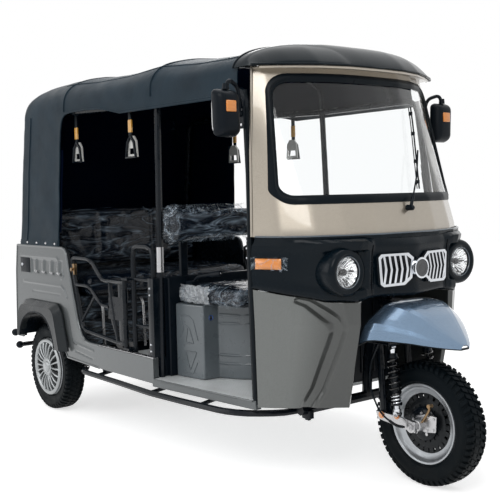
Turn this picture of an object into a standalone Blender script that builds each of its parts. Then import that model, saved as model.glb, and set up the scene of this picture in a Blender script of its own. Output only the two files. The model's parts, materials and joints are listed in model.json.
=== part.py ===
"""Electric passenger rickshaw: a three-wheeler with an open-sided cab and a soft canopy.

Metres, +X forward, +Y to the vehicle's left, +Z up. The origin lies on the ground under the
middle of the whole vehicle. Most stations are given as a distance behind the front axle.
"""

import math

import bmesh
import bpy
from mathutils import Matrix, Vector

# Driving dimensions
WHEELBASE = 2.37
FRONT_AXLE_X = 1.27
HALF_WIDTH = 0.62
WALL = 0.03
GAP = 0.0003

# Wheels
FRONT_TYRE_RADIUS = 0.26
FRONT_TYRE_WIDTH = 0.11
FRONT_RIM_RADIUS = 0.166
REAR_TYRE_RADIUS = 0.25
REAR_TYRE_WIDTH = 0.118
REAR_RIM_RADIUS = 0.1625
REAR_TRACK_HALF = 0.53
AXLE_ROD_RADIUS = 0.01
LUG_HEIGHT = 0.007
LUG_COUNT = 30

# Steering
RAKE = math.radians(20)
STEER_AXIS_BACK = 0.14
STEER_AXIS_Z = 0.50
HEAD_TUBE_Z = (0.645, 0.80)
HEAD_TUBE_RADIUS = 0.026
STEM_RADIUS = 0.017
STEM_CLEARANCE = 0.0007
FORK_LEG_Y = 0.086
FORK_LEG_RADIUS = 0.016
LINK_PIVOT = (0.163, 0.282)
MUDGUARD_SEAT_Z = 0.7602
SHOCK_LOW = (0.077, 0.293)
SHOCK_HIGH = (0.106, 0.586)
SHOCK_Y = 0.108
SHOCK_RADIUS = 0.027

# Levels
FLOOR_TOP = 0.362
FLOOR_THICK = 0.014
SILL_BOTTOM = 0.337
SILL_TOP = 0.455
STEP_BOTTOM = 0.323
BELT_TOP = 1.052
LEDGE_THICK = 0.014
QUARTER_TOP = 0.955
SCREEN_TOP = 1.755
TUBE_RADIUS = 0.024
POST_RADIUS = 0.016
RAIL_Y = 0.36
LEAF_HALF_LENGTH = 0.27

# Side gates
GATE_Y = 0.020 - HALF_WIDTH
GATE_HINGE_Z = (0.475, 0.815)
LUG_PLATE = 0.010

# Stations behind the front axle
STEP_FRONT_BACK = 0.462
GATE_HINGE_BACK = 1.440
STEP_FRONT_Y = 0.557
MID_POST_BACK = 1.17
SEAM_BACK = 1.70
FLOOR_FRONT_BACK = 0.43
FLOOR_END_BACK = 1.88
DECK_HALF = HALF_WIDTH - 0.100
DECK_RISE = 0.003
DECK_MARGIN = 0.015
PARTITION_BACK = (1.145, 1.180)
PARTITION_HALF = HALF_WIDTH - 0.090
POST_FOOT_Y = HALF_WIDTH - 0.055
BULKHEAD_HALF = 0.50
BUMPER_BACK = 2.779
KICK_Z = 0.40

COLLECTION = "electric_rickshaw"


def clear_scene():
    for obj in list(bpy.data.objects):
        bpy.data.objects.remove(obj, do_unlink=True)


def back(distance):
    """X of a station that lies this far behind the front axle."""
    return FRONT_AXLE_X - distance


def collection(name):
    found = bpy.data.collections.get(name)
    if found is None:
        found = bpy.data.collections.new(name)
        bpy.context.scene.collection.children.link(found)
    return found


def material(name, colour, roughness=0.5, metallic=0.0):
    """A Principled material, made once for each name."""
    found = bpy.data.materials.get(name)
    if found is None:
        found = bpy.data.materials.new(name)
        found.use_nodes = True
        shader = found.node_tree.nodes["Principled BSDF"]
        shader.inputs["Base Color"].default_value = (*colour, 1.0)
        shader.inputs["Roughness"].default_value = roughness
        shader.inputs["Metallic"].default_value = metallic
    return found


# Finish table: name, colour, roughness, metallic
FINISHES = {
    name: (colour, roughness, metallic)
    for name, colour, roughness, metallic in (
        ("champagne", (0.42, 0.35, 0.27), 0.30, 0.75),
        ("grey_paint", (0.17, 0.17, 0.16), 0.35, 0.6),
        ("fender_blue", (0.27, 0.33, 0.42), 0.30, 0.6),
        ("black_plastic", (0.012, 0.014, 0.018), 0.45, 0.0),
        ("black_gloss", (0.008, 0.012, 0.012), 0.12, 0.0),
        ("black_paint", (0.015, 0.016, 0.018), 0.30, 0.2),
        ("rubber", (0.015, 0.015, 0.016), 0.85, 0.0),
        ("rim_silver", (0.55, 0.56, 0.58), 0.30, 0.9),
        ("cap_silver", (0.62, 0.63, 0.65), 0.28, 0.7),
        ("chrome", (0.85, 0.86, 0.88), 0.08, 1.0),
        ("steel", (0.45, 0.46, 0.47), 0.35, 1.0),
        ("glass", (0.82, 0.88, 0.88), 0.03, 0.0),
        ("lens", (0.90, 0.92, 0.93), 0.05, 0.2),
        ("canopy_cloth", (0.035, 0.052, 0.066), 0.62, 0.0),
        ("seat_vinyl", (0.015, 0.022, 0.034), 0.35, 0.0),
        ("seat_box_grey", (0.11, 0.12, 0.13), 0.40, 0.1),
        ("checker_plate", (0.52, 0.54, 0.55), 0.35, 0.9),
        ("handle_white", (0.80, 0.80, 0.78), 0.30, 0.0),
    )
}


def finish(name):
    colour, roughness, metallic = FINISHES[name]
    return material(name, colour, roughness, metallic)


def new_object(name, mesh, look=None):
    obj = bpy.data.objects.new(name, mesh)
    collection(COLLECTION).objects.link(obj)
    if look is not None:
        mesh.materials.clear()
        mesh.materials.append(finish(look))
    return obj


def baked(obj):
    """A mesh object in place of one with modifiers or of a curve, its caps welded."""
    bpy.context.view_layer.update()
    graph = bpy.context.evaluated_depsgraph_get()
    mesh = bpy.data.meshes.new_from_object(obj.evaluated_get(graph))
    name = obj.name
    matrix = obj.matrix_world.copy()
    bpy.data.objects.remove(obj, do_unlink=True)
    bm = bmesh.new()
    bm.from_mesh(mesh)
    bmesh.ops.remove_doubles(bm, verts=bm.verts, dist=1e-5)
    bm.to_mesh(mesh)
    bm.free()
    made = new_object(name, mesh)
    made.name = name
    made.matrix_world = matrix
    return made


def finished(obj, name, look, smooth=True):
    """Names a solid, gives it its material and shades its round faces smooth."""
    obj.name = name
    obj.data.materials.clear()
    obj.data.materials.append(finish(look))
    if smooth:
        obj.data.shade_smooth()
        obj.data.set_sharp_from_angle(angle=math.radians(35))
    return obj


def box(x, y, z, bevel=0.0, segments=2):
    """A box between two values on each axis, its edges rounded by bevel."""
    bm = bmesh.new()
    bmesh.ops.create_cube(bm, size=1.0)
    size = Vector((x[1] - x[0], y[1] - y[0], z[1] - z[0]))
    centre = Vector((sum(x), sum(y), sum(z))) / 2
    bmesh.ops.scale(bm, vec=size, verts=bm.verts)
    bmesh.ops.translate(bm, vec=centre, verts=bm.verts)
    mesh = bpy.data.meshes.new("box")
    bm.to_mesh(mesh)
    bm.free()
    obj = new_object("box", mesh)
    if bevel:
        edge = obj.modifiers.new("rounding", "BEVEL")
        edge.width = bevel
        edge.segments = segments
        edge.limit_method = "ANGLE"
        obj = baked(obj)
    return obj


def prism(outline, low, high, plane="XZ", bevel=0.0):
    """A flat outline given thickness: XZ outlines run along Y, XY along Z, YZ along X."""
    curve = bpy.data.curves.new("outline", "CURVE")
    curve.dimensions = "2D"
    curve.fill_mode = "BOTH"
    curve.extrude = (high - low) / 2
    spline = curve.splines.new("POLY")
    spline.points.add(len(outline) - 1)
    for point, (a, b) in zip(spline.points, outline):
        point.co = (a, b, 0.0, 1.0)
    spline.use_cyclic_u = True
    obj = bpy.data.objects.new("outline", curve)
    collection(COLLECTION).objects.link(obj)
    middle = (high + low) / 2
    columns = {
        "XZ": ((1, 0, 0), (0, 0, 1), (0, -1, 0), (0, middle, 0)),
        "XY": ((1, 0, 0), (0, 1, 0), (0, 0, 1), (0, 0, middle)),
        "YZ": ((0, 1, 0), (0, 0, 1), (1, 0, 0), (middle, 0, 0)),
    }[plane]
    turn = Matrix([Vector(c).to_4d() for c in columns]).transposed()
    for row, value in enumerate((0, 0, 0, 1)):
        turn[3][row] = value
    obj.matrix_world = turn
    obj = baked(obj)
    applied(obj)
    if bevel:
        edge = obj.modifiers.new("rounding", "BEVEL")
        edge.width = bevel
        edge.segments = 2
        edge.limit_method = "ANGLE"
        obj = baked(obj)
    return obj


def applied(obj):
    """Moves an object's place into its mesh."""
    obj.data.transform(obj.matrix_world)
    if obj.matrix_world.determinant() < 0:
        obj.data.flip_normals()
    obj.matrix_world = Matrix.Identity(4)
    return obj


def rounded(points, radius, steps=2):
    """The corners of a path made round, for a bent tube."""
    points = [Vector(p) for p in points]
    path = [points[0]]
    for before, corner, after in zip(points, points[1:], points[2:]):
        inward = (before - corner).normalized()
        outward = (after - corner).normalized()
        reach = min(radius, (before - corner).length / 2, (after - corner).length / 2)
        for step in range(steps + 1):
            t = step / steps
            start = corner + inward * reach
            end = corner + outward * reach
            path.append(start * (1 - t) ** 2 + corner * 2 * t * (1 - t) + end * t**2)
    path.append(points[-1])
    return path


def tube(points, radius, sides=2, closed=False):
    """A round bar along a path, with closed ends, or in a loop."""
    curve = bpy.data.curves.new("tube", "CURVE")
    curve.dimensions = "3D"
    curve.bevel_depth = radius
    curve.bevel_resolution = sides
    curve.use_fill_caps = True
    spline = curve.splines.new("POLY")
    spline.points.add(len(points) - 1)
    for point, place in zip(spline.points, points):
        point.co = (*place, 1.0)
    spline.use_cyclic_u = closed
    obj = bpy.data.objects.new("tube", curve)
    collection(COLLECTION).objects.link(obj)
    return baked(obj)


def cylinder(centre, radius, length, axis="Y", sides=24, end_radius=None):
    """A turned solid along one axis, its far end of another radius where one is given."""
    bm = bmesh.new()
    bmesh.ops.create_cone(
        bm,
        cap_ends=True,
        segments=sides,
        radius1=radius,
        radius2=radius if end_radius is None else end_radius,
        depth=length,
    )
    turn = {
        "X": Matrix.Rotation(math.pi / 2, 3, "Y"),
        "Y": Matrix.Rotation(-math.pi / 2, 3, "X"),
        "Z": Matrix.Identity(3),
    }[axis]
    bmesh.ops.rotate(bm, cent=(0, 0, 0), matrix=turn, verts=bm.verts)
    bmesh.ops.translate(bm, vec=centre, verts=bm.verts)
    mesh = bpy.data.meshes.new("cylinder")
    bm.to_mesh(mesh)
    bm.free()
    return new_object("cylinder", mesh)


def ball(centre, radius):
    bm = bmesh.new()
    bmesh.ops.create_uvsphere(bm, u_segments=10, v_segments=6, radius=radius)
    bmesh.ops.translate(bm, vec=centre, verts=bm.verts)
    mesh = bpy.data.meshes.new("ball")
    bm.to_mesh(mesh)
    bm.free()
    return new_object("ball", mesh)


def turned(profile, centre, steps=32):
    """A profile of (radius, y) pairs turned about a line along Y through centre."""
    bm = bmesh.new()
    ring = [bm.verts.new((radius, y, 0.0)) for radius, y in profile]
    for a, b in zip(ring, ring[1:]):
        bm.edges.new((a, b))
    mesh = bpy.data.meshes.new("profile")
    bm.to_mesh(mesh)
    bm.free()
    obj = new_object("profile", mesh)
    screw = obj.modifiers.new("turn", "SCREW")
    screw.axis = "Y"
    screw.steps = steps
    screw.render_steps = steps
    screw.use_merge_vertices = True
    screw.merge_threshold = 0.00005
    obj = baked(obj)
    outward(obj)
    obj.data.transform(Matrix.Translation(centre))
    return obj


def outward(obj):
    """Turns a closed mesh's faces outwards."""
    bm = bmesh.new()
    bm.from_mesh(obj.data)
    bmesh.ops.recalc_face_normals(bm, faces=bm.faces)
    bm.to_mesh(obj.data)
    bm.free()
    return obj


def sheet(across, along, place, thickness, offset=-1.0):
    """A curved panel: place(u, v), with u and v from 0 to 1, gives its outer face."""
    bm = bmesh.new()
    bmesh.ops.create_grid(bm, x_segments=across, y_segments=along, size=0.5)
    for vert in bm.verts:
        vert.co = Vector(place(vert.co.x + 0.5, vert.co.y + 0.5))
    bmesh.ops.remove_doubles(bm, verts=bm.verts, dist=1e-5)
    mesh = bpy.data.meshes.new("sheet")
    bm.to_mesh(mesh)
    bm.free()
    obj = new_object("sheet", mesh)
    wall = obj.modifiers.new("wall", "SOLIDIFY")
    wall.thickness = thickness
    wall.offset = offset
    wall.use_even_offset = True
    return outward(baked(obj))


def loft_shell(outer, inner):
    """A closed wall between an outer and an inner grid of points with as many rows and columns."""
    rows = len(outer[0])
    columns = len(outer)
    bm = bmesh.new()
    faces = [[[bm.verts.new(point) for point in line] for line in grid] for grid in (outer, inner)]
    front, behind = faces
    for i in range(columns - 1):
        for j in range(rows - 1):
            for grid in faces:
                bm.faces.new((grid[i][j], grid[i + 1][j], grid[i + 1][j + 1], grid[i][j + 1]))
        for j in (0, rows - 1):
            bm.faces.new((front[i][j], front[i + 1][j], behind[i + 1][j], behind[i][j]))
    for i in (0, columns - 1):
        for j in range(rows - 1):
            bm.faces.new((front[i][j], front[i][j + 1], behind[i][j + 1], behind[i][j]))
    mesh = bpy.data.meshes.new("shell")
    bm.to_mesh(mesh)
    bm.free()
    return outward(new_object("shell", mesh))


def combine(first, others, operation="UNION"):
    """Boolean of one mesh with others, which are used up."""
    helpers = collection("cutters")
    for other in others:
        for holder in list(other.users_collection):
            holder.objects.unlink(other)
        helpers.objects.link(other)
        other.hide_render = True
        other.display_type = "WIRE"
        step = first.modifiers.new(operation.lower(), "BOOLEAN")
        step.operation = operation
        step.solver = "EXACT"
        step.object = other
    made = baked(first)
    for other in others:
        bpy.data.objects.remove(other, do_unlink=True)
    return made


def mirrored(obj, name):
    """The same solid on the other side of the vehicle."""
    mesh = obj.data.copy()
    mesh.transform(Matrix.Scale(-1, 4, (0, 1, 0)))
    mesh.flip_normals()
    copy = new_object(name, mesh)
    copy.parent = obj.parent
    return copy


def pair(make, name, look):
    """A piece for the right side, where Y is negative, and its mirror for the left."""
    right = finished(make(), name + "_right", look)
    return right, mirrored(right, name + "_left")


def hub(name, x, y, z):
    """An empty on a joint's axis, for pieces that turn about it."""
    pivot = bpy.data.objects.new(name, None)
    pivot.location = (x, y, z)
    collection(COLLECTION).objects.link(pivot)
    bpy.context.view_layer.update()
    return pivot


def carried(pivot, *pieces):
    for piece in pieces:
        piece.parent = pivot
        piece.matrix_parent_inverse = pivot.matrix_world.inverted()


def interpolate(table, value):
    """Reads a table of rows whose first column rises, between its rows."""
    for low, high in zip(table, table[1:]):
        if value <= high[0]:
            t = max(0.0, (value - low[0]) / (high[0] - low[0]))
            return [a + (b - a) * t for a, b in zip(low[1:], high[1:])]
    return list(table[-1][1:])


# Cab front in plan: share of the way from centre to door pillar, then distance behind the
# front axle and half width at the belt line, then the same at the top of the windscreen.
CAB_PLAN = (
    (0.00, 0.095, 0.000, 0.300, 0.000),
    (0.30, 0.105, 0.180, 0.308, 0.170),
    (0.55, 0.140, 0.320, 0.340, 0.295),
    (0.75, 0.205, 0.435, 0.392, 0.400),
    (0.90, 0.300, 0.540, 0.445, 0.485),
    (1.00, 0.420, 0.583, 0.490, 0.532),
)
BELT_Z = 1.06
CAB_TOP_Z = 1.72


def cab_point(share, z, proud=0.0):
    """A point of the cab's front: share runs from -1 at the right pillar to 1 at the left."""
    low_back, low_y, top_back, top_y = interpolate(CAB_PLAN, abs(share))
    t = (z - BELT_Z) / (CAB_TOP_Z - BELT_Z)
    distance = low_back + (top_back - low_back) * t - proud
    side = low_y + (top_y - low_y) * t
    return back(distance), math.copysign(side, share), z


def cab_back(y, z):
    """Distance behind the front axle of the cab's front at a distance from the centre."""
    t = (z - BELT_Z) / (CAB_TOP_Z - BELT_Z)
    table = [
        (low_y + (top_y - low_y) * t, low_back + (top_back - low_back) * t)
        for _, low_back, low_y, top_back, top_y in CAB_PLAN
    ]
    return interpolate(table, abs(y))[0]


def steering_axis_back(z):
    """How far behind the front axle the steering axis lies at a height."""
    return STEER_AXIS_BACK + (z - STEER_AXIS_Z) * math.tan(RAKE)


def side_y(distance):
    """Half width of the body's side, which narrows from the middle post to the cab."""
    share = (distance - STEP_FRONT_BACK) / (MID_POST_BACK - STEP_FRONT_BACK)
    return STEP_FRONT_Y + (HALF_WIDTH - STEP_FRONT_Y) * min(share, 1.0)


def chassis_frame():
    rail_z = FLOOR_TOP - FLOOR_THICK - GAP - TUBE_RADIUS
    nose_z = LOWER_BOTTOM - GAP - TUBE_RADIUS * 0.96
    pieces = []
    for side in (-1, 1):
        path = [
            (back(0.36), side * RAIL_Y, nose_z),
            (back(0.50), side * RAIL_Y, rail_z),
            (back(1.93), side * RAIL_Y, rail_z),
            (back(2.04), side * RAIL_Y, KICK_Z),
            (back(BUMPER_BACK), side * RAIL_Y, KICK_Z),
        ]
        pieces.append(tube(rounded(path, 0.05), TUBE_RADIUS))
    # Crossmember table: distance behind the front axle, half length, height
    sill_half = HALF_WIDTH - 0.045
    for distance, half, z in (
        (0.36, 0.40, nose_z),
        (0.80, 0.52, rail_z),
        (1.17, sill_half, rail_z),
        (1.72, sill_half, rail_z),
        (2.10, 0.38, KICK_Z),
        (2.64, 0.50, KICK_Z),
    ):
        ends = [(back(distance), -half, z), (back(distance), half, z)]
        pieces.append(tube(ends, TUBE_RADIUS * 0.96))
    low, high = HEAD_TUBE_Z
    neck_z = (low + high) / 2
    spine = [
        (back(0.36), 0, nose_z),
        (back(0.345), 0, 0.56),
        (back(steering_axis_back(neck_z) + 0.02), 0, neck_z),
    ]
    pieces.append(tube(rounded(spine, 0.08), 0.022))
    head = [
        (back(steering_axis_back(low)), 0, low),
        (back(steering_axis_back(high)), 0, high),
    ]
    pieces.append(tube(head, HEAD_TUBE_RADIUS, sides=4))
    pieces.append(box((back(0.235), back(0.060)), (-0.05, 0.05), (0.744, MUDGUARD_SEAT_Z)))
    pieces += nerf_bar(-1) + nerf_bar(1) + rear_bumper()
    frame = combine(pieces[0], pieces[1:])
    bore = [
        (back(steering_axis_back(low - 0.05)), 0, low - 0.05),
        (back(steering_axis_back(high + 0.05)), 0, high + 0.05),
    ]
    frame = combine(frame, [tube(bore, STEM_RADIUS + STEM_CLEARANCE, sides=6)], "DIFFERENCE")
    finished(frame, "chassis_frame", "black_paint")


def floor_plate():
    inset = WALL + GAP
    corners = [
        (FLOOR_FRONT_BACK, side_y(FLOOR_FRONT_BACK) - inset),
        (MID_POST_BACK, HALF_WIDTH - inset),
        (FLOOR_END_BACK, HALF_WIDTH - inset),
    ]
    outline = [(back(d), -y) for d, y in corners]
    outline += [(back(d), y) for d, y in reversed(corners)]
    plate = prism(outline, FLOOR_TOP - FLOOR_THICK, FLOOR_TOP, "XY")
    deck = box(
        (back(FLOOR_END_BACK - DECK_MARGIN), back(PARTITION_BACK[1] + DECK_MARGIN)),
        (-DECK_HALF, DECK_HALF),
        (FLOOR_TOP - FLOOR_THICK / 2, FLOOR_TOP + DECK_RISE),
    )
    finished(combine(plate, [deck]), "floor_plate", "checker_plate")


def rear_axle():
    x = back(WHEELBASE)
    z = REAR_TYRE_RADIUS
    pieces = [
        cylinder((x, 0, z), 0.034, 0.80),
        cylinder((x, 0.04, z), 0.095, 0.14),
        cylinder((x - 0.13, 0.04, z + 0.01), 0.085, 0.19),
        cylinder((x, 0, z), 0.0145, 2 * REAR_TRACK_HALF - 0.03, sides=16),
    ]
    for side in (-1, 1):
        reach = LEAF_HALF_LENGTH
        leaf = [
            (x + reach, z + 0.085),
            (x + reach / 2, z + 0.052),
            (x, z + 0.042),
            (x - reach / 2, z + 0.052),
            (x - reach, z + 0.085),
            (x - reach, z + 0.070),
            (x - reach / 2, z + 0.030),
            (x, z + 0.012),
            (x + reach / 2, z + 0.030),
            (x + reach, z + 0.070),
        ]
        middle = side * RAIL_Y
        pieces.append(prism(leaf, middle - 0.022, middle + 0.022))
        for end in (x + reach - 0.013, x - reach + 0.013):
            shackle = [(end, middle, z + 0.077), (end, middle, KICK_Z - TUBE_RADIUS - GAP)]
            pieces.append(tube(shackle, 0.012))
        pieces.append(cylinder((x, side * 0.415, z), 0.075, 0.05))
    axle = combine(pieces[0], pieces[1:])
    finished(axle, "rear_axle", "black_paint")


def tyre(name, centre, radius, width, rim_radius, lugs, lug_height, lug_size):
    """A tyre with a round shoulder, its lugs joined to the tread."""
    half = width / 2
    body = radius - lug_height
    profile = [
        (rim_radius + 0.004, -half * 0.72),
        (rim_radius + 0.020, -half * 0.90),
        ((rim_radius + body) / 2 + 0.008, -half),
        (body - 0.018, -half * 0.86),
        (body - 0.004, -half * 0.55),
        (body, 0.0),
        (body - 0.004, half * 0.55),
        (body - 0.018, half * 0.86),
        ((rim_radius + body) / 2 + 0.008, half),
        (rim_radius + 0.020, half * 0.90),
        (rim_radius + 0.004, half * 0.72),
        (rim_radius + 0.004, -half * 0.72),
    ]
    solid = turned(profile, centre, steps=32)
    length, breadth = lug_size
    blocks = []
    for index in range(lugs):
        angle = 2 * math.pi * index / lugs
        for side in (-1, 1):
            lug = box(
                (-length / 2, length / 2),
                (side * half * 0.50 - breadth / 2, side * half * 0.50 + breadth / 2),
                (body - 0.03, math.sqrt(radius**2 - length**2 / 4)),
            )
            shift = angle + side * math.pi / lugs / 2
            turn = Matrix.Rotation(shift, 4, "Y")
            lug.data.transform(Matrix.Translation(centre) @ turn)
            blocks.append(lug)
    if blocks:
        solid = combine(solid, [joined(blocks)])
    return finished(solid, name, "rubber")


def joined(parts):
    """Loose solids, clear of each other, in one mesh, as a cutter or to be fused to a piece."""
    bm = bmesh.new()
    for part in parts:
        bm.from_mesh(part.data)
        bpy.data.objects.remove(part, do_unlink=True)
    mesh = bpy.data.meshes.new("joined")
    bm.to_mesh(mesh)
    bm.free()
    return new_object("joined", mesh)


def rear_wheels():
    made = {}
    for side, label in ((-1, "right"), (1, "left")):
        centre = Vector((back(WHEELBASE), side * REAR_TRACK_HALF, REAR_TYRE_RADIUS))
        pivot = hub("rear_axis_" + label, *centre)
        rubber = tyre(
            "rear_tyre_" + label, centre, REAR_TYRE_RADIUS, REAR_TYRE_WIDTH,
            REAR_RIM_RADIUS, 0, 0.0, (0.0, 0.0),
        )
        face = REAR_TYRE_WIDTH / 2 + 0.019
        rim = REAR_RIM_RADIUS
        profile = [
            (0.0152, -0.040),
            (0.060, -0.040),
            (0.070, 0.030),
            (rim - 0.028, 0.030),
            (rim - 0.020, -0.045),
            (rim + 0.003, -0.047),
            (rim + 0.003, face - 0.026),
            (rim, face - 0.012),
            (rim - 0.014, face - 0.006),
            (0.030, face),
            (0.0, face),
            (0.0, 0.010),
            (0.0152, 0.010),
            (0.0152, -0.040),
        ]
        disc = turned([(r, side * y) for r, y in profile], centre)
        wheel = finished(disc, "rear_wheel_" + label, "cap_silver")
        carried(pivot, rubber, wheel)
        made[label] = pivot
    return made


def front_wheel(steering):
    centre = Vector((FRONT_AXLE_X, 0, FRONT_TYRE_RADIUS))
    pivot = hub("front_axis", *centre)
    rubber = tyre(
        "front_tyre", centre, FRONT_TYRE_RADIUS, FRONT_TYRE_WIDTH,
        FRONT_RIM_RADIUS, LUG_COUNT, LUG_HEIGHT, (0.030, 0.045),
    )
    rim = FRONT_RIM_RADIUS
    profile = [
        (AXLE_ROD_RADIUS + 0.001, -0.045),
        (0.070, -0.045),
        (0.078, -0.020),
        (rim - 0.028, -0.022),
        (rim - 0.014, -0.042),
        (rim, -0.045),
        (rim + 0.003, -0.038),
        (rim + 0.003, 0.038),
        (rim, 0.045),
        (rim - 0.014, 0.042),
        (rim - 0.028, 0.010),
        (0.078, 0.010),
        (0.070, 0.045),
        (AXLE_ROD_RADIUS + 0.001, 0.045),
        (AXLE_ROD_RADIUS + 0.001, -0.045),
    ]
    wheel = finished(turned(profile, centre), "front_rim", "rim_silver")
    carried(pivot, rubber, wheel)
    carried(steering, pivot)


def front_fork(steering):
    crown_z = 0.600
    crown_back = steering_axis_back(crown_z)
    pieces = [box(
        (back(crown_back + 0.045), back(0.085)),
        (-0.145, 0.145),
        (crown_z - 0.012, crown_z + 0.012),
        bevel=0.006,
    )]
    stem = [
        (back(crown_back), 0, crown_z),
        (back(steering_axis_back(0.93)), 0, 0.93),
    ]
    pieces.append(tube(stem, STEM_RADIUS, sides=6))
    for side in (-1, 1):
        leg = [
            (back(crown_back + 0.02), side * FORK_LEG_Y, crown_z),
            (back(LINK_PIVOT[0] + 0.012), side * FORK_LEG_Y, LINK_PIVOT[1]),
        ]
        pieces.append(tube(leg, FORK_LEG_RADIUS))
    fork = combine(pieces[0], pieces[1:])
    finished(fork, "front_fork", "black_paint")
    link_outline = [
        (back(LINK_PIVOT[0] + 0.035), LINK_PIVOT[1] + 0.012),
        (back(LINK_PIVOT[0] + 0.020), LINK_PIVOT[1] - 0.020),
        (back(-0.022), FRONT_TYRE_RADIUS - 0.022),
        (back(-0.022), FRONT_TYRE_RADIUS + 0.022),
        (back(SHOCK_LOW[0] - 0.02), FRONT_TYRE_RADIUS + 0.030),
    ]
    inner = FORK_LEG_Y + FORK_LEG_RADIUS + GAP
    parts = [
        cylinder((FRONT_AXLE_X, 0, FRONT_TYRE_RADIUS), AXLE_ROD_RADIUS, 2 * inner + 0.05, sides=16)
    ]
    for side in (-1, 1):
        low, high = sorted((side * inner, side * (inner + 0.012)))
        parts.append(prism(link_outline, low, high))
    links = combine(parts[0], parts[1:])
    finished(links, "front_axle_links", "steel")
    shock = front_shock("front_shock_right", -1)
    other = mirrored(shock, "front_shock_left")
    carried(steering, fork, links, shock, other)


def front_shock(name, side):
    low = Vector((back(SHOCK_LOW[0]), side * SHOCK_Y, SHOCK_LOW[1]))
    high = Vector((back(SHOCK_HIGH[0]), side * SHOCK_Y, SHOCK_HIGH[1]))
    run = high - low
    body = tube([low + run * 0.12, high - run * 0.08], 0.015, sides=2)
    rings = []
    for index in range(7):
        centre = low + run * (0.20 + 0.70 * index / 6)
        ring = [centre - run.normalized() * 0.006, centre + run.normalized() * 0.006]
        rings.append(tube(ring, SHOCK_RADIUS, sides=2))
    eye_low = tube([low, low + run * 0.14], 0.011)
    eye_high = tube([high - run * 0.12, high], 0.011)
    solid = combine(body, [joined(rings), eye_low, eye_high])
    return finished(solid, name, "black_plastic")


def handlebar(steering):
    top = 0.955
    middle = (back(steering_axis_back(top)), 0, top)
    path = [
        (back(0.46), -0.33, 0.985),
        (back(0.44), -0.20, 0.985),
        (back(0.335), -0.10, top + 0.015),
        (middle[0], 0, top),
        (back(0.335), 0.10, top + 0.015),
        (back(0.44), 0.20, 0.985),
        (back(0.46), 0.33, 0.985),
    ]
    pieces = [tube(rounded(path, 0.03), 0.012)]
    for side in (-1, 1):
        grip = [(back(0.461), side * 0.335, 0.985), (back(0.444), side * 0.225, 0.985)]
        pieces.append(tube(grip, 0.018))
        lever = [(back(0.43), side * 0.20, 0.985), (back(0.405), side * 0.32, 0.975)]
        pieces.append(tube(lever, 0.006))
    clamp_low = (back(steering_axis_back(0.9306)), 0, 0.9306)
    pieces.append(tube([clamp_low, middle], 0.022, sides=4))
    bar = combine(pieces[0], pieces[1:])
    finished(bar, "handlebar", "black_paint")
    carried(steering, bar)


DASH_FRONT = 0.160
DASH_HALF = 0.240


def dashboard():
    outline = [
        (back(DASH_FRONT), 0.88),
        (back(0.235), 0.88),
        (back(0.250), 0.96),
        (back(0.215), 1.07),
        (back(DASH_FRONT + 0.012), 1.07),
        (back(DASH_FRONT), BELT_TOP),
    ]
    solid = prism(outline, -DASH_HALF, DASH_HALF)
    finished(solid, "dashboard", "black_plastic")


# Lower cab panel from the door pillar round the front corner to its inner edge: half width
# and distance behind the front axle at the bottom, at the crease's height and at the top
LOWER_PLAN = (
    ((0.557, 0.447), (0.572, 0.4365), (0.583, 0.4297)),
    ((0.524, 0.400), (0.537, 0.360), (0.550, 0.360)),
    ((0.484, 0.355), (0.490, 0.290), (0.507, 0.296)),
    ((0.440, 0.318), (0.422, 0.218), (0.455, 0.244)),
    ((0.402, 0.286), (0.360, 0.158), (0.400, 0.190)),
    ((0.386, 0.268), (0.330, 0.132), (0.350, 0.140)),
    ((0.285, 0.183), (0.285, 0.108), (0.288, 0.104)),
    ((0.272, 0.192), (0.270, 0.120), (0.270, 0.116)),
    ((0.270, 0.4297), (0.270, 0.4297), (0.270, 0.4297)),
)
LOWER_BOTTOM = 0.337
LOWER_CREASE_Z = 0.690
LOWER_WALL = 0.012
BAND_CLEARANCE = 0.006


def lower_cab():
    columns = len(LOWER_PLAN) - 1
    rows = len(LOWER_PLAN[0]) - 1

    def place(u, v):
        row = round(v * rows)
        y, distance = LOWER_PLAN[round(u * columns)][row]
        heights = (LOWER_BOTTOM, LOWER_CREASE_Z, band_low(y) - BAND_CLEARANCE)
        return back(distance), -y, heights[row]

    return sheet(columns, rows, place, LOWER_WALL, offset=-1.0)


def bulkhead():
    start = FLOOR_FRONT_BACK
    solid = box((back(start + 0.012), back(start)), (-BULKHEAD_HALF, BULKHEAD_HALF), (FLOOR_TOP + GAP, 0.90))
    finished(solid, "front_bulkhead", "black_plastic")


HEADLIGHT_Y = 0.350
HEADLIGHT_Z = 0.906
HEADLIGHT_RADIUS = 0.069
LENS_BACK = 0.112
LENS_RISE = 0.012
BARREL_BACK = (0.104, 0.240)
BARREL_RADIUS = (0.083, 0.101)
BAND_PROUD = 0.010
BAND_WALL = 0.028
BAND_THIN = 0.012
RECESS_PROUD = 0.016

# Belt band from the centre to the door pillar: half width, distance behind the front axle
# of its brow and of its lower edge, heights of its lower edge and brow, 1 where it is recessed
BAND_PLAN = (
    (0.000, 0.052, 0.060, 0.790, 1.006, 0),
    (0.180, 0.080, 0.088, 0.796, 1.006, 0),
    (0.215, 0.086, 0.096, 0.794, 1.008, 0),
    (0.246, 0.080, 0.094, 0.791, 1.022, 0),
    (0.262, 0.076, 0.092, 0.789, 1.030, 1),
    (0.300, 0.078, 0.098, 0.785, 1.030, 1),
    (0.350, 0.103, 0.138, 0.787, 1.029, 1),
    (0.400, 0.142, 0.180, 0.790, 1.027, 1),
    (0.455, 0.192, 0.222, 0.806, 1.024, 1),
    (0.480, 0.222, 0.245, 0.812, 1.022, 0),
    (0.535, 0.290, 0.300, 0.825, 1.020, 0),
    (0.588, 0.424, 0.424, 0.843, 1.018, 0),
)
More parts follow.
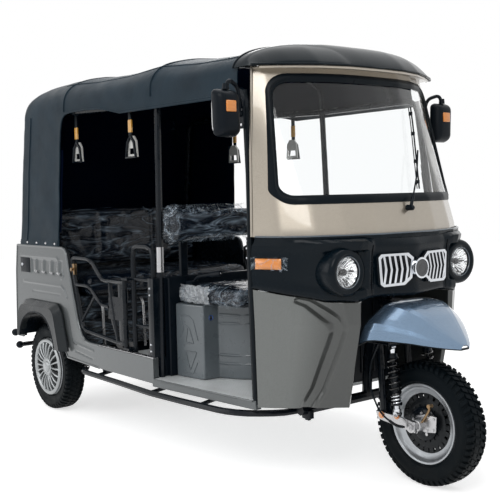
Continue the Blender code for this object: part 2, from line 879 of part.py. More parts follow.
# Rows of the band from its lower edge up: share of the way from the lower edge to the brow,
# how far the outer edge steps back, and 1 where the recess applies
BAND_ROWS = (
    (0.00, 0.012, 0),
    (0.07, 0.000, 0),
    (0.15, 0.004, 0),
    (0.21, 0.006, 1),
    (0.83, 0.006, 1),
    (0.88, 0.004, 0),
    (1.00, 0.000, 0),
)


def band_low(y):
    """Height of the belt band's lower edge at a distance from the centre."""
    table = [(side, low) for side, _, _, low, _, _ in BAND_PLAN]
    return interpolate(table, abs(y))[0]


def belt_ledge():
    """The flat tongue behind the band's top, which the dashboard rests against."""
    half = DASH_HALF + 0.01
    outline = [(back(cab_back(y, BELT_TOP) + BAND_WALL / 2), y) for y in (0.0, 0.180, half)]
    outline.append((back(DASH_FRONT - GAP), half))
    mirror_side = [(x, -y) for x, y in reversed(outline) if y > 0]
    return prism(outline + mirror_side, BELT_TOP - LEDGE_THICK, BELT_TOP - GAP, "XY")


def belt_band():
    columns = [(-y, *rest) for y, *rest in reversed(BAND_PLAN[1:])] + list(BAND_PLAN)
    outer = []
    inner = []
    for y, brow_back, low_back, low, brow, recessed in columns:
        face = []
        for share, step, deep in BAND_ROWS:
            z = low + (brow - low) * share
            depth = low_back + (brow_back - low_back) * share + step
            if recessed and deep:
                depth = max(depth, cab_back(y, BELT_TOP) - RECESS_PROUD)
            face.append((back(depth), y, z))
        face.append((back(cab_back(y, BELT_TOP) - BAND_PROUD), y, BELT_TOP))
        outer.append(face)
        wall_x = back(cab_back(y, BELT_TOP) + BAND_WALL)
        inner.append([(min(wall_x, x - BAND_THIN), y, z) for x, _, z in face])
    band = loft_shell(outer, inner)
    barrels = []
    bores = []
    for side in (-1, 1):
        y = side * HEADLIGHT_Y
        front, rear = BARREL_BACK
        middle = (back((front + rear) / 2), y, HEADLIGHT_Z)
        wide, narrow = BARREL_RADIUS[1], BARREL_RADIUS[0]
        barrels.append(cylinder(middle, wide, rear - front, "X", 24, narrow))
        depth = LENS_BACK + 0.045 - front
        bore = (back(front + depth / 2 - 0.005), y, HEADLIGHT_Z)
        bores.append(cylinder(bore, HEADLIGHT_RADIUS + GAP, depth + 0.010, "X", 24))
    band = combine(band, barrels + [belt_ledge()])
    band = combine(band, bores, "DIFFERENCE")
    finished(band, "belt_band", "black_plastic")


def headlight(side):
    """Lamp body with a domed lens."""
    rim = LENS_BACK
    profile = (
        (0.0, rim - LENS_RISE),
        (0.6, rim - LENS_RISE * 0.75),
        (1.0, rim),
        (1.0, rim + 0.045 - GAP),
        (0.0, rim + 0.045 - GAP),
    )
    points = [(HEADLIGHT_RADIUS * share, -distance) for share, distance in profile]
    lamp = turned(points, (0.0, 0.0, 0.0), 24)
    lamp.data.transform(Matrix.Rotation(math.radians(-90), 4, "Z"))
    lamp.data.transform(Matrix.Translation((FRONT_AXLE_X, side * HEADLIGHT_Y, HEADLIGHT_Z)))
    return outward(lamp)


GRILLE_HALF = 0.186
GRILLE_FACE_BACK = 0.0463
GRILLE_SWEEP = 0.16
GRILLE_DEPTH = 0.012
GRILLE_BORDER = 0.010
SLAT_COUNT = 5
SLAT_WIDTH = 0.009
SLAT_PROUD = 0.010
EMBLEM_RADIUS = 0.040
# Grille wing: distance from the centre, height over the headlights' centre
WING_OUTLINE = (
    (0.028, 0.042),
    (0.052, 0.062),
    (GRILLE_HALF - 0.012, 0.062),
    (GRILLE_HALF, 0.050),
    (GRILLE_HALF - 0.008, -0.055),
    (GRILLE_HALF - 0.022, -0.066),
    (0.070, -0.064),
    (0.036, -0.038),
)


def grille_wing(side):
    """One framed wing with upright slats whose front edges are creased."""
    face = back(GRILLE_FACE_BACK)
    centre_y = sum(y for y, _ in WING_OUTLINE) / len(WING_OUTLINE)
    centre_z = sum(z for _, z in WING_OUTLINE) / len(WING_OUTLINE)
    outline = [(y, HEADLIGHT_Z + z) for y, z in WING_OUTLINE]
    hole = []
    for y, z in WING_OUTLINE:
        inward = Vector((centre_y - y, centre_z - z)).normalized() * GRILLE_BORDER * 1.3
        hole.append((y + inward.x, HEADLIGHT_Z + z + inward.y))
    frame = prism(outline, face - GRILLE_DEPTH, face, "YZ")
    frame = combine(frame, [prism(hole, face - GRILLE_DEPTH * 2, face + 0.02, "YZ")], "DIFFERENCE")
    slats = [frame]
    first = EMBLEM_RADIUS + 0.024
    last = GRILLE_HALF - GRILLE_BORDER * 2.6
    for number in range(SLAT_COUNT):
        y = first + (last - first) * number / (SLAT_COUNT - 1)
        edge = [
            (face - GRILLE_DEPTH + 0.002, HEADLIGHT_Z - 0.060),
            (face - 0.003, HEADLIGHT_Z - 0.060),
            (face + SLAT_PROUD, HEADLIGHT_Z),
            (face - 0.003, HEADLIGHT_Z + 0.058),
            (face - GRILLE_DEPTH + 0.002, HEADLIGHT_Z + 0.058),
        ]
        slats.append(prism(edge, y - SLAT_WIDTH / 2, y + SLAT_WIDTH / 2))
    wing = combine(slats[0], slats[1:])
    for vert in wing.data.vertices:
        vert.co.x -= GRILLE_SWEEP * vert.co.y
    if side < 0:
        wing.data.transform(Matrix.Scale(-1, 4, (0, 1, 0)))
    return outward(wing)


def grille():
    wings = [grille_wing(-1), grille_wing(1)]
    boss = (back(GRILLE_FACE_BACK) + 0.004, back(BAND_PLAN[0][1] - GAP))
    middle = (sum(boss) / 2, 0, HEADLIGHT_Z)
    wings.append(cylinder(middle, EMBLEM_RADIUS, boss[0] - boss[1], "X", 24))
    solid = combine(wings[0], wings[1:])
    finished(solid, "grille", "chrome")


SCREEN_LOW = 1.185
SCREEN_HIGH = 1.722
SCREEN_HALF = 0.520
SEAL_WIDTH = 0.035


def rounded_rectangle(half, low, high, radius, steps=5):
    """A window outline in the YZ plane with round corners."""
    points = []
    corners = (
        (half - radius, low + radius, -90),
        (half - radius, high - radius, 0),
        (radius - half, high - radius, 90),
        (radius - half, low + radius, 180),
    )
    for y, z, start in corners:
        for step in range(steps + 1):
            angle = math.radians(start + 90 * step / steps)
            points.append((y + radius * math.cos(angle), z + radius * math.sin(angle)))
    return points


def window_prism(inset):
    outline = rounded_rectangle(
        SCREEN_HALF - inset, SCREEN_LOW + inset, SCREEN_HIGH - inset, 0.09 - inset / 2
    )
    return prism(outline, back(0.75), back(-0.2), "YZ")


def gutter():
    """The ledge above the windscreen, which carries the visor's lip."""
    sides = (-1.0, -0.9, -0.75, -0.55, -0.3, 0.0, 0.3, 0.55, 0.75, 0.9, 1.0)
    front = [cab_point(share, SCREEN_TOP, GUTTER_PROUD) for share in sides]
    inner = [cab_point(share, SCREEN_TOP, -0.012) for share in reversed(sides)]
    outline = [(x, y) for x, y, _ in front + inner]
    return prism(outline, SCREEN_TOP - 0.012, SCREEN_TOP, "XY")


def windscreen():
    low = BELT_TOP + GAP

    def place(u, v):
        return cab_point(2 * u - 1, low + (SCREEN_TOP - low) * v)

    def place_glass(u, v):
        return cab_point(2 * u - 1, low + (SCREEN_TOP - low) * v, -0.004)

    def place_seal(u, v):
        return cab_point(2 * u - 1, low + (SCREEN_TOP - low) * v, 0.010)

    shell = sheet(20, 1, place, WALL, offset=-1.0)
    trim = box((0.0, 2.0), (-1.0, 1.0), (BELT_TOP - 0.2, BELT_TOP + GAP))
    frame = combine(shell, [window_prism(0.0), trim], "DIFFERENCE")
    frame = combine(frame, [gutter()])
    finished(frame, "windscreen_frame", "champagne")
    seal = sheet(20, 1, place_seal, 0.030, offset=-1.0)
    seal = combine(seal, [window_prism(GAP)], "INTERSECT")
    seal = combine(seal, [window_prism(SEAL_WIDTH)], "DIFFERENCE")
    finished(seal, "windscreen_seal", "rubber")
    glass = sheet(20, 1, place_glass, 0.006, offset=-1.0)
    glass = combine(glass, [window_prism(SEAL_WIDTH + GAP)], "INTERSECT")
    finished(glass, "windscreen_glass", "glass")


def wiper():
    def on_screen(y, z, proud):
        return Vector((back(cab_back(y, z)) + proud, y, z))

    pivot = on_screen(0.02, 1.155, 0.026)
    tip = on_screen(0.20, 1.42, 0.034)
    pieces = [tube([pivot, tip], 0.006)]
    blade = [on_screen(0.12 + 0.10 * t, 1.26 + 0.36 * t, 0.030) for t in (0.0, 0.5, 1.0)]
    pieces.append(tube(blade, 0.006))
    pieces.append(cylinder(pivot + Vector((-0.0096, 0, 0)), 0.014, 0.0233, "X", 16))
    solid = combine(pieces[0], pieces[1:])
    finished(solid, "wiper", "black_plastic")


def roof_visor():
    half, crown = interpolate(CANOPY_STATIONS, CANOPY_FRONT_BACK)
    half += VISOR_WALL + VISOR_CLEARANCE
    rise = crown - CANOPY_EAVE + VISOR_WALL + VISOR_CLEARANCE
    lip_z = SCREEN_TOP + GAP
    start = math.asin(((lip_z - CANOPY_EAVE) / rise) ** (ROOF_POWER / 2))

    def place(u, v):
        share = 2 * u - 1
        angle = start + (math.pi / 2 - start) * (1 - abs(share))
        y = half * math.cos(angle) ** (2 / ROOF_POWER) if abs(share) > 1e-6 else 0.0
        top = CANOPY_EAVE + rise * math.sin(angle) ** (2 / ROOF_POWER)
        lip = cab_back(y * 0.96, SCREEN_TOP) - GUTTER_PROUD
        along = v**1.5
        arch = math.sin(min(along * 1.5, 1.0) * math.pi / 2) ** 0.8
        distance = lip + (CANOPY_FRONT_BACK + VISOR_OVERLAP - lip) * along
        return back(distance), math.copysign(y, share), lip_z + (top - lip_z) * arch

    solid = sheet(16, 8, place, VISOR_WALL, offset=-1.0)
    under = box((0.0, 2.0), (-1.0, 1.0), (lip_z - 0.2, lip_z))
    behind = box((0.0, back(CANOPY_FRONT_BACK) + 2 * GAP), (-1.0, 1.0), (1.0, 2.0))
    solid = combine(solid, [under, behind], "DIFFERENCE")
    finished(solid, "roof_visor", "black_gloss")


MIRROR_BRACKET_Z = (1.50, 1.59)


def mirror():
    shell = box((back(0.50), back(0.435)), (-0.735, -0.60), (1.455, 1.66), bevel=0.028, segments=3)
    arm = [
        (back(0.507), -0.5665, 1.560),
        (back(0.495), -0.585, 1.680),
        (back(0.465), -0.660, 1.700),
        (back(0.467), -0.668, 1.640),
    ]
    low, high = MIRROR_BRACKET_Z
    seats = [(0.5573, low), (0.5527, high)]
    outline = [(-y, z) for y, z in seats] + [(-y - 0.005, z) for y, z in reversed(seats)]
    bracket = prism(outline, back(0.522), back(0.488), "YZ")
    return combine(shell, [tube(rounded(arm, 0.03), 0.010), bracket])


# Roof rail: distance behind the front axle, distance from the centre, height
ROOF_RAIL = ((1.19, 0.535, 1.665), (2.08, 0.545, 1.700))
GRAB_HANDLE_STATIONS = (1.44, 2.00)


def side_frame():
    roof_z = ROOF_RAIL[0][2]
    post = [
        (back(0.474), -0.527, FLOOR_TOP + GAP),
        (back(0.474), -0.527, FLOOR_TOP + 0.04),
        (back(0.449), -0.563, 1.056),
        (back(0.515), -0.532, roof_z),
        *((back(d), -y, z) for d, y, z in ROOF_RAIL),
        (back(2.47), -0.525, 1.700),
        (back(2.60), -0.560, QUARTER_TOP + GAP),
    ]
    pieces = [tube(rounded(post, 0.05), POST_RADIUS)]
    mid = [
        (back(MID_POST_BACK), -POST_FOOT_Y, FLOOR_TOP + GAP),
        (back(MID_POST_BACK), -POST_FOOT_Y, FLOOR_TOP + 0.06),
        (back(MID_POST_BACK + 0.02), -0.535, roof_z),
    ]
    pieces.append(tube(mid, POST_RADIUS))
    guard = [
        (back(1.400), -0.570, FLOOR_TOP + GAP),
        (back(1.400), -0.570, 0.985),
        (back(1.215), -0.570, 0.985),
        (back(1.215), -0.570, FLOOR_TOP + GAP),
    ]
    pieces.append(tube(rounded(guard, 0.05), 0.013))
    for z in (0.82, 0.59):
        rung = [(back(1.400), -0.570, z), (back(MID_POST_BACK), -0.560, z)]
        pieces.append(tube(rung, 0.009))
    low, high = GATE_HINGE_Z
    for z in ((low - GAP - LUG_PLATE, low - GAP), (high + GAP, high + GAP + LUG_PLATE)):
        reach = (back(GATE_HINGE_BACK) - 0.012, back(1.395))
        pieces.append(box(reach, (GATE_Y - 0.012, -POST_FOOT_Y), z))
    for distance in GRAB_HANDLE_STATIONS:
        pieces += grab_handle(distance, *interpolate(ROOF_RAIL, distance))
    return combine(pieces[0], pieces[1:])


BOW_STATIONS = (0.70, 1.19, 2.05)
BOW_RADIUS = 0.012


def roof_bows():
    pieces = []
    inset = CANOPY_WALL + BOW_RADIUS + 0.004
    for distance in BOW_STATIONS:
        rail_y, rail_z = interpolate(ROOF_RAIL, distance)
        seat = rail_z + POST_RADIUS + 3 * GAP
        half_path = [(rail_y, seat), (rail_y, seat + 0.03)]
        for degrees in (25, 50):
            y, z = roof_point(distance, math.radians(degrees))
            half_path.append((y - inset, z - inset * 1.2))
        top = roof_point(distance, math.pi / 2)[1] - inset
        path = [(back(distance), -y, z) for y, z in half_path]
        path.append((back(distance), 0, top))
        path += [(back(distance), y, z) for y, z in reversed(half_path)]
        pieces.append(tube(path, BOW_RADIUS))
    ridge = [
        (back(distance), 0, crown - inset)
        for distance, _, crown in CANOPY_STATIONS
        if BOW_STATIONS[0] < distance <= BOW_STATIONS[-1]
    ]
    ridge.insert(0, (back(BOW_STATIONS[0]), 0, roof_point(BOW_STATIONS[0], math.pi / 2)[1] - inset))
    pieces.append(tube(ridge, BOW_RADIUS * 0.9))
    solid = combine(pieces[0], pieces[1:])
    finished(solid, "roof_bows", "black_paint")


# Canopy stations: distance behind the front axle, half width at the eave, height at the centre
CANOPY_FRONT_BACK = 0.55
CANOPY_EAVE = 1.70
CANOPY_STATIONS = (
    (0.55, 0.548, 1.858),
    (0.90, 0.562, 1.880),
    (1.19, 0.575, 1.905),
    (1.50, 0.583, 1.893),
    (1.80, 0.590, 1.900),
    (2.05, 0.592, 1.915),
    (2.20, 0.592, 1.925),
    (2.62, 0.588, 1.925),
)
CANOPY_WALL = 0.006
ROOF_POWER = 3.0
REAR_WALL = ((0.0, 2.678), (1.0, 2.620))
REAR_CREST_BACK = 2.20
VISOR_WALL = 0.012
VISOR_CLEARANCE = 0.002
VISOR_OVERLAP = 0.018
GUTTER_PROUD = 0.050


def roof_point(distance, angle):
    """Half width and height of the roof: the angle runs from 0 at the eave to a right angle."""
    half, crown = interpolate(CANOPY_STATIONS, distance)
    y = half * max(math.cos(angle), 0.0) ** (2 / ROOF_POWER)
    return y, CANOPY_EAVE + (crown - CANOPY_EAVE) * math.sin(angle) ** (2 / ROOF_POWER)


def canopy():
    hem = QUARTER_TOP + GAP
    walls = 3
    roof_rows = 7
    rows = walls + roof_rows

    def place(u, v):
        row = round(v * rows)
        share = 2 * u - 1
        side = abs(share)
        if row <= walls:
            rise = row / walls
            z = hem + (CANOPY_EAVE - hem) * rise
            end = REAR_WALL[0][1] + (REAR_WALL[1][1] - REAR_WALL[0][1]) * rise
            corner = 0.07
            angle = 0.0
        else:
            angle = math.pi / 2 * ((row - walls) / roof_rows) ** 1.15
            reach = max(math.cos(angle), 0.0) ** (2 / ROOF_POWER)
            end = REAR_CREST_BACK + (REAR_WALL[1][1] - REAR_CREST_BACK) * reach
            rise = 1.0
            corner = min(0.07 + 0.20 * math.sin(angle), roof_point(end, angle)[0])
        # Along the side, then round the rear corner, then across the back
        if side > 0.45:
            distance = CANOPY_FRONT_BACK + (end - corner - CANOPY_FRONT_BACK) * (1 - side) / 0.55
            turn = 0.0
        elif side > 0.20:
            distance = end - corner
            turn = (0.45 - side) / 0.25 * math.pi / 2
        else:
            distance = end - corner
            turn = math.pi / 2
        half, crown = interpolate(CANOPY_STATIONS, distance)
        if row <= walls:
            y = half + (HALF_WIDTH - 0.004 - half) * (1 - rise)
        else:
            y, z = roof_point(distance, angle)
        across = y - corner + corner * math.cos(turn)
        if side <= 0.20:
            across = (y - corner) * side / 0.20
        distance += corner * math.sin(turn)
        return back(distance), math.copysign(across, share), z

    shell = sheet(40, rows, place, CANOPY_WALL)
    opening = [
        (back(0.40), 0.80),
        (back(0.40), 1.640),
        (back(1.46), 1.645),
        (back(1.62), 1.680),
        (back(2.02), 1.690),
        (back(2.07), 1.670),
        (back(2.095), 1.610),
        (back(2.120), 0.80),
    ]
    solid = combine(shell, [prism(opening, -0.9, 0.9)], "DIFFERENCE")
    finished(solid, "canopy", "canopy_cloth")


QUARTER_OUTLINE = (
    (2.675, QUARTER_TOP),
    (2.700, 0.800),
    (2.722, 0.405),
    (2.640, 0.405),
    (2.625, 0.470),
    (2.570, 0.545),
    (2.470, 0.600),
    (2.340, 0.605),
    (2.210, 0.570),
    (2.140, 0.490),
    (2.095, 0.400),
    (2.060, 0.350),
    (1.700, 0.338),
    (1.700, 0.455),
    (1.820, 0.457),
    (1.895, 0.490),
    (1.936, 0.572),
    (1.996, 0.766),
    (2.045, 0.925),
    (2.084, QUARTER_TOP),
)


def rear_quarter():
    outline = [(back(d + (GAP if d == 1.7 else 0.0)), z) for d, z in QUARTER_OUTLINE]
    return prism(outline, -HALF_WIDTH, WALL - HALF_WIDTH)


TAIL_LAMP_Y = (HALF_WIDTH - 0.16, HALF_WIDTH - 0.06)


def tail_panel():
    outline = [
        (back(2.675), QUARTER_TOP),
        (back(2.722), 0.430),
        (back(2.722 - WALL), 0.430),
        (back(2.675 - WALL), QUARTER_TOP),
    ]
    half = HALF_WIDTH - WALL - GAP
    pieces = [prism(outline, -half, half)]
    for side in (-1, 1):
        pieces.append(
            box(
                (back(2.725), back(2.680)),
                sorted((side * TAIL_LAMP_Y[0], side * TAIL_LAMP_Y[1])),
                (0.60, 0.74),
            )
        )
    solid = combine(pieces[0], pieces[1:])
    finished(solid, "tail_panel", "grey_paint")


FLARE_OUTER = (
    (2.640, 0.420),
    (2.615, 0.580),
    (2.560, 0.655),
    (2.126, 0.655),
    (2.085, 0.610),
    (2.023, 0.381),
    (2.110, 0.381),
    (2.150, 0.480),
    (2.215, 0.545),
    (2.330, 0.580),
    (2.450, 0.572),
    (2.550, 0.515),
    (2.590, 0.420),
)


def fender_flare():
    outline = [(back(d), z) for d, z in FLARE_OUTER]
    return prism(outline, -HALF_WIDTH - 0.045, -HALF_WIDTH - GAP)


def side_sill():
    panel = box(
        (back(SEAM_BACK), back(MID_POST_BACK - 0.010)),
        (-HALF_WIDTH, WALL - HALF_WIDTH),
        (SILL_BOTTOM, SILL_TOP),
    )
    start = MID_POST_BACK
    end = STEP_FRONT_BACK
    step = prism(
        [
            (back(start), -side_y(start)),
            (back(end), -side_y(end)),
            (back(end), WALL - side_y(end)),
            (back(start), WALL - side_y(start)),
        ],
        STEP_BOTTOM,
        FLOOR_TOP,
        "XY",
    )
    return combine(panel, [step])


SEAT_BOX_TOP = 0.715
SHELF_LOW = 0.570
SHELF_TOP = 0.690
BOARD_FRONT_BACK = 2.535
BACKREST_BACK = (1.080, 1.165)


def driver_seat_box():
    core = prism(
        [
            (back(1.140), -0.500),
            (back(0.950), -0.470),
            (back(0.945), -0.385),
            (back(0.830), -0.330),
            (back(0.740), -0.200),
            (back(0.720), 0.0),
            (back(0.740), 0.200),
            (back(0.830), 0.330),
            (back(0.945), 0.385),
            (back(0.950), 0.470),
            (back(1.140), 0.500),
        ],
        FLOOR_TOP + GAP,
        SEAT_BOX_TOP,
        "XY",
        bevel=0.010,
    )
    finished(core, "driver_seat_box", "seat_box_grey")


def partition():
    low = box(
        (back(PARTITION_BACK[1]), back(PARTITION_BACK[0])),
        (-PARTITION_HALF, PARTITION_HALF),
        (FLOOR_TOP + GAP, 0.84),
        bevel=0.006,
    )
    arms = []
    for side in (-1, 1):
        reach = (back(PARTITION_BACK[1] + 0.006), back(BACKREST_BACK[1] + GAP))
        arms.append(box(reach, sorted((side * 0.40, side * 0.44)), (0.80, 1.12)))
    solid = combine(low, arms)
    finished(solid, "partition", "black_plastic")


def padding(name, reach, half, heights, bevel):
    """A seat pad from its distances behind the front axle, half width and heights."""
    near, far = reach
    pad = box((back(far), back(near)), (-half, half), heights, bevel=bevel, segments=3)
    finished(pad, name, "seat_vinyl")


def seats():
    cushion_low = SEAT_BOX_TOP + GAP
    padding("driver_cushion", (0.680, 1.140), 0.47, (cushion_low, 0.800), 0.025)
    padding("driver_backrest", BACKREST_BACK, HALF_WIDTH - 0.085, (1.000, 1.180), 0.022)
    padding("bench_cushion", (1.90, 2.42), HALF_WIDTH - 0.055, (SHELF_TOP + GAP, 0.800), 0.03)
    padding("bench_backrest", (2.425, BOARD_FRONT_BACK), HALF_WIDTH - 0.075, (0.80, 1.190), 0.03)
    pack_half = REAR_TRACK_HALF - REAR_TYRE_WIDTH / 2 - 0.051
    pack_foot = KICK_Z + TUBE_RADIUS + GAP
    pack_reach = (back(2.60), back(1.98))
    pack = box(pack_reach, (-pack_half, pack_half), (pack_foot, SHELF_LOW - GAP), bevel=0.006)
    finished(pack, "battery_pack", "black_plastic")
    bench_half = HALF_WIDTH - WALL - GAP
    shelf = box((back(2.62), back(1.96)), (-bench_half, bench_half), (SHELF_LOW, SHELF_TOP))
    board_half = HALF_WIDTH - 0.110
    board_reach = (back(BOARD_FRONT_BACK + 0.025), back(BOARD_FRONT_BACK + GAP))
    board = box(board_reach, (-board_half, board_half), (0.60, 1.15))
    base = combine(shelf, [board])
    finished(base, "bench_base", "black_plastic")


def side_gate():
    y = GATE_Y
    hinge_back = GATE_HINGE_BACK
    low, high = GATE_HINGE_Z
    upper = [
        (back(hinge_back), y, 0.800),
        (back(1.667), y, 0.800),
        (back(1.790), y, 0.905),
        (back(2.003), y, 0.905),
        (back(1.893), y, 0.520),
        (back(1.515), y, 0.492),
        (back(hinge_back), y, 0.490),
    ]
    pieces = [tube(rounded(upper, 0.04), 0.0115)]
    lower = [
        (back(1.600), y, 0.666),
        (back(1.687), y, 0.672),
        (back(1.811), y, 0.760),
        (back(1.963), y, 0.760),
    ]
    pieces.append(tube(rounded(lower, 0.03), 0.010))
    pieces.append(tube([(back(1.905), y, 0.560), (back(1.745), y, 0.712)], 0.009))
    pieces.append(tube([(back(hinge_back), y, low), (back(hinge_back), y, high)], 0.012))
    plate = prism(
        [
            (back(1.600), 0.715), (back(1.440), 0.715), (back(1.440), 0.615), (back(1.590), 0.615),
        ],
        y - 0.004,
        y + 0.004,
    )
    pieces.append(plate)
    pieces.append(tube([(back(1.590), y, 0.800), (back(1.520), y, 0.492)], 0.010))
    return combine(pieces[0], pieces[1:])


def nerf_bar(side):
    """The bent tube outside one sill and its arms to the frame."""
    z = 0.295
    path = [
        (back(1.930), -0.570, z),
        (back(1.880), -0.618, z),
        (back(1.466), -0.627, z),
        (back(1.170), -0.640, z),
        (back(0.933), -0.625, z),
        (back(0.630), -0.597, z),
        (back(0.531), -0.550, z),
        (back(0.429), -0.428, z),
        (back(0.385), -0.350, 0.308),
    ]
    path = [(x, side * -y, z) for x, y, z in path]
    pieces = [tube(rounded(path, 0.05), 0.015)]
    for distance, reach in ((0.80, 0.610), (1.17, 0.640), (1.72, 0.620)):
        arm = [(back(distance), side * reach, z), (back(distance), side * 0.50, 0.312)]
        pieces.append(tube(arm, 0.010))
    return pieces


def rear_bumper():
    """Two cross tubes with ball ends, carried by uprights on the frame's rails."""
    x = back(BUMPER_BACK)
    pieces = [
        tube([(x, -0.60, 0.410), (x, 0.60, 0.410)], 0.014),
        tube([(x, -0.575, 0.330), (x, 0.575, 0.330)], 0.014),
    ]
    for z, half in ((0.410, 0.60), (0.330, 0.575)):
        for side in (-1, 1):
            pieces.append(ball((x, side * half, z), 0.022))
    for side in (-1, 1):
        pieces.append(tube([(x, side * RAIL_Y, 0.325), (x, side * RAIL_Y, 0.422)], 0.012))
    return pieces


def grab_handle(distance, side, top):
    """A hanging handle and its strap, which reaches up to the roof rail."""
    y = -side
    strap = box((back(distance) - 0.012, back(distance) + 0.012), (y - 0.003, y + 0.003), (1.52, top))
    loop = [
        (back(distance), y, 1.530),
        (back(distance) - 0.030, y, 1.500),
        (back(distance) - 0.045, y, 1.425),
        (back(distance) + 0.045, y, 1.425),
        (back(distance) + 0.030, y, 1.500),
    ]
    return [tube(loop, 0.008, closed=True), strap]


MUDGUARD_WALL = 0.006
# Front mudguard: distance behind the front axle, half width, height of the rim and of the
# crown, how far the rim trails behind the crown
MUDGUARD_STATIONS = (
    (0.100, 0.252, 0.597, 0.765, 0.061),
    (0.060, 0.250, 0.624, 0.762, 0.034),
    (0.010, 0.222, 0.625, 0.747, 0.012),
    (-0.045, 0.172, 0.618, 0.716, 0.0),
    (-0.090, 0.134, 0.609, 0.680, 0.0),
    (-0.130, 0.094, 0.601, 0.648, 0.0),
    (-0.164, 0.056, 0.595, 0.621, 0.0),
    (-0.186, 0.022, 0.591, 0.603, 0.0),
)
# Half cross-section of the mudguard: share of the half width, share of the height
MUDGUARD_SECTION = (
    (0.00, 1.00),
    (0.34, 0.985),
    (0.60, 0.90),
    (0.80, 0.66),
    (0.955, 0.38),
    (1.00, 0.00),
)


def front_mudguard():
    columns = [(-y, z) for y, z in reversed(MUDGUARD_SECTION[1:])] + list(MUDGUARD_SECTION)
    across = len(columns) - 1
    along = len(MUDGUARD_STATIONS) - 1

    def place(u, v):
        side, height = columns[round(u * across)]
        distance, half, rim, crown, trail = MUDGUARD_STATIONS[round(v * along)]
        x = back(distance + trail * (1 - height))
        return x, side * half, rim + (crown - rim) * height

    solid = sheet(across, along, place, MUDGUARD_WALL, offset=-1.0)
    finished(solid, "front_mudguard", "fender_blue")


def brake_cable(steering):
    path = [
        (back(0.140), -0.1495, 0.5955),
        (back(0.175), -0.170, 0.500),
        (back(0.175), -0.170, 0.400),
        (back(0.120), -0.165, 0.300),
        (back(0.045), -0.150, 0.262),
        (back(0.012), -0.1385, 0.262),
    ]
    solid = tube(rounded(path, 0.05), 0.004)
    finished(solid, "brake_cable", "rubber")
    carried(steering, solid)


def build():
    clear_scene()
    chassis_frame()
    floor_plate()
    rear_axle()
    rear_wheels()
    steering = hub("steering_axis", back(STEER_AXIS_BACK), 0, STEER_AXIS_Z)
    front_wheel(steering)
    front_fork(steering)
    brake_cable(steering)
    handlebar(steering)
    dashboard()
    front_mudguard()
    pair(lower_cab, "cab_lower_panel", "grey_paint")
    bulkhead()
    belt_band()
    pair(lambda: headlight(-1), "headlight", "lens")
    grille()
    windscreen()
    wiper()
    roof_visor()
    pair(mirror, "mirror", "black_plastic")
    pair(side_frame, "side_frame", "black_paint")
    roof_bows()
    canopy()
    pair(rear_quarter, "rear_quarter", "grey_paint")
    tail_panel()
    pair(fender_flare, "fender_flare", "black_plastic")
    pair(side_sill, "side_sill", "grey_paint")
    driver_seat_box()
    partition()
    seats()
    gate_right, gate_left = pair(side_gate, "side_gate", "black_paint")
    for gate, side, label in ((gate_right, -1, "right"), (gate_left, 1, "left")):
        carried(hub("gate_axis_" + label, back(GATE_HINGE_BACK), -side * GATE_Y, 0.64), gate)


if __name__ == "__main__":
    build()
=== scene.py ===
"""Looks of a three-wheeled electric passenger rickshaw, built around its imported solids.

Every length is in metres, in the frame of the solids: +X forward, +Y to the vehicle's left, +Z up.
"""

import json
import logging
import math
from dataclasses import dataclass, field
from enum import Enum
from typing import Callable, ClassVar, Iterable, Sequence

import bmesh
import bpy
from mathutils import Matrix, Vector, noise


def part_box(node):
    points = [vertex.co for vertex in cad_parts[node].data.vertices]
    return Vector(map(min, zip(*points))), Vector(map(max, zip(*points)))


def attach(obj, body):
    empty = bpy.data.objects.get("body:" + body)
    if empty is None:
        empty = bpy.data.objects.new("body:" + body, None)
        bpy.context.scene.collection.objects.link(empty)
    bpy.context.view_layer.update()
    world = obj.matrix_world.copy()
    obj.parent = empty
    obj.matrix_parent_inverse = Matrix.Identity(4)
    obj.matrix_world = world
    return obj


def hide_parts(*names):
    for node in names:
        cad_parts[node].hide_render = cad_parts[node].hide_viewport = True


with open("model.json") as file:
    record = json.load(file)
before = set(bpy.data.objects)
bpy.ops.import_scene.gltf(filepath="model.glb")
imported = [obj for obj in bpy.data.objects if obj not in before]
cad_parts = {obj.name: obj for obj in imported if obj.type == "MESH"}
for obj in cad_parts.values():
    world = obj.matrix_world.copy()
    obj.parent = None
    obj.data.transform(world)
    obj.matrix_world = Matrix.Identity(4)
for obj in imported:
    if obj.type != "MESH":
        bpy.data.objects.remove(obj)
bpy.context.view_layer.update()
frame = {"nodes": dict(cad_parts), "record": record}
LOG = logging.getLogger("rickshaw")

Colour = tuple[float, float, float]
Point = tuple[float, float, float]
Outline = Sequence[tuple[float, float]]

DUST_COLOUR = (0.20, 0.18, 0.15, 1.0)

# Points of a new mesh closer than this become one
MERGE = 0.00002
FRONT_AXLE_X, FRONT_AXLE_Z = 1.27, 0.26
REAR_AXLE_X, REAR_AXLE_Z, REAR_TRACK = -1.10, 0.25, 0.53


class Body(Enum):
    """The bodies that pieces ride on."""

    MAIN = "main_body"
    STEERING = "steering_body"
    FRONT_WHEEL = "front_wheel_body"
    REAR_RIGHT = "rear_right_wheel_body"
    REAR_LEFT = "rear_left_wheel_body"
    GATE_RIGHT = "right_gate_body"
    GATE_LEFT = "left_gate_body"


class Side(Enum):
    """The vehicle's two sides, as the sign of Y."""

    RIGHT = -1
    LEFT = 1

    @property
    def word(self) -> str:
        """The side's name as the solids' names end."""
        return self.name.lower()


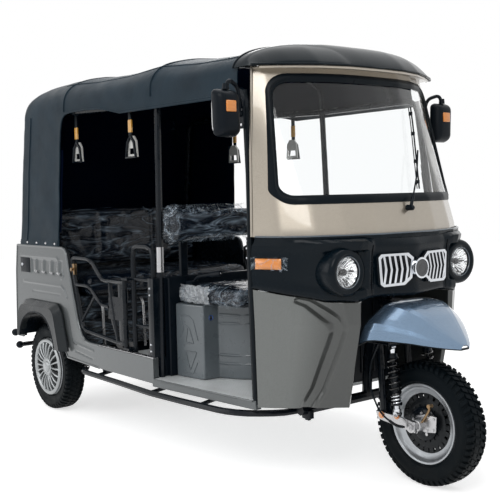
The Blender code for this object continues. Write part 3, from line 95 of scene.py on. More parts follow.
class Wiring:
    """Short calls for the nodes and links of one node tree."""

    def __init__(self, tree: bpy.types.NodeTree) -> None:
        """Keeps the node tree of a material or of a shader group."""
        self.tree = tree

    def add(self, kind: str, inputs: dict | None = None, **settings: object) -> bpy.types.Node:
        """Adds a node, sets its options and feeds its sockets.

        Args:
            kind: The node's type name.
            inputs: Values or sockets for its inputs, by name or number.
            settings: Properties of the node.

        Returns:
            The new node.
        """
        node = self.tree.nodes.new(kind)
        for key, value in settings.items():
            setattr(node, key, value)
        for key, value in (inputs or {}).items():
            self.feed(node.inputs[key], value)
        return node

    def feed(self, socket: bpy.types.NodeSocket, value: object) -> None:
        """Links a socket to the input, or sets the input's value.

        Args:
            socket: The node's input.
            value: A socket or a plain value.
        """
        if isinstance(value, bpy.types.NodeSocket):
            self.tree.links.new(value, socket)
        else:
            socket.default_value = value

    def math(self, operation: str, first: object, second: object = 0.0) -> bpy.types.NodeSocket:
        """Adds a Math node on two values or sockets, and gives its result."""
        return self.add("ShaderNodeMath", {0: first, 1: second}, operation=operation).outputs[0]

    def split(self, vector: object) -> bpy.types.bpy_prop_collection:
        """The X, Y and Z of a vector, as sockets."""
        return self.add("ShaderNodeSeparateXYZ", {"Vector": vector}).outputs

    def scaled(self, vector: object, factor: object) -> bpy.types.NodeSocket:
        """A vector or colour times a factor."""
        return self.add("ShaderNodeVectorMath", {0: vector, "Scale": factor}, operation="SCALE").outputs[0]

    def ranged(self, value: object, low: float, high: float, start: object, end: object) -> bpy.types.NodeSocket:
        """Maps a value from the range low to high onto start to end, held at both ends."""
        inputs = {"Value": value, "From Min": low, "From Max": high, "To Min": start, "To Max": end}
        return self.add("ShaderNodeMapRange", inputs).outputs["Result"]

    def mixed(self, share: object, first: object, second: object) -> bpy.types.NodeSocket:
        """Mixes two colours.

        Args:
            share: How much of the second colour.
            first: A colour or socket.
            second: A colour or socket.

        Returns:
            The mixed colour's socket.
        """
        node = self.add("ShaderNodeMix", data_type="RGBA")
        self.feed(node.inputs[0], share)
        self.feed(node.inputs[6], first)
        self.feed(node.inputs[7], second)
        return node.outputs[2]

    def noise(self, vector: object, scale: object, detail: float = 3.0, rough: float = 0.5) -> bpy.types.NodeSocket:
        """Adds a noise texture of so many waves a metre, octaves and strength of the fine ones."""
        inputs = {"Vector": vector, "Scale": scale, "Detail": detail, "Roughness": rough}
        return self.add("ShaderNodeTexNoise", inputs).outputs[0]


def shader_group(name: str, inputs: dict[str, float | None], output: str) -> tuple[Wiring, dict, object]:
    """Starts a shader node group that puts out one value.

    Args:
        name: The group's name.
        inputs: Its inputs with their defaults, where None stands for a vector.
        output: The name of its output.

    Returns:
        The group's wiring, its input sockets by name and its output node.
    """
    tree = bpy.data.node_groups.new(name, "ShaderNodeTree")
    for label, default in inputs.items():
        kind = "NodeSocketVector" if default is None else "NodeSocketFloat"
        socket = tree.interface.new_socket(label, in_out="INPUT", socket_type=kind)
        if default is not None:
            socket.default_value = default
    tree.interface.new_socket(output, in_out="OUTPUT", socket_type="NodeSocketFloat")
    wiring = Wiring(tree)
    start = wiring.add("NodeGroupInput")
    return wiring, {label: start.outputs[label] for label in inputs}, wiring.add("NodeGroupOutput")


class Effects:
    """The shader groups that several finishes share, each built once."""

    def __init__(self) -> None:
        """Builds every group."""
        self.cloudy = self._cloudy()
        self.grain = self._grain()
        self.dust = self._dust()
        self.flakes = self._flakes()
        self.weave = self._weave()
        self.crinkle = self._crinkle()

    @staticmethod
    def _cloudy() -> bpy.types.NodeTree:
        """Slow change of tone over a surface.

        Returns:
            The group.
        """
        wiring, inputs, end = shader_group(
            "cloudy_tone", {"Vector": None, "Scale": 4.0, "Low": 0.0, "High": 1.0}, "Tone",
        )
        cloud = wiring.noise(inputs["Vector"], inputs["Scale"], 4.0, 0.55)
        result = wiring.add("ShaderNodeMapRange", {"Value": cloud, "From Min": 0.3, "From Max": 0.7})
        wiring.feed(result.inputs["To Min"], inputs["Low"])
        wiring.feed(result.inputs["To Max"], inputs["High"])
        wiring.feed(end.inputs[0], result.outputs["Result"])
        return wiring.tree

    @staticmethod
    def _grain() -> bpy.types.NodeTree:
        """Pebbled grain of moulded plastic and of coated cloth.

        Returns:
            The group.
        """
        wiring, inputs, end = shader_group("pebble_grain", {"Vector": None, "Scale": 900.0}, "Height")
        cells = wiring.add(
            "ShaderNodeTexVoronoi", {"Vector": inputs["Vector"], "Scale": inputs["Scale"]}, feature="SMOOTH_F1",
        )
        fine = wiring.noise(inputs["Vector"], wiring.math("MULTIPLY", inputs["Scale"], 0.6), 3.0)
        wiring.feed(end.inputs[0], wiring.math("ADD", cells.outputs["Distance"], wiring.math("MULTIPLY", fine, 0.6)))
        return wiring.tree

    @staticmethod
    def _dust() -> bpy.types.NodeTree:
        """Road dust that thins out with the height above the ground.

        Returns:
            The group.
        """
        wiring, inputs, end = shader_group("road_dust", {"Vector": None, "Reach": 0.6, "Amount": 0.4}, "Mask")
        height = wiring.split(inputs["Vector"])["Z"]
        low = wiring.math("SUBTRACT", 1.0, wiring.math("DIVIDE", height, inputs["Reach"]))
        low = wiring.add("ShaderNodeClamp", {"Value": low}).outputs[0]
        patch = wiring.ranged(wiring.noise(inputs["Vector"], 14.0, 6.0, 0.65), 0.35, 0.75, 0.0, 1.0)
        wiring.feed(end.inputs[0], wiring.math("MULTIPLY", wiring.math("MULTIPLY", low, patch), inputs["Amount"]))
        return wiring.tree

    @staticmethod
    def _flakes() -> bpy.types.NodeTree:
        """Random brightness of the flakes in metallic paint.

        Returns:
            The group.
        """
        wiring, inputs, end = shader_group("paint_flakes", {"Vector": None, "Scale": 1200.0}, "Brightness")
        cells = wiring.add("ShaderNodeTexVoronoi", {"Vector": inputs["Vector"], "Scale": inputs["Scale"]})
        split = wiring.add("ShaderNodeSeparateColor", {"Color": cells.outputs["Color"]})
        wiring.feed(end.inputs[0], split.outputs[0])
        return wiring.tree

    @staticmethod
    def _weave() -> bpy.types.NodeTree:
        """Backing threads that press through a coated cloth.

        Returns:
            The group.
        """
        wiring, inputs, end = shader_group("thread_weave", {"Vector": None, "Scale": 700.0}, "Height")
        split = wiring.split(inputs["Vector"])
        phases = [wiring.math("MULTIPLY", split[axis], inputs["Scale"]) for axis in "XYZ"]
        waves = [wiring.math("ABSOLUTE", wiring.math("SINE", phase)) for phase in phases]
        both = wiring.math("MULTIPLY", waves[0], waves[2])
        wiring.feed(end.inputs[0], wiring.math("ADD", both, wiring.math("MULTIPLY", waves[1], 0.5)))
        return wiring.tree

    @staticmethod
    def _crinkle() -> bpy.types.NodeTree:
        """Sharp folds of thin packing film.

        Returns:
            The group.
        """
        wiring, inputs, end = shader_group("film_crinkle", {"Vector": None, "Scale": 9.0}, "Height")
        bent = wiring.add("ShaderNodeTexNoise", {"Vector": inputs["Vector"], "Scale": 3.0, "Detail": 2.0})
        moved = wiring.add("ShaderNodeVectorMath", {0: inputs["Vector"], 1: bent.outputs["Color"]}, operation="ADD")
        total: object = 0.0
        for share, factor in ((1.0, 1.0), (0.5, 2.3), (0.25, 5.1)):
            cloud = wiring.noise(moved.outputs[0], wiring.math("MULTIPLY", inputs["Scale"], factor), 1.0)
            ridge = wiring.math("ABSOLUTE", wiring.math("SUBTRACT", cloud, 0.5))
            total = wiring.math("ADD", total, wiring.math("MULTIPLY", ridge, share * 2.0))
        wiring.feed(end.inputs[0], total)
        return wiring.tree


EFFECTS = Effects()


class Surface(Wiring):
    """The wiring of one finish's material, which ends at its Principled shader."""

    def __init__(self, material: bpy.types.Material) -> None:
        """Finds the shader and adds the socket with the place on the object.

        Args:
            material: The material.
        """
        super().__init__(material.node_tree)
        self.shader = self.tree.nodes["Principled BSDF"]
        coordinates = self.add("ShaderNodeTexCoord").outputs["Object"]
        self.place = self.add("ShaderNodeMapping", {"Vector": coordinates}).outputs[0]

    def show(self, **values: object) -> None:
        """Feeds values or sockets to the shader's inputs, named with _ for each blank."""
        for key, value in values.items():
            self.feed(self.shader.inputs[key.replace("_", " ")], value)

    def effect(self, tree: bpy.types.NodeTree, **inputs: object) -> bpy.types.NodeSocket:
        """Places a shared shader group.

        Args:
            tree: The group.
            inputs: Its values or sockets by name, where the place is the usual Vector.

        Returns:
            The group's output.
        """
        node = self.add("ShaderNodeGroup", node_tree=tree)
        for key, value in {"Vector": self.place, **inputs}.items():
            self.feed(node.inputs[key], value)
        return node.outputs[0]

    def bump(self, height: object, depth: float, strength: float = 1.0) -> None:
        """Feeds a height to the shader's normal, where a height of 1 is so many metres deep."""
        node = self.add("ShaderNodeBump", {"Height": height, "Distance": depth, "Strength": strength})
        self.show(Normal=node.outputs[0])


@dataclass(frozen=True)
class Finish:
    """A surface finish. Its subclasses add what their surface shows."""

    name: str
    slot: str
    colour: Colour
    roughness: float = 0.5
    metallic: float = 0.0
    coat: float = 0.0
    coat_roughness: float = 0.05
    specular: float = 0.5
    dust: float = 0.0
    dust_reach: float = 0.7

    def material(self) -> bpy.types.Material:
        """The finish's material, built on its first use.

        Returns:
            The material.
        """
        known = bpy.data.materials.get(self.name)
        if known is not None:
            return known
        made = bpy.data.materials.new(self.name)
        made.use_nodes = True
        made.diffuse_color = (*self.colour, 1.0)
        on = Surface(made)
        on.show(
            Metallic=self.metallic, Roughness=self.roughness, Specular_IOR_Level=self.specular, Coat_Weight=self.coat,
            Coat_Roughness=self.coat_roughness,
        )
        self.dress(on)
        return made

    def tinted(self, on: Surface, spread: float = 0.12, scale: float = 3.0) -> bpy.types.NodeSocket:
        """The colour with slow change of tone and with road dust.

        Args:
            on: The surface that is wired.
            spread: How far the tone changes.
            scale: Waves a metre of the change.

        Returns:
            The colour's socket.
        """
        tone = on.effect(EFFECTS.cloudy, Scale=scale, Low=1.0 - spread, High=1.0 + spread)
        scaled = on.scaled(self.colour, tone)
        if not self.dust:
            return scaled
        mask = on.effect(EFFECTS.dust, Reach=self.dust_reach, Amount=self.dust)
        return on.mixed(mask, scaled, DUST_COLOUR)

    def worn(self, on: Surface, scale: float, low: float, high: float) -> None:
        """Lets the roughness change slowly between two shares of its value, in so many waves a metre."""
        limits = {"Low": self.roughness * low, "High": self.roughness * high}
        on.show(Roughness=on.effect(EFFECTS.cloudy, Scale=scale, **limits))

    def cover(self, piece: bpy.types.Object, body: str, replaces: Sequence[str] = ()) -> None:
        """Puts the finish on a piece, and says its body and the nodes that it stands for.

        Args:
            piece: The piece.
            body: The name of its body.
            replaces: Nodes that it stands for.
        """
        piece.data.materials.append(self.material())
        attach(piece, body)
        if replaces:
            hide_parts(*replaces)
        LOG.info("%s: %d faces in %s", piece.name, len(piece.data.polygons), self.name)

    def dress(self, on: Surface) -> None:
        """Wires the plain surface."""
        on.show(Base_Color=self.tinted(on))
        self.worn(on, 22.0, 0.8, 1.25)


@dataclass(frozen=True)
class MetallicPaint(Finish):
    """Clear-coated paint with fine flakes."""

    flake: float = 0.25
    ripple: float = 0.10

    def dress(self, on: Surface) -> None:
        """Adds flakes to the colour, and the slight waves of a painted sheet.

        Args:
            on: The surface that is wired.
        """
        colour = self.tinted(on, 0.04, 1.6)
        bright = on.effect(EFFECTS.flakes, Scale=1400.0)
        factor = on.ranged(bright, 0.0, 1.0, 1.0 - self.flake, 1.0 + self.flake)
        on.show(Base_Color=on.scaled(colour, factor))
        on.bump(on.noise(on.place, 7.0, 2.0), 0.0012, self.ripple)


@dataclass(frozen=True)
class ShadedPaint(MetallicPaint):
    """Paint with painted shade: darker towards the wheel well, in the middle of the vehicle."""

    unshaded_from: float = 0.475
    dark_from: float = 0.375
    darkest: float = 0.42

    def dress(self, on: Surface) -> None:
        """Darkens the paint by how near the wheel it is, as painted shade.

        Args:
            on: The surface that is wired.
        """
        super().dress(on)
        paint = on.shader.inputs["Base Color"].links[0].from_socket
        across = on.math("ABSOLUTE", on.split(on.place)["Y"])
        # Painted shade: the paint darkens towards the middle of the vehicle.
        factor = on.ranged(across, self.dark_from, self.unshaded_from, self.darkest, 1.0)
        on.show(Base_Color=on.scaled(paint, factor))


@dataclass(frozen=True)
class Moulded(Finish):
    """Moulded plastic or rubber with a pebbled grain."""

    grain_scale: float = 900.0
    grain_depth: float = 0.0003

    def dress(self, on: Surface) -> None:
        """Adds the grain to the plain surface.

        Args:
            on: The surface that is wired.
        """
        super().dress(on)
        grain = on.effect(EFFECTS.grain, Scale=self.grain_scale)
        on.bump(grain, self.grain_depth, 0.5)


@dataclass(frozen=True)
class Cloth(Finish):
    """Coated cloth with a leather grain over its threads."""

    grain_scale: float = 420.0
    grain_depth: float = 0.0006

    def dress(self, on: Surface) -> None:
        """Adds worn tones, grain and threads.

        Args:
            on: The surface that is wired.
        """
        on.show(Base_Color=self.tinted(on, 0.22, 5.0))
        self.worn(on, 9.0, 0.85, 1.15)
        grain = on.effect(EFFECTS.grain, Scale=self.grain_scale)
        threads = on.effect(EFFECTS.weave, Scale=1300.0)
        slack = on.noise(on.place, 16.0, 3.0)
        height = on.math("ADD", grain, on.math("MULTIPLY", threads, 0.25))
        height = on.math("ADD", height, on.math("MULTIPLY", slack, 3.0))
        on.bump(height, self.grain_depth, 0.6)


@dataclass(frozen=True)
class FilmedSeat(Finish):
    """Seat vinyl under clear packing film, whose folds are painted pale: partly the film's milky whitening, partly
    painted highlight.
    """

    fold_scale: float = 6.0

    def dress(self, on: Surface) -> None:
        """Adds pale patches along the folds, partly milky film and partly painted highlight, and sharp folds under a
        glossy coat.

        Args:
            on: The surface that is wired.
        """
        streaks = on.add(
            "ShaderNodeMapping", {"Vector": on.place, "Rotation": (0.5, 0.2, 0.3), "Scale": (1.2, 0.42, 1.7)},
        )
        folds = on.effect(EFFECTS.crinkle, Vector=streaks.outputs[0], Scale=self.fold_scale)
        ridge = on.math("POWER", on.ranged(folds, 0.36, 0.0, 0.0, 1.0), 3.2)
        patch = on.effect(EFFECTS.cloudy, Scale=5.0, Low=0.10, High=1.0)
        milky_and_highlight = on.math("MULTIPLY", ridge, patch)
        # Pale along the fold ridges: partly milky film, partly painted highlight.
        pale = on.mixed(milky_and_highlight, self.tinted(on), (0.42, 0.54, 0.66, 1.0))
        on.show(Base_Color=pale)
        on.bump(folds, 0.022, 1.0)


@dataclass(frozen=True)
class Glass(Finish):
    """Clear pane."""

    clear: float = 0.93
    bend: float = 1.45

    def dress(self, on: Surface) -> None:
        """Makes the pane see-through, with faint smears.

        Args:
            on: The surface that is wired.
        """
        on.show(Base_Color=(*self.colour, 1.0))
        on.show(Transmission_Weight=self.clear)
        on.show(IOR=self.bend)
        self.worn(on, 6.0, 0.5, 1.6)


@dataclass(frozen=True)
class Lens(Finish):
    """Coloured lamp plastic with fine moulded ribs."""

    ribs: float = 420.0

    def dress(self, on: Surface) -> None:
        """Adds the ribs to the plain surface.

        Args:
            on: The surface that is wired.
        """
        super().dress(on)
        wave = on.math("SINE", on.math("MULTIPLY", on.split(on.place)["Z"], self.ribs))
        on.bump(wave, 0.0006, 0.6)


@dataclass(frozen=True)
class Film(Finish):
    """Thin clear packing film, solid and pale along its folds: partly milky film, partly painted highlight."""

    fold_scale: float = 9.0
    clear_alpha: float = 0.10
    fold_alpha: float = 0.60

    def dress(self, on: Surface) -> None:
        """Makes the film more solid along its folds.

        Args:
            on: The surface that is wired.
        """
        folds = on.effect(EFFECTS.crinkle, Scale=self.fold_scale)
        ridge = on.ranged(folds, 0.34, 0.04, 0.0, 1.0)
        patch = on.effect(EFFECTS.cloudy, Scale=5.0, Low=0.25, High=1.0)
        mask = on.math("MULTIPLY", on.math("MULTIPLY", ridge, ridge), patch)
        on.show(Alpha=on.ranged(mask, 0.0, 1.0, self.clear_alpha, self.fold_alpha))
        # The pale colour shows where the folds make the film solid: partly milky film, partly painted highlight.
        on.show(Base_Color=self.tinted(on, 0.08, 8.0))
        on.bump(folds, 0.010, 0.9)


@dataclass(frozen=True)
class Reflector(Finish):
    """Polished bowl with painted reflections: its flutes are painted bright and dark in turn."""

    lamp_y: float = 0.350
    lamp_z: float = 0.906
    flutes: float = 22.0

    def dress(self, on: Surface) -> None:
        """Paints every second flute dark, and some more by chance, as painted reflections.

        Args:
            on: The surface that is wired.
        """
        split = on.split(on.place)
        across = on.math("SUBTRACT", on.math("ABSOLUTE", split["Y"]), self.lamp_y)
        up = on.math("SUBTRACT", split["Z"], self.lamp_z)
        angle = on.math("ARCTAN2", up, across)
        wave = on.math("SINE", on.math("MULTIPLY", angle, self.flutes))
        chance = on.noise(on.place, 46.0, 2.0)
        mixed = on.math("ADD", on.math("MULTIPLY", wave, 0.5), on.ranged(chance, 0.38, 0.62, -0.9, 1.0))
        share = on.ranged(mixed, -1.15, -0.35, 1.0, 0.0)
        # Painted reflection: the dark share of the bowl takes a dark grey in place of the chrome colour.
        on.show(Base_Color=on.mixed(share, (*self.colour, 1.0), (0.10, 0.12, 0.13, 1.0)))
        on.bump(wave, 0.0008, 0.5)


@dataclass(frozen=True)
class Deck(Finish):
    """Chequer plate: short raised bars, each turned across the next."""

    pitch: float = 0.016

    def dress(self, on: Surface) -> None:
        """Raises the bars and paints them paler than the sheet between them, as painted highlight.

        Args:
            on: The surface that is wired.
        """
        split = on.split(on.place)
        a, b = (
            on.math("ABSOLUTE", on.math("SINE", on.math("MULTIPLY", diagonal, math.pi / self.pitch)))
            for diagonal in (on.math(operation, split["X"], split["Y"]) for operation in ("ADD", "SUBTRACT"))
        )
        bars = on.math("MULTIPLY", on.math("POWER", a, 3.0), b)
        raised = on.ranged(bars, 0.30, 0.60, 0.0, 1.0)
        colour = self.tinted(on, 0.10, 6.0)
        # Painted highlight: the raised bars are mixed halfway to a pale grey.
        on.show(Base_Color=on.mixed(on.math("MULTIPLY", raised, 0.5), colour, (0.85, 0.88, 0.88, 1.0)))
        on.bump(raised, 0.0012, 1.0)


@dataclass(frozen=True)
class Mesh(Finish):
    """A moulded grid of small round holes."""

    pitch: float = 0.006

    def dress(self, on: Surface) -> None:
        """Paints the holes near black, as painted shade behind them, and sinks them.

        Args:
            on: The surface that is wired.
        """
        cells = on.add("ShaderNodeTexVoronoi", {"Vector": on.place, "Scale": 1.0 / self.pitch, "Randomness": 0.0})
        hole = on.ranged(cells.outputs["Distance"], 0.28, 0.36, 0.0, 1.0)
        on.show(Base_Color=on.mixed(hole, (0.001, 0.001, 0.001, 1.0), (*self.colour, 1.0)))
        on.bump(hole, 0.0015, 1.0)


CHAMPAGNE = MetallicPaint("champagne_metallic", "champagne_paint", (0.372, 0.330, 0.272), 0.33, 0.70, 1.0, 0.04)
# The grey of the quarters, sills and tail is a darker copy of the panels' grey paint: the difference is painted shade.
GREY_WITH_PAINTED_SHADE = MetallicPaint("warm_grey_metallic", "grey_paint", (0.082, 0.092, 0.096), 0.33, 0.55, 0.6, 0.05, dust=0.05)
PANEL_GREY = ShadedPaint("panel_grey_metallic", "grey_paint", (0.118, 0.126, 0.122), 0.33, 0.60, 0.7, 0.05, dust=0.05)
FENDER_BLUE = MetallicPaint("silver_blue_metallic", "fender_paint", (0.158, 0.245, 0.360), 0.27, 0.75, 1.0, 0.03)
BAND_BLACK = Moulded(
    "satin_band_plastic", "black_plastic", (0.0020, 0.0060, 0.0100), 0.24, 0.0, 0.06, 0.08, specular=0.10,
    grain_depth=0.00004,
)
SATIN_BLACK = Moulded("satin_black_plastic", "black_plastic", (0.003, 0.006, 0.010), 0.34, specular=0.12)
FLARE_BLACK = Moulded(
    "flare_plastic", "black_plastic", (0.012, 0.016, 0.019), 0.30, 0.0, 0.1, 0.12, specular=0.22, dust=0.06,
    grain_depth=0.00010,
)
SHADOW_GAP = Finish("shadow_gap", "black_plastic", (0.003, 0.003, 0.004), 0.7, specular=0.1)
# A black gloss moulding painted grey-blue: the paleness is painted highlight.
GLOSS_TRIM_PAINTED_HIGHLIGHT = Finish("gloss_trim", "black_gloss", (0.090, 0.115, 0.140), 0.20, 0.0, 0.5, 0.03)
GLOSS_BLACK = Finish("gloss_black_cap", "black_gloss", (0.002, 0.007, 0.011), 0.18, 0.0, 0.10, 0.02, specular=0.08)
BADGE_BLACK = Finish("badge_black", "black_gloss", (0.020, 0.022, 0.026), 0.16, 0.2, 0.6, 0.02)
FRAME_BLACK = Moulded(
    "black_enamel", "black_paint", (0.003, 0.006, 0.010), 0.26, 0.0, 0.15, 0.06, specular=0.12, dust=0.04,
    grain_depth=0.00006,
)
COIL_BLACK = Finish("coil_black", "black_paint", (0.004, 0.004, 0.005), 0.22, 0.0, 0.6, 0.05, specular=0.25)
SOFT_RUBBER = Moulded("black_rubber", "rubber", (0.003, 0.006, 0.009), 0.38, specular=0.12)
SEAL_RUBBER = Moulded("seal_rubber", "rubber", (0.0020, 0.0050, 0.0080), 0.34, specular=0.10, grain_depth=0.00005)
TYRE_RUBBER = Moulded("tyre_rubber", "tyre", (0.0030, 0.0055, 0.0075), 0.50, specular=0.06, dust=0.05, dust_reach=0.4)
RIM_SILVER = Finish("bright_rim", "rim_silver", (0.40, 0.42, 0.44), 0.36, 0.80, 0.15)
RIM_DARK = Finish("rim_disc_paint", "rim_silver", (0.012, 0.014, 0.016), 0.36, 0.3, specular=0.25)
CAP_SILVER = Finish("bright_hub_cap", "cap_silver", (0.37, 0.39, 0.40), 0.30, 0.75, 0.4, dust=0.10)
CAP_SHADE = Finish("cap_shade", "cap_silver", (0.030, 0.031, 0.033), 0.55, 0.2)
CHROME = Finish("bright_chrome", "chrome", (0.60, 0.62, 0.65), 0.14, 1.0)
MIRROR_SILVER = Finish("mirror_silver", "chrome", (0.88, 0.89, 0.90), 0.03, 1.0)
REFLECTOR = Reflector("lamp_reflector", "chrome", (0.90, 0.91, 0.92), 0.10, 1.0)
STEEL = Finish("plated_steel", "steel", (0.48, 0.48, 0.49), 0.28, 1.0, dust=0.1)
COPPER_BOLT = Finish("copper_toned_bolt", "steel", (0.58, 0.30, 0.17), 0.28, 1.0)
BRASS = Finish("brass_toned_plating", "steel", (0.30, 0.20, 0.11), 0.32, 1.0)
LOCK_BLUE = Finish("lock_ring_blue", "steel", (0.05, 0.13, 0.42), 0.3, 0.4)
SCREEN_GLASS = Glass("clear_windscreen", "screen_glass", (0.955, 0.975, 0.980), 0.01, clear=1.0, bend=1.30)
LAMP_GLASS = Glass("clear_lamp_lens", "lamp_glass", (0.99, 0.99, 0.99), 0.01, clear=1.0, bend=1.30)
AMBER = Lens("amber_lens", "lamp_glass", (0.85, 0.27, 0.02), 0.16, 0.0, 1.0, 0.03)
TAIL_RED = Lens("tail_red_lens", "lamp_glass", (0.48, 0.012, 0.012), 0.16, 0.0, 1.0, 0.03)
CANOPY_CLOTH = Cloth("canopy_coated_cloth", "canopy_cloth", (0.0120, 0.0250, 0.0370), 0.36, specular=0.07)
THREAD = Finish("canopy_thread", "canopy_cloth", (0.040, 0.058, 0.074), 0.7, specular=0.2)
# Near black with no gloss: painted shade under the roof.
LINING_PAINTED_SHADE = Finish("canopy_lining", "canopy_cloth", (0.0015, 0.0035, 0.0110), 1.0, specular=0.0)
SEAT_VINYL = FilmedSeat("filmed_seat", "seat_vinyl", (0.003, 0.007, 0.015), 0.18, 0.0, 0.4, 0.05, specular=0.2)
BENCH_BLACK = FilmedSeat("bench_under_film", "seat_vinyl", (0.0025, 0.005, 0.009), 0.20, 0.0, 0.35, 0.06, specular=0.2)
CLEAR_FILM = Film(
    "clear_packing_film", "seat_vinyl", (0.46, 0.56, 0.66), 0.10, 0.0, 1.0, 0.03, clear_alpha=0.02, fold_alpha=0.75,
)
WHITE_FILM = Film(
    "bunched_packing_film", "seat_vinyl", (0.66, 0.70, 0.74), 0.20, 0.0, 1.0, 0.05, fold_scale=16.0, clear_alpha=0.45,
    fold_alpha=0.97,
)
SEAT_BOX = Moulded(
    "seat_box_plastic", "seat_box_grey", (0.112, 0.132, 0.145), 0.30, 0.0, 0.25, 0.12, grain_scale=500.0,
    grain_depth=0.0001,
)
DECK = Deck("deck_aluminium", "deck_plate", (0.86, 0.89, 0.90), 0.32, 0.15, dust=0.04, dust_reach=0.6)
HANDLE_WHITE = Finish("handle_plastic", "black_plastic", (0.62, 0.62, 0.60), 0.25, 0.0, 0.6)
SLEEVE_AMBER = Finish("handle_sleeve", "black_plastic", (0.72, 0.36, 0.05), 0.30, 0.0, 0.8)
GRILLE_MESH = Mesh("grille_mesh", "black_plastic", (0.030, 0.032, 0.036), 0.35)


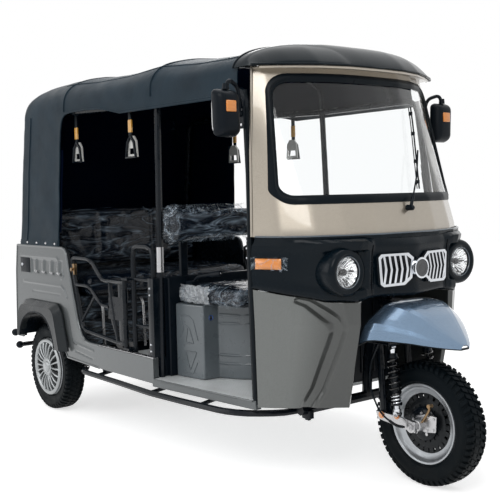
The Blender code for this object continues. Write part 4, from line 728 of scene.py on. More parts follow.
class Form:
    """A mesh shaped by operators, which then stands in the scene as a piece."""

    def __init__(self) -> None:
        """Starts empty."""
        self.work = bmesh.new()

    def moved(self, verts: Iterable, change: Matrix) -> "Form":
        """Moves, turns or scales some vertices."""
        bmesh.ops.transform(self.work, matrix=change, verts=list(verts))
        return self

    def box(self, low: Point, high: Point, turn: Matrix | None = None) -> "Form":
        """Adds a box between two opposite corners, turned about its centre.

        Args:
            low: A corner.
            high: The opposite corner.
            turn: How it is turned about its centre.

        Returns:
            The form.
        """
        least, most = Vector(map(min, low, high)), Vector(map(max, low, high))
        scale = Matrix.Diagonal((*(most - least), 1.0))
        made = bmesh.ops.create_cube(self.work, size=1.0)["verts"]
        return self.moved(made, Matrix.Translation((most + least) / 2) @ (turn or Matrix()) @ scale)

    def rod(self, start: Point, end: Point, radius: float, tip: float | None = None, sides: int = 24) -> "Form":
        """Adds a round bar or a cone between two points.

        Args:
            start: Centre of its first end.
            end: Centre of its second end.
            radius: Radius at the start.
            tip: Radius at the end, or the same.
            sides: Faces around it.

        Returns:
            The form.
        """
        run = Vector(end) - Vector(start)
        made = bmesh.ops.create_cone(
            self.work, cap_ends=True, segments=sides, radius1=radius,
            radius2=radius if tip is None else tip, depth=run.length,
        )["verts"]
        turn = run.to_track_quat("Z", "Y").to_matrix().to_4x4()
        return self.moved(made, Matrix.Translation((Vector(start) + Vector(end)) / 2) @ turn)

    def ball(self, centre: Point, size: Point, sides: int = 20) -> "Form":
        """Adds an ellipsoid with three half sizes."""
        made = bmesh.ops.create_uvsphere(self.work, u_segments=sides, v_segments=sides // 2, radius=1.0)["verts"]
        return self.moved(made, Matrix.Translation(centre) @ Matrix.Diagonal((*size, 1.0)))

    def spun(self, profile: Outline, centre: Point, axis: str = "Y", steps: int = 64) -> "Form":
        """Adds a profile turned once round an axis.

        Args:
            profile: Pairs of radius and place along the axis.
            centre: A point of the axis.
            axis: The axis it turns about, Y or X.
            steps: Faces around it.

        Returns:
            The form.
        """
        along = Vector((0, 1, 0)) if axis == "Y" else Vector((1, 0, 0))
        out = Vector((0, 0, 1))
        verts = [self.work.verts.new(Vector(centre) + out * radius + along * place) for radius, place in profile]
        edges = [self.work.edges.new(pair) for pair in zip(verts, verts[1:])]
        bmesh.ops.spin(
            self.work, geom=verts + edges, cent=centre, axis=along, angle=math.tau, steps=steps, use_merge=True,
        )
        bmesh.ops.remove_doubles(self.work, verts=self.work.verts, dist=MERGE)
        bmesh.ops.recalc_face_normals(self.work, faces=self.work.faces)
        return self

    def prism(self, outline: Outline, low: float, high: float, plane: str = "XZ") -> "Form":
        """Adds an outline that is extruded across its plane.

        Args:
            outline: Corners in the plane.
            low: One end on the third axis.
            high: The other end.
            plane: XZ, YZ or XY.

        Returns:
            The form.
        """
        place = {
            "XZ": lambda a, b, c: (a, c, b),
            "YZ": lambda a, b, c: (c, a, b),
            "XY": lambda a, b, c: (a, b, c),
        }[plane]
        low, high = sorted((low, high))
        verts = [self.work.verts.new(place(a, b, low)) for a, b in outline]
        face = self.work.faces.new(verts)
        shifted = bmesh.ops.extrude_face_region(self.work, geom=[face])["geom"]
        tops = [item for item in shifted if isinstance(item, bmesh.types.BMVert)]
        bmesh.ops.translate(self.work, verts=tops, vec=place(0, 0, high - low))
        bmesh.ops.recalc_face_normals(self.work, faces=self.work.faces)
        return self

    def panel(self, across: int, along: int, place: Callable[[float, float], Point]) -> "Form":
        """Adds a grid whose points a function places, from two shares that run from 0 to 1.

        Args:
            across: Faces from side to side.
            along: Faces along it.
            place: Gives a point for two shares.

        Returns:
            The form.
        """
        made = bmesh.ops.create_grid(self.work, x_segments=across, y_segments=along, size=0.5)["verts"]
        for vert in made:
            vert.co = Vector(place(vert.co.x + 0.5, vert.co.y + 0.5))
        bmesh.ops.remove_doubles(self.work, verts=made, dist=MERGE)
        return self

    def pipe(self, path: Sequence[Point], radius: float, sides: int = 12, closed: bool = False) -> "Form":
        """Adds a tube that follows a path, by extruding a ring from point to point.

        Args:
            path: The points of its middle line.
            radius: Its radius.
            sides: Faces around it.
            closed: Whether the last point joins the first.

        Returns:
            The form.
        """
        points = [Vector(point) for point in path]
        count = len(points)
        first = self._heading(points, 0, closed)
        turn = first.to_track_quat("Z", "Y")
        ring = bmesh.ops.create_circle(self.work, cap_ends=not closed, segments=sides, radius=radius)["verts"]
        self.moved(ring, Matrix.Translation(points[0]) @ turn.to_matrix().to_4x4())
        rings = [ring]
        heading = first
        for index in range(1, count):
            edges = list({edge for vert in ring for edge in vert.link_edges if edge.other_vert(vert) in ring})
            made = bmesh.ops.extrude_edge_only(self.work, edges=edges)["geom"]
            ring = [item for item in made if isinstance(item, bmesh.types.BMVert)]
            new_heading = self._heading(points, index, closed)
            swing = heading.rotation_difference(new_heading).to_matrix().to_4x4()
            change = Matrix.Translation(points[index]) @ swing @ Matrix.Translation(-points[index - 1])
            self.moved(ring, change)
            heading = new_heading
            rings.append(ring)
        last = list({edge for vert in ring for edge in vert.link_edges if edge.other_vert(vert) in ring})
        if closed:
            begin = {edge for vert in rings[0] for edge in vert.link_edges if edge.other_vert(vert) in rings[0]}
            bmesh.ops.bridge_loops(self.work, edges=last + list(begin))
        else:
            bmesh.ops.contextual_create(self.work, geom=last)
        bmesh.ops.recalc_face_normals(self.work, faces=self.work.faces)
        return self

    @staticmethod
    def _heading(points: Sequence[Vector], index: int, closed: bool) -> Vector:
        """The path's direction at a point.

        Args:
            points: The path.
            index: The point's number.
            closed: Whether the path is closed.

        Returns:
            The direction.
        """
        count = len(points)
        before = points[(index - 1) % count] if closed or index else points[0]
        after = points[(index + 1) % count] if closed or index < count - 1 else points[-1]
        return (after - before).normalized()

    def rounded(self, width: float, segments: int = 2, angle: float = 30.0) -> "Form":
        """Bevels every edge that is sharper than an angle in degrees.

        Args:
            width: The bevel's width.
            segments: Its segments.
            angle: The least angle, in degrees.

        Returns:
            The form.
        """
        edges = [
            edge
            for edge in self.work.edges
            if len(edge.link_faces) == 2 and edge.calc_face_angle(0.0) > math.radians(angle)
        ]
        bmesh.ops.bevel(
            self.work, geom=edges, offset=width, affect="EDGES", segments=segments, profile=0.5,
            material=-1, clamp_overlap=True,
        )
        return self

    def smoothed(self, times: int = 1, factor: float = 0.5) -> "Form":
        """Evens out the surface, all but its open edges.

        Args:
            times: How often.
            factor: How strongly.

        Returns:
            The form.
        """
        inner = [vert for vert in self.work.verts if not vert.is_boundary]
        for _ in range(times):
            bmesh.ops.smooth_vert(
                self.work, verts=inner, factor=factor, use_axis_x=True, use_axis_y=True, use_axis_z=True,
            )
        return self

    def walled(self, thickness: float, facing: float = 0.0) -> "Form":
        """Gives a sheet thickness behind its faces, which first turn up for a facing of 1 and down for -1.

        Args:
            thickness: The thickness.
            facing: Where the faces turn first, or 0.

        Returns:
            The form.
        """
        bmesh.ops.recalc_face_normals(self.work, faces=self.work.faces)
        if facing and sum(face.normal.z for face in self.work.faces) * facing < 0:
            bmesh.ops.reverse_faces(self.work, faces=self.work.faces)
        bmesh.ops.solidify(self.work, geom=self.work.faces[:], thickness=thickness)
        bmesh.ops.recalc_face_normals(self.work, faces=self.work.faces)
        return self

    def lofted(self, rows: Iterable[Sequence[Point]], closed: bool = False) -> list[list[bmesh.types.BMEdge]]:
        """Joins rows of points by faces, and gives every row's edges.

        Args:
            rows: The rows of points.
            closed: Whether each row is a ring.

        Returns:
            The edges, row by row.
        """
        loops = []
        for row in rows:
            verts = [self.work.verts.new(point) for point in row]
            ends = verts[1:] + verts[:1] if closed else verts[1:]
            loops.append([self.work.edges.new(pair) for pair in zip(verts, ends)])
        for pair in zip(loops, loops[1:]):
            bmesh.ops.bridge_loops(self.work, edges=sum(pair, []))
        return loops

    def area(self) -> float:
        """The sum of its faces' areas."""
        return sum(face.calc_area() for face in self.work.faces)

    def cut(self, outline: Outline, plane: str = "XZ", keep_inside: bool = False) -> "Form":
        """Cuts a sheet along an outline seen square to a plane, and drops the faces inside or outside it.

        Args:
            outline: Corners in the plane.
            plane: XZ or YZ.
            keep_inside: Whether the faces inside the outline stay.

        Returns:
            The form.
        """
        first, second = (0, 2) if plane == "XZ" else (1, 2)
        corners = list(outline)
        for (a, b), (c, d) in zip(corners, corners[1:] + corners[:1]):
            normal = Vector((0.0, 0.0, 0.0))
            normal[first], normal[second] = d - b, a - c
            point = Vector((0.0, 0.0, 0.0))
            point[first], point[second] = a, b
            reach = 0.012
            spans = ((min(a, c) - reach, max(a, c) + reach), (min(b, d) - reach, max(b, d) + reach))
            near = [
                face for face in self.work.faces
                if any(
                    spans[0][0] <= v.co[first] <= spans[0][1] and spans[1][0] <= v.co[second] <= spans[1][1]
                    for v in face.verts
                )
            ]
            geometry = list({item for face in near for item in (*face.verts, *face.edges, face)})
            bmesh.ops.bisect_plane(self.work, geom=geometry, plane_co=point, plane_no=normal, dist=MERGE / 2)
        dropped = []
        for face in self.work.faces:
            centre = face.calc_center_median()
            if inside(corners, centre[first], centre[second]) != keep_inside:
                dropped.append(face)
        bmesh.ops.delete(self.work, geom=dropped, context="FACES")
        return self

    def stand(
        self, name: str, finish: "Finish", replaces: Sequence[str] = (), smooth: float = 35.0, body: Body = Body.MAIN,
    ) -> bpy.types.Object:
        """Makes the form an object that rides on a body.

        Args:
            name: The piece's name.
            finish: Its finish.
            replaces: Nodes that it stands for.
            smooth: Edges sharper than this many degrees stay sharp.
            body: The body it moves with.

        Returns:
            The new piece.
        """
        mesh = meshed(self.work, name)
        piece = placed(name, mesh)
        mesh.shade_smooth()
        if smooth < 180.0:
            mesh.set_sharp_from_angle(angle=math.radians(smooth))
        finish.cover(piece, body.value, replaces)
        return piece


def meshed(work: bmesh.types.BMesh, name: str) -> bpy.types.Mesh:
    """A mesh made from a bmesh, which is then let go.

    Args:
        work: The bmesh.
        name: The mesh's name.

    Returns:
        The mesh.
    """
    mesh = bpy.data.meshes.new(name)
    work.to_mesh(mesh)
    work.free()
    return mesh


def placed(name: str, data: bpy.types.ID) -> bpy.types.Object:
    """A new object in the scene.

    Args:
        name: Its name.
        data: Its mesh, lamp or camera.

    Returns:
        The object.
    """
    made = bpy.data.objects.new(name, data)
    bpy.context.scene.collection.objects.link(made)
    return made


def inside(outline: Outline, a: float, b: float) -> bool:
    """Whether a point lies inside an outline, by the number of sides to its right.

    Args:
        outline: The outline's corners.
        a: The point's first coordinate.
        b: Its second coordinate.

    Returns:
        Whether it is inside.
    """
    within = False
    for (a0, b0), (a1, b1) in zip(outline, list(outline[1:]) + [outline[0]]):
        if (b0 > b) != (b1 > b) and a < (a1 - a0) * (b - b0) / (b1 - b0) + a0:
            within = not within
    return within


def back(distance: float) -> float:
    """X of a station that lies this far behind the front axle."""
    return FRONT_AXLE_X - distance


def side_view(outline: Outline) -> list[tuple[float, float]]:
    """An outline of distances behind the front axle and heights, as X and Z."""
    return [(back(distance), z) for distance, z in outline]


def from_line(spot: Vector, line: Outline) -> float:
    """How far a place lies from a line of corners, if less than 1.

    Args:
        spot: The place.
        line: The line's corners.

    Returns:
        The distance.
    """
    least = 1.0
    for start, end in zip(line, line[1:]):
        run = Vector(end) - Vector(start)
        way = spot - Vector(start)
        t = min(max(way.dot(run) / run.length_squared, 0.0), 1.0)
        least = min(least, (way - run * t).length)
    return least


def around(centre: Point, radius: float, angle: float, y: float = 0.0) -> Vector:
    """A point round an axle, by its angle from straight up and its place along the axle."""
    return Vector(centre) + Vector((radius * math.sin(angle), y, radius * math.cos(angle)))


def eased(table: Sequence[Sequence[float]], value: float) -> list[float]:
    """Reads a table by its rising first column, along smooth curves through its rows.

    Args:
        table: Rows of numbers.
        value: The first column's value.

    Returns:
        The other columns' values.
    """
    if value <= table[0][0]:
        return list(table[0][1:])
    for index, (low, high) in enumerate(zip(table, table[1:])):
        if value <= high[0]:
            before = table[max(index - 1, 0)]
            after = table[min(index + 2, len(table) - 1)]
            step = high[0] - low[0]
            t = (value - low[0]) / step
            result = []
            for column in range(1, len(low)):
                slope_low = (high[column] - before[column]) / (high[0] - before[0]) * step
                slope_high = (after[column] - low[column]) / (after[0] - low[0]) * step
                result.append(
                    low[column] * (2 * t**3 - 3 * t**2 + 1) + slope_low * (t**3 - 2 * t**2 + t)
                    + high[column] * (3 * t**2 - 2 * t**3) + slope_high * (t**3 - t**2)
                )
            return result
    return list(table[-1][1:])


def straight(table: Sequence[Sequence[float]], value: float) -> list[float]:
    """Reads a table by its rising first column, in straight lines between its rows.

    Args:
        table: Rows of numbers.
        value: The first column's value.

    Returns:
        The other columns' values.
    """
    for low, high in zip(table, table[1:]):
        if value <= high[0]:
            t = max(0.0, (value - low[0]) / (high[0] - low[0]))
            return [a + (b - a) * t for a, b in zip(low[1:], high[1:])]
    return list(table[-1][1:])


def bent(points: Sequence[Point], radius: float, steps: int = 6) -> list[Vector]:
    """A path with its corners rounded, for a bent tube.

    Args:
        points: The path's corners.
        radius: How far from a corner it bends.
        steps: Points of a bend.

    Returns:
        The path.
    """
    corners = [Vector(point) for point in points]
    path = [corners[0]]
    for before, corner, after in zip(corners, corners[1:], corners[2:]):
        reach = min(radius, (before - corner).length / 2, (after - corner).length / 2)
        start = corner + (before - corner).normalized() * reach
        end = corner + (after - corner).normalized() * reach
        for step in range(steps + 1):
            t = step / steps
            path.append(start * (1 - t) ** 2 + corner * 2 * t * (1 - t) + end * t**2)
    path.append(corners[-1])
    return path


def resampled(points: Sequence[Vector], count: int, closed: bool = False) -> list[Vector]:
    """A line of evenly spaced points. An open one keeps both ends.

    Args:
        points: The line.
        count: How many points are wanted.
        closed: Whether it is a ring.

    Returns:
        The points.
    """
    line = [*points, points[0]] if closed else points
    lengths = [0.0]
    for a, b in zip(line, line[1:]):
        lengths.append(lengths[-1] + (b - a).length)
    result = []
    index = 0
    for number in range(count):
        wanted = lengths[-1] * number / (count if closed else count - 1)
        while index < len(line) - 2 and lengths[index + 1] < wanted:
            index += 1
        t = (wanted - lengths[index]) / max(lengths[index + 1] - lengths[index], 1e-9)
        result.append(line[index].lerp(line[index + 1], min(t, 1.0)))
    return result


def waves(place: Point, scale: float, seed: float = 0.0) -> float:
    """Smooth noise from about -1 to 1 at a place."""
    return noise.noise(Vector(place) * scale + Vector((seed, seed * 1.7, seed * 0.3)))


@dataclass
class Dresser:
    """Copies of the solids with soft edges and their finishes."""

    bevel_width: float = 0.0015
    bevel_angle: float = math.radians(35)
    merge: float = 0.00001
    flat_within: float = math.radians(0.4)
    body_of: dict[str, str] = field(init=False)

    def __post_init__(self) -> None:
        """Looks up which body each node rides on."""
        bodies = frame["record"]["behaviour"]["bodies"]
        self.body_of = {node: body for body, nodes in bodies.items() for node in nodes}

    def copy(self, node: str, finish: Finish, name: str = "", width: float = 0.0) -> bpy.types.Object:
        """Stands a softened copy in for a node.

        Args:
            node: The node's name.
            finish: The copy's finish.
            name: The copy's name, or the node's with an ending.
            width: The bevel's width, or the usual one.

        Returns:
            The new piece.
        """
        work = bmesh.new()
        work.from_mesh(frame["nodes"][node].data)
        bmesh.ops.remove_doubles(work, verts=work.verts, dist=self.merge)
        bmesh.ops.dissolve_limit(work, angle_limit=self.flat_within, verts=work.verts, edges=work.edges)
        mesh = meshed(work, name or node + "_skin")
        mesh.shade_smooth()
        piece = placed(mesh.name, mesh)
        bevel = piece.modifiers.new("soft_edges", "BEVEL")
        bevel.width = width or self.bevel_width
        bevel.segments = 2
        bevel.limit_method = "ANGLE"
        bevel.angle_limit = self.bevel_angle
        piece.modifiers.new("even_shading", "WEIGHTED_NORMAL")
        finish.cover(piece, self.body_of[node], [node])
        return piece


DRESSER = Dresser()


@dataclass
class Studio:
    """Floor, background, lamps and camera."""

    camera_place: Point = (3.7072, -2.8520, 1.2281)
    heading: float = math.radians(51.766)
    pitch: float = math.radians(3.581)
    roll: float = math.radians(-1.3531)
    focal_pixels: float = 893.64
    picture_pixels: float = 500.0
    sensor: float = 36.0
    floor_half: float = 14.0
    floor_glow: float = 0.62
    sky_light: float = 0.45

    def camera(self) -> None:
        """Sets the camera where the photograph was taken from."""
        data = bpy.data.cameras.new("camera")
        data.sensor_width = self.sensor
        data.lens = self.focal_pixels / self.picture_pixels * self.sensor
        data.clip_end = 100.0
        forward = Vector((
            -math.sin(self.heading) * math.cos(self.pitch),
            math.cos(self.heading) * math.cos(self.pitch),
            -math.sin(self.pitch),
        ))
        level = Vector((math.cos(self.heading), math.sin(self.heading), 0.0))
        upright = level.cross(forward)
        right = level * math.cos(self.roll) + upright * math.sin(self.roll)
        up = -level * math.sin(self.roll) + upright * math.cos(self.roll)
        turn = Matrix((right, up, -forward)).transposed().to_4x4()
        camera = placed("camera", data)
        camera.matrix_world = Matrix.Translation(self.camera_place) @ turn
        bpy.context.scene.camera = camera

    def floor(self) -> None:
        """Lays a pale floor that keeps the shadow."""
        grid = bmesh.new()
        bmesh.ops.create_grid(grid, x_segments=1, y_segments=1, size=self.floor_half)
        floor = placed("floor", meshed(grid, "floor"))
        material = bpy.data.materials.new("pale_floor")
        material.use_nodes = True
        wiring = Wiring(material.node_tree)
        shader = material.node_tree.nodes["Principled BSDF"]
        shader.inputs["Roughness"].default_value = 0.9
        shader.inputs["Base Color"].default_value = (0.86, 0.86, 0.86, 1.0)
        shader.inputs["Specular IOR Level"].default_value = 0.1
        shader.inputs["Emission Color"].default_value = (1.0, 1.0, 1.0, 1.0)
        wiring.feed(shader.inputs["Emission Strength"], wiring.math("MULTIPLY", self.seen(wiring), self.floor_glow))
        floor.data.materials.append(material)

    def lights(self) -> None:
        """Hangs soft lamps around the vehicle and lights the background."""
        lamps = (
            ("key_lamp", (3.2, -3.4, 4.2), (0.3, 0.0, 0.9), 85.0, 2.6),
            ("side_lamp", (-2.2, -4.6, 2.6), (-0.3, 0.0, 0.9), 52.0, 3.0),
            ("top_lamp", (0.0, 0.6, 4.8), (0.0, 0.0, 1.0), 52.0, 3.4),
            ("rear_lamp", (-4.2, 3.0, 3.2), (0.0, 0.0, 1.0), 34.0, 2.4),
        )
        for name, place, aim, power, size in lamps:
            data = bpy.data.lights.new(name, "AREA")
            data.energy = power
            data.size = size
            turn = (Vector(aim) - Vector(place)).to_track_quat("-Z", "Y").to_matrix().to_4x4()
            placed(name, data).matrix_world = Matrix.Translation(place) @ turn
        world = bpy.data.worlds.new("background")
        bpy.context.scene.world = world
        world.use_nodes = True
        wiring = Wiring(world.node_tree)
        shader = world.node_tree.nodes["Background"]
        shader.inputs["Color"].default_value = (1.0, 1.0, 1.0, 1.0)
        wiring.feed(shader.inputs["Strength"], wiring.ranged(self.seen(wiring), 0.0, 1.0, self.sky_light, 1.0))

    @staticmethod
    def seen(wiring: Wiring) -> bpy.types.NodeSocket:
        """1 for what the camera sees straight, through glass or mirrored, and 0 for other light.

        Args:
            wiring: The material's or the world's wiring.

        Returns:
            The socket.
        """
        path = wiring.add("ShaderNodeLightPath").outputs
        direct = wiring.math("ADD", path["Is Camera Ray"], path["Is Transmission Ray"])
        return wiring.math("MINIMUM", wiring.math("ADD", direct, path["Is Glossy Ray"]), 1.0)

    def build(self) -> None:
        """Sets the whole stage."""
        self.camera()
        self.floor()
        self.lights()
        bpy.context.scene.view_settings.view_transform = "Standard"


# Plan of the cab's front: share of the way from the centre to the door pillar, distance behind the
# front axle and half width at the belt, then the same at the top of the windscreen
CAB_PLAN = (
    (0.00, 0.095, 0.000, 0.300, 0.000),
    (0.30, 0.105, 0.180, 0.308, 0.170),
    (0.55, 0.140, 0.320, 0.340, 0.295),
    (0.75, 0.205, 0.435, 0.392, 0.400),
    (0.90, 0.300, 0.540, 0.445, 0.485),
    (1.00, 0.420, 0.583, 0.490, 0.532),
)
BELT_Z = 1.06
CAB_TOP_Z = 1.72


def cab_point(share: float, z: float, proud: float = 0.0) -> Point:
    """A point of the cab's front, from share -1 at the right pillar to 1 at the left.

    Args:
        share: Share of the way round.
        z: Height.
        proud: How far in front of the sheet.

    Returns:
        The point.
    """
    low_back, low_y, top_back, top_y = straight(CAB_PLAN, abs(share))
    t = (z - BELT_Z) / (CAB_TOP_Z - BELT_Z)
    distance = low_back + (top_back - low_back) * t - proud
    return back(distance), math.copysign(low_y + (top_y - low_y) * t, share), z


def cab_back(y: float, z: float) -> float:
    """Distance behind the front axle of the cab's front, at a distance from the centre and a height.

    Args:
        y: Distance from the centre.
        z: Height.

    Returns:
        The distance.
    """
    t = (z - BELT_Z) / (CAB_TOP_Z - BELT_Z)
    rows = [
        (low_y + (top_y - low_y) * t, low_back + (top_back - low_back) * t)
        for _, low_back, low_y, top_back, top_y in CAB_PLAN
    ]
    return straight(rows, abs(y))[0]


@dataclass
class CabFront:
    """The cab's black band with its lamps and grille, the grey panels under it and the mudguard."""

    belt_top: float = 1.052
    lamp_y: float = 0.350
    lamp_z: float = 0.906
    lamp_radius: float = 0.0615
    lens_back: float = 0.112
    groove_half: float = 0.030
    groove_depth: float = 0.020
    # Half width, distance behind the front axle of the brow and of the lower edge, heights of the
    # lower edge and the brow, share of the recess round the lamp
    band_plan: tuple = (
        (0.000, 0.052, 0.060, 0.790, 1.006, 0.0),
        (0.180, 0.080, 0.088, 0.796, 1.006, 0.0),
        (0.215, 0.086, 0.096, 0.794, 1.008, 0.0),
        (0.246, 0.080, 0.094, 0.791, 1.022, 0.0),
        (0.264, 0.077, 0.092, 0.789, 1.030, 1.0),
        (0.300, 0.078, 0.098, 0.785, 1.030, 1.0),
        (0.350, 0.103, 0.138, 0.787, 1.029, 1.0),
        (0.400, 0.142, 0.180, 0.790, 1.027, 1.0),
        (0.455, 0.192, 0.222, 0.806, 1.024, 1.0),
        (0.500, 0.246, 0.262, 0.816, 1.022, 0.0),
        (0.535, 0.290, 0.300, 0.825, 1.020, 0.0),
        (0.588, 0.424, 0.424, 0.843, 1.018, 0.0),
    )
    # Share of the way from the lower edge to the brow, step back, share of the recess
    band_rows: tuple = (
        (0.00, 0.012, 0.0), (0.03, 0.003, 0.0), (0.07, 0.000, 0.0), (0.15, 0.003, 0.0), (0.175, 0.004, 0.0),
        (0.215, 0.006, 1.0), (0.40, 0.006, 1.0), (0.60, 0.006, 1.0), (0.81, 0.006, 1.0), (0.855, 0.005, 0.0),
        (0.88, 0.004, 0.0), (0.95, 0.001, 0.0), (1.00, 0.000, 0.0),
    )
    # Half width and distance behind the front axle at the bottom, at the crease's height, at the top
    lower_plan: tuple = (
        (0.0, 0.557, 0.447, 0.572, 0.4365, 0.583, 0.4297),
        (1.0, 0.524, 0.400, 0.537, 0.360, 0.550, 0.360),
        (2.0, 0.484, 0.355, 0.490, 0.290, 0.507, 0.296),
        (3.0, 0.440, 0.318, 0.422, 0.218, 0.455, 0.244),
        (4.0, 0.402, 0.286, 0.360, 0.158, 0.400, 0.190),
        (5.0, 0.386, 0.268, 0.330, 0.132, 0.350, 0.140),
        (6.0, 0.285, 0.183, 0.285, 0.108, 0.288, 0.104),
        (7.0, 0.272, 0.192, 0.270, 0.120, 0.270, 0.116),
        (8.0, 0.270, 0.4297, 0.270, 0.4297, 0.270, 0.4297),
    )
    lower_bottom: float = 0.337
    lower_crease: float = 0.690
    # The pressed groove on the lower panel: distance from the centre, height
    groove: tuple = (
        (0.478, 0.792), (0.450, 0.780), (0.372, 0.706), (0.356, 0.670), (0.364, 0.600), (0.392, 0.420),
        (0.420, 0.337),
    )
    # Distance behind the front axle, half width, height of the rim and of the crown, trail of the rim
    guard_stations: tuple = (
        (-0.186, 0.022, 0.591, 0.603, 0.0),
        (-0.164, 0.056, 0.595, 0.621, 0.0),
        (-0.130, 0.094, 0.601, 0.648, 0.0),
        (-0.090, 0.134, 0.609, 0.680, 0.0),
        (-0.045, 0.172, 0.618, 0.716, 0.0),
        (0.010, 0.222, 0.625, 0.747, 0.012),
        (0.060, 0.250, 0.624, 0.762, 0.034),
        (0.100, 0.252, 0.597, 0.765, 0.061),
    )
    # Share of the half width, share of the height
    guard_section: tuple = (
        (0.00, 1.000), (0.22, 0.996), (0.44, 0.972), (0.580, 0.925), (0.70, 0.785), (0.82, 0.640), (0.930, 0.480),
        (0.972, 0.300), (1.00, 0.00),
    )

    def band_low(self, y: float) -> float:
        """Height of the band's lower edge at a distance from the centre."""
        return straight([(row[0], row[3]) for row in self.band_plan], abs(y))[0]

    def band_face(self, y: float, share: float, deep: float = 1.0) -> Vector:
        """A point of the band's outer face.

        Args:
            y: Distance from the centre.
            share: Share of the way from the lower edge to the brow.
            deep: How much of the recess round the lamp is kept.

        Returns:
            The point.
        """
        brow_back, low_back, low, brow, recess = straight(self.band_plan, abs(y))
        step, recessed = straight(self.band_rows, share)
        depth = low_back + (brow_back - low_back) * share + step
        floor_depth = max(depth, cab_back(y, self.belt_top) - 0.016)
        depth += (floor_depth - depth) * recess * recessed * deep
        return Vector((back(depth), y, low + (brow - low) * share))

    def band(self) -> None:
        """The black band from pillar to pillar, its top ledge and the bead along the cab."""
        half = self.band_plan[-1][0]
        columns: list[float] = []
        for low, high in zip(self.band_plan, self.band_plan[1:]):
            columns += [low[0] + (high[0] - low[0]) * step / 8 for step in range(8)]
        columns.append(half)
        every = [-y for y in reversed(columns[1:])] + columns
        rows: list[float] = []
        for low, high in zip(self.band_rows, self.band_rows[1:]):
            rows += [low[0], (low[0] + high[0]) / 2]
        rows.append(1.0)
        # Height over the brow and proudness over the cab: the ledge slopes in, then the strip stands up
        ledge = ((0.30, 0.020), (0.62, 0.0125), (0.66, 0.0150), (0.97, 0.0150), (1.00, 0.0100))

        def place(u: float, v: float) -> Point:
            """A point of the band or of its ledge."""
            y = every[round(u * (len(every) - 1))]
            row = round(v * (len(rows) + len(ledge) - 1))
            if row < len(rows):
                return self.band_face(y, rows[row])
            share, proud = ledge[row - len(rows)]
            brow = self.band_face(y, 1.0)
            z = brow.z + (self.belt_top - brow.z) * share
            x = back(cab_back(y, self.belt_top) - proud)
            if share < 0.6:
                x = (x + brow.x) / 2
            return x, y, z

        shell = Form().panel(len(every) - 1, len(rows) + len(ledge) - 1, place)
        shell.smoothed(1, 0.2)
        for side in Side:
            turns = [math.tau * k / 14 for k in range(14)]
            shell.cut(
                [(side.value * self.lamp_y + 0.076 * math.cos(a), self.lamp_z + 0.076 * math.sin(a)) for a in turns],
                "YZ",
            )
        shell.walled(0.004).stand("belt_band_shell", BAND_BLACK, ["belt_band"], smooth=26.0)
        # The bead's grey-blue colour is painted highlight along a black moulding.
        bead = [cab_point(-1 + 2 * step / 72, 1.0535, 0.013) for step in range(73)]
        Form().pipe(bead, 0.0038, 10).stand("belt_bead", GLOSS_TRIM_PAINTED_HIGHLIGHT)
        seams = Form()
        for side in Side:
            line = [
                self.band_face(side.value * 0.231, share, 0.0) + Vector((0.0012, 0, 0))
                for share in (0.05, 0.2, 0.4, 0.6, 0.8, 0.98)
            ]
            seams.pipe(line, 0.0016, 6)
        seams.stand("belt_band_seams", SHADOW_GAP)

    def headlights(self) -> None:
        """Housings, reflectors, bulb shields and lenses."""
        for side in Side:
            centre = (0.0, side.value * self.lamp_y, self.lamp_z)
            front = back(self.lens_back)
            housing = [
                (0.0630, front - 0.030), (0.0630, front - 0.002), (0.0680, front + 0.006), (0.0775, front + 0.0095),
                (0.0880, front + 0.0080), (0.0955, front + 0.001), (0.0990, front - 0.012), (0.1000, front - 0.028),
                (0.0960, front - 0.070), (0.0850, front - 0.128),
            ]
            shell = Form().spun(housing, centre, "X", 72)
            shell.stand("headlight_housing_" + side.word, BAND_BLACK, smooth=50.0)
            trim = [
                (0.0618, front + 0.001), (0.0630, front + 0.0036), (0.0655, front + 0.0036), (0.0660, front - 0.002),
            ]
            Form().spun(trim, centre, "X", 72).stand("headlight_ring_" + side.word, GLOSS_TRIM_PAINTED_HIGHLIGHT)
            self.reflector(side, front)
            dome = [
                (self.lamp_radius * math.sin(a), front - 0.006 + 0.016 * math.cos(a))
                for a in (math.pi / 2 * k / 10 for k in range(11))
            ]
            lens = Form().spun(list(reversed(dome)), centre, "X", 64)
            lens.walled(0.0015).stand("headlight_lens_" + side.word, LAMP_GLASS, ["headlight_" + side.word])

    def reflector(self, side: Side, front: float) -> None:
        """A faceted bowl with the bulb's shield, its bar and the dark slot under it.

        Args:
            side: The vehicle's side.
            front: X of the housing's face.
        """
        centre = (0.0, side.value * self.lamp_y, self.lamp_z)
        bowl = [(0.0612 * math.sqrt(k / 8), front - 0.044 + 0.036 * k / 8) for k in range(1, 9)]
        cups = Form().spun([(0.006, front - 0.044)] + bowl, centre, "X", 28)
        bmesh.ops.inset_individual(cups.work, faces=cups.work.faces[:], thickness=0.0012, depth=-0.0012)
        cups.stand("headlight_bowl_" + side.word, REFLECTOR, smooth=10.0)
        y = centre[1]
        shield = Form().ball((front - 0.024, y, self.lamp_z), (0.013, 0.0145, 0.0145))
        shield.rod((front - 0.024, y, self.lamp_z), (front - 0.018, y + 0.050, self.lamp_z), 0.0026)
        shield.rod(
            (front - 0.024, y - 0.006, self.lamp_z - 0.026), (front - 0.016, y + 0.014, self.lamp_z - 0.050), 0.0032,
        )
        shield.stand("headlight_shield_" + side.word, BADGE_BLACK)

    def indicators(self) -> None:
        """Amber side lamps on the band, each still in its packing film."""
        for side in Side:
            table = [(row[1], row[0]) for row in self.band_plan[4:]]

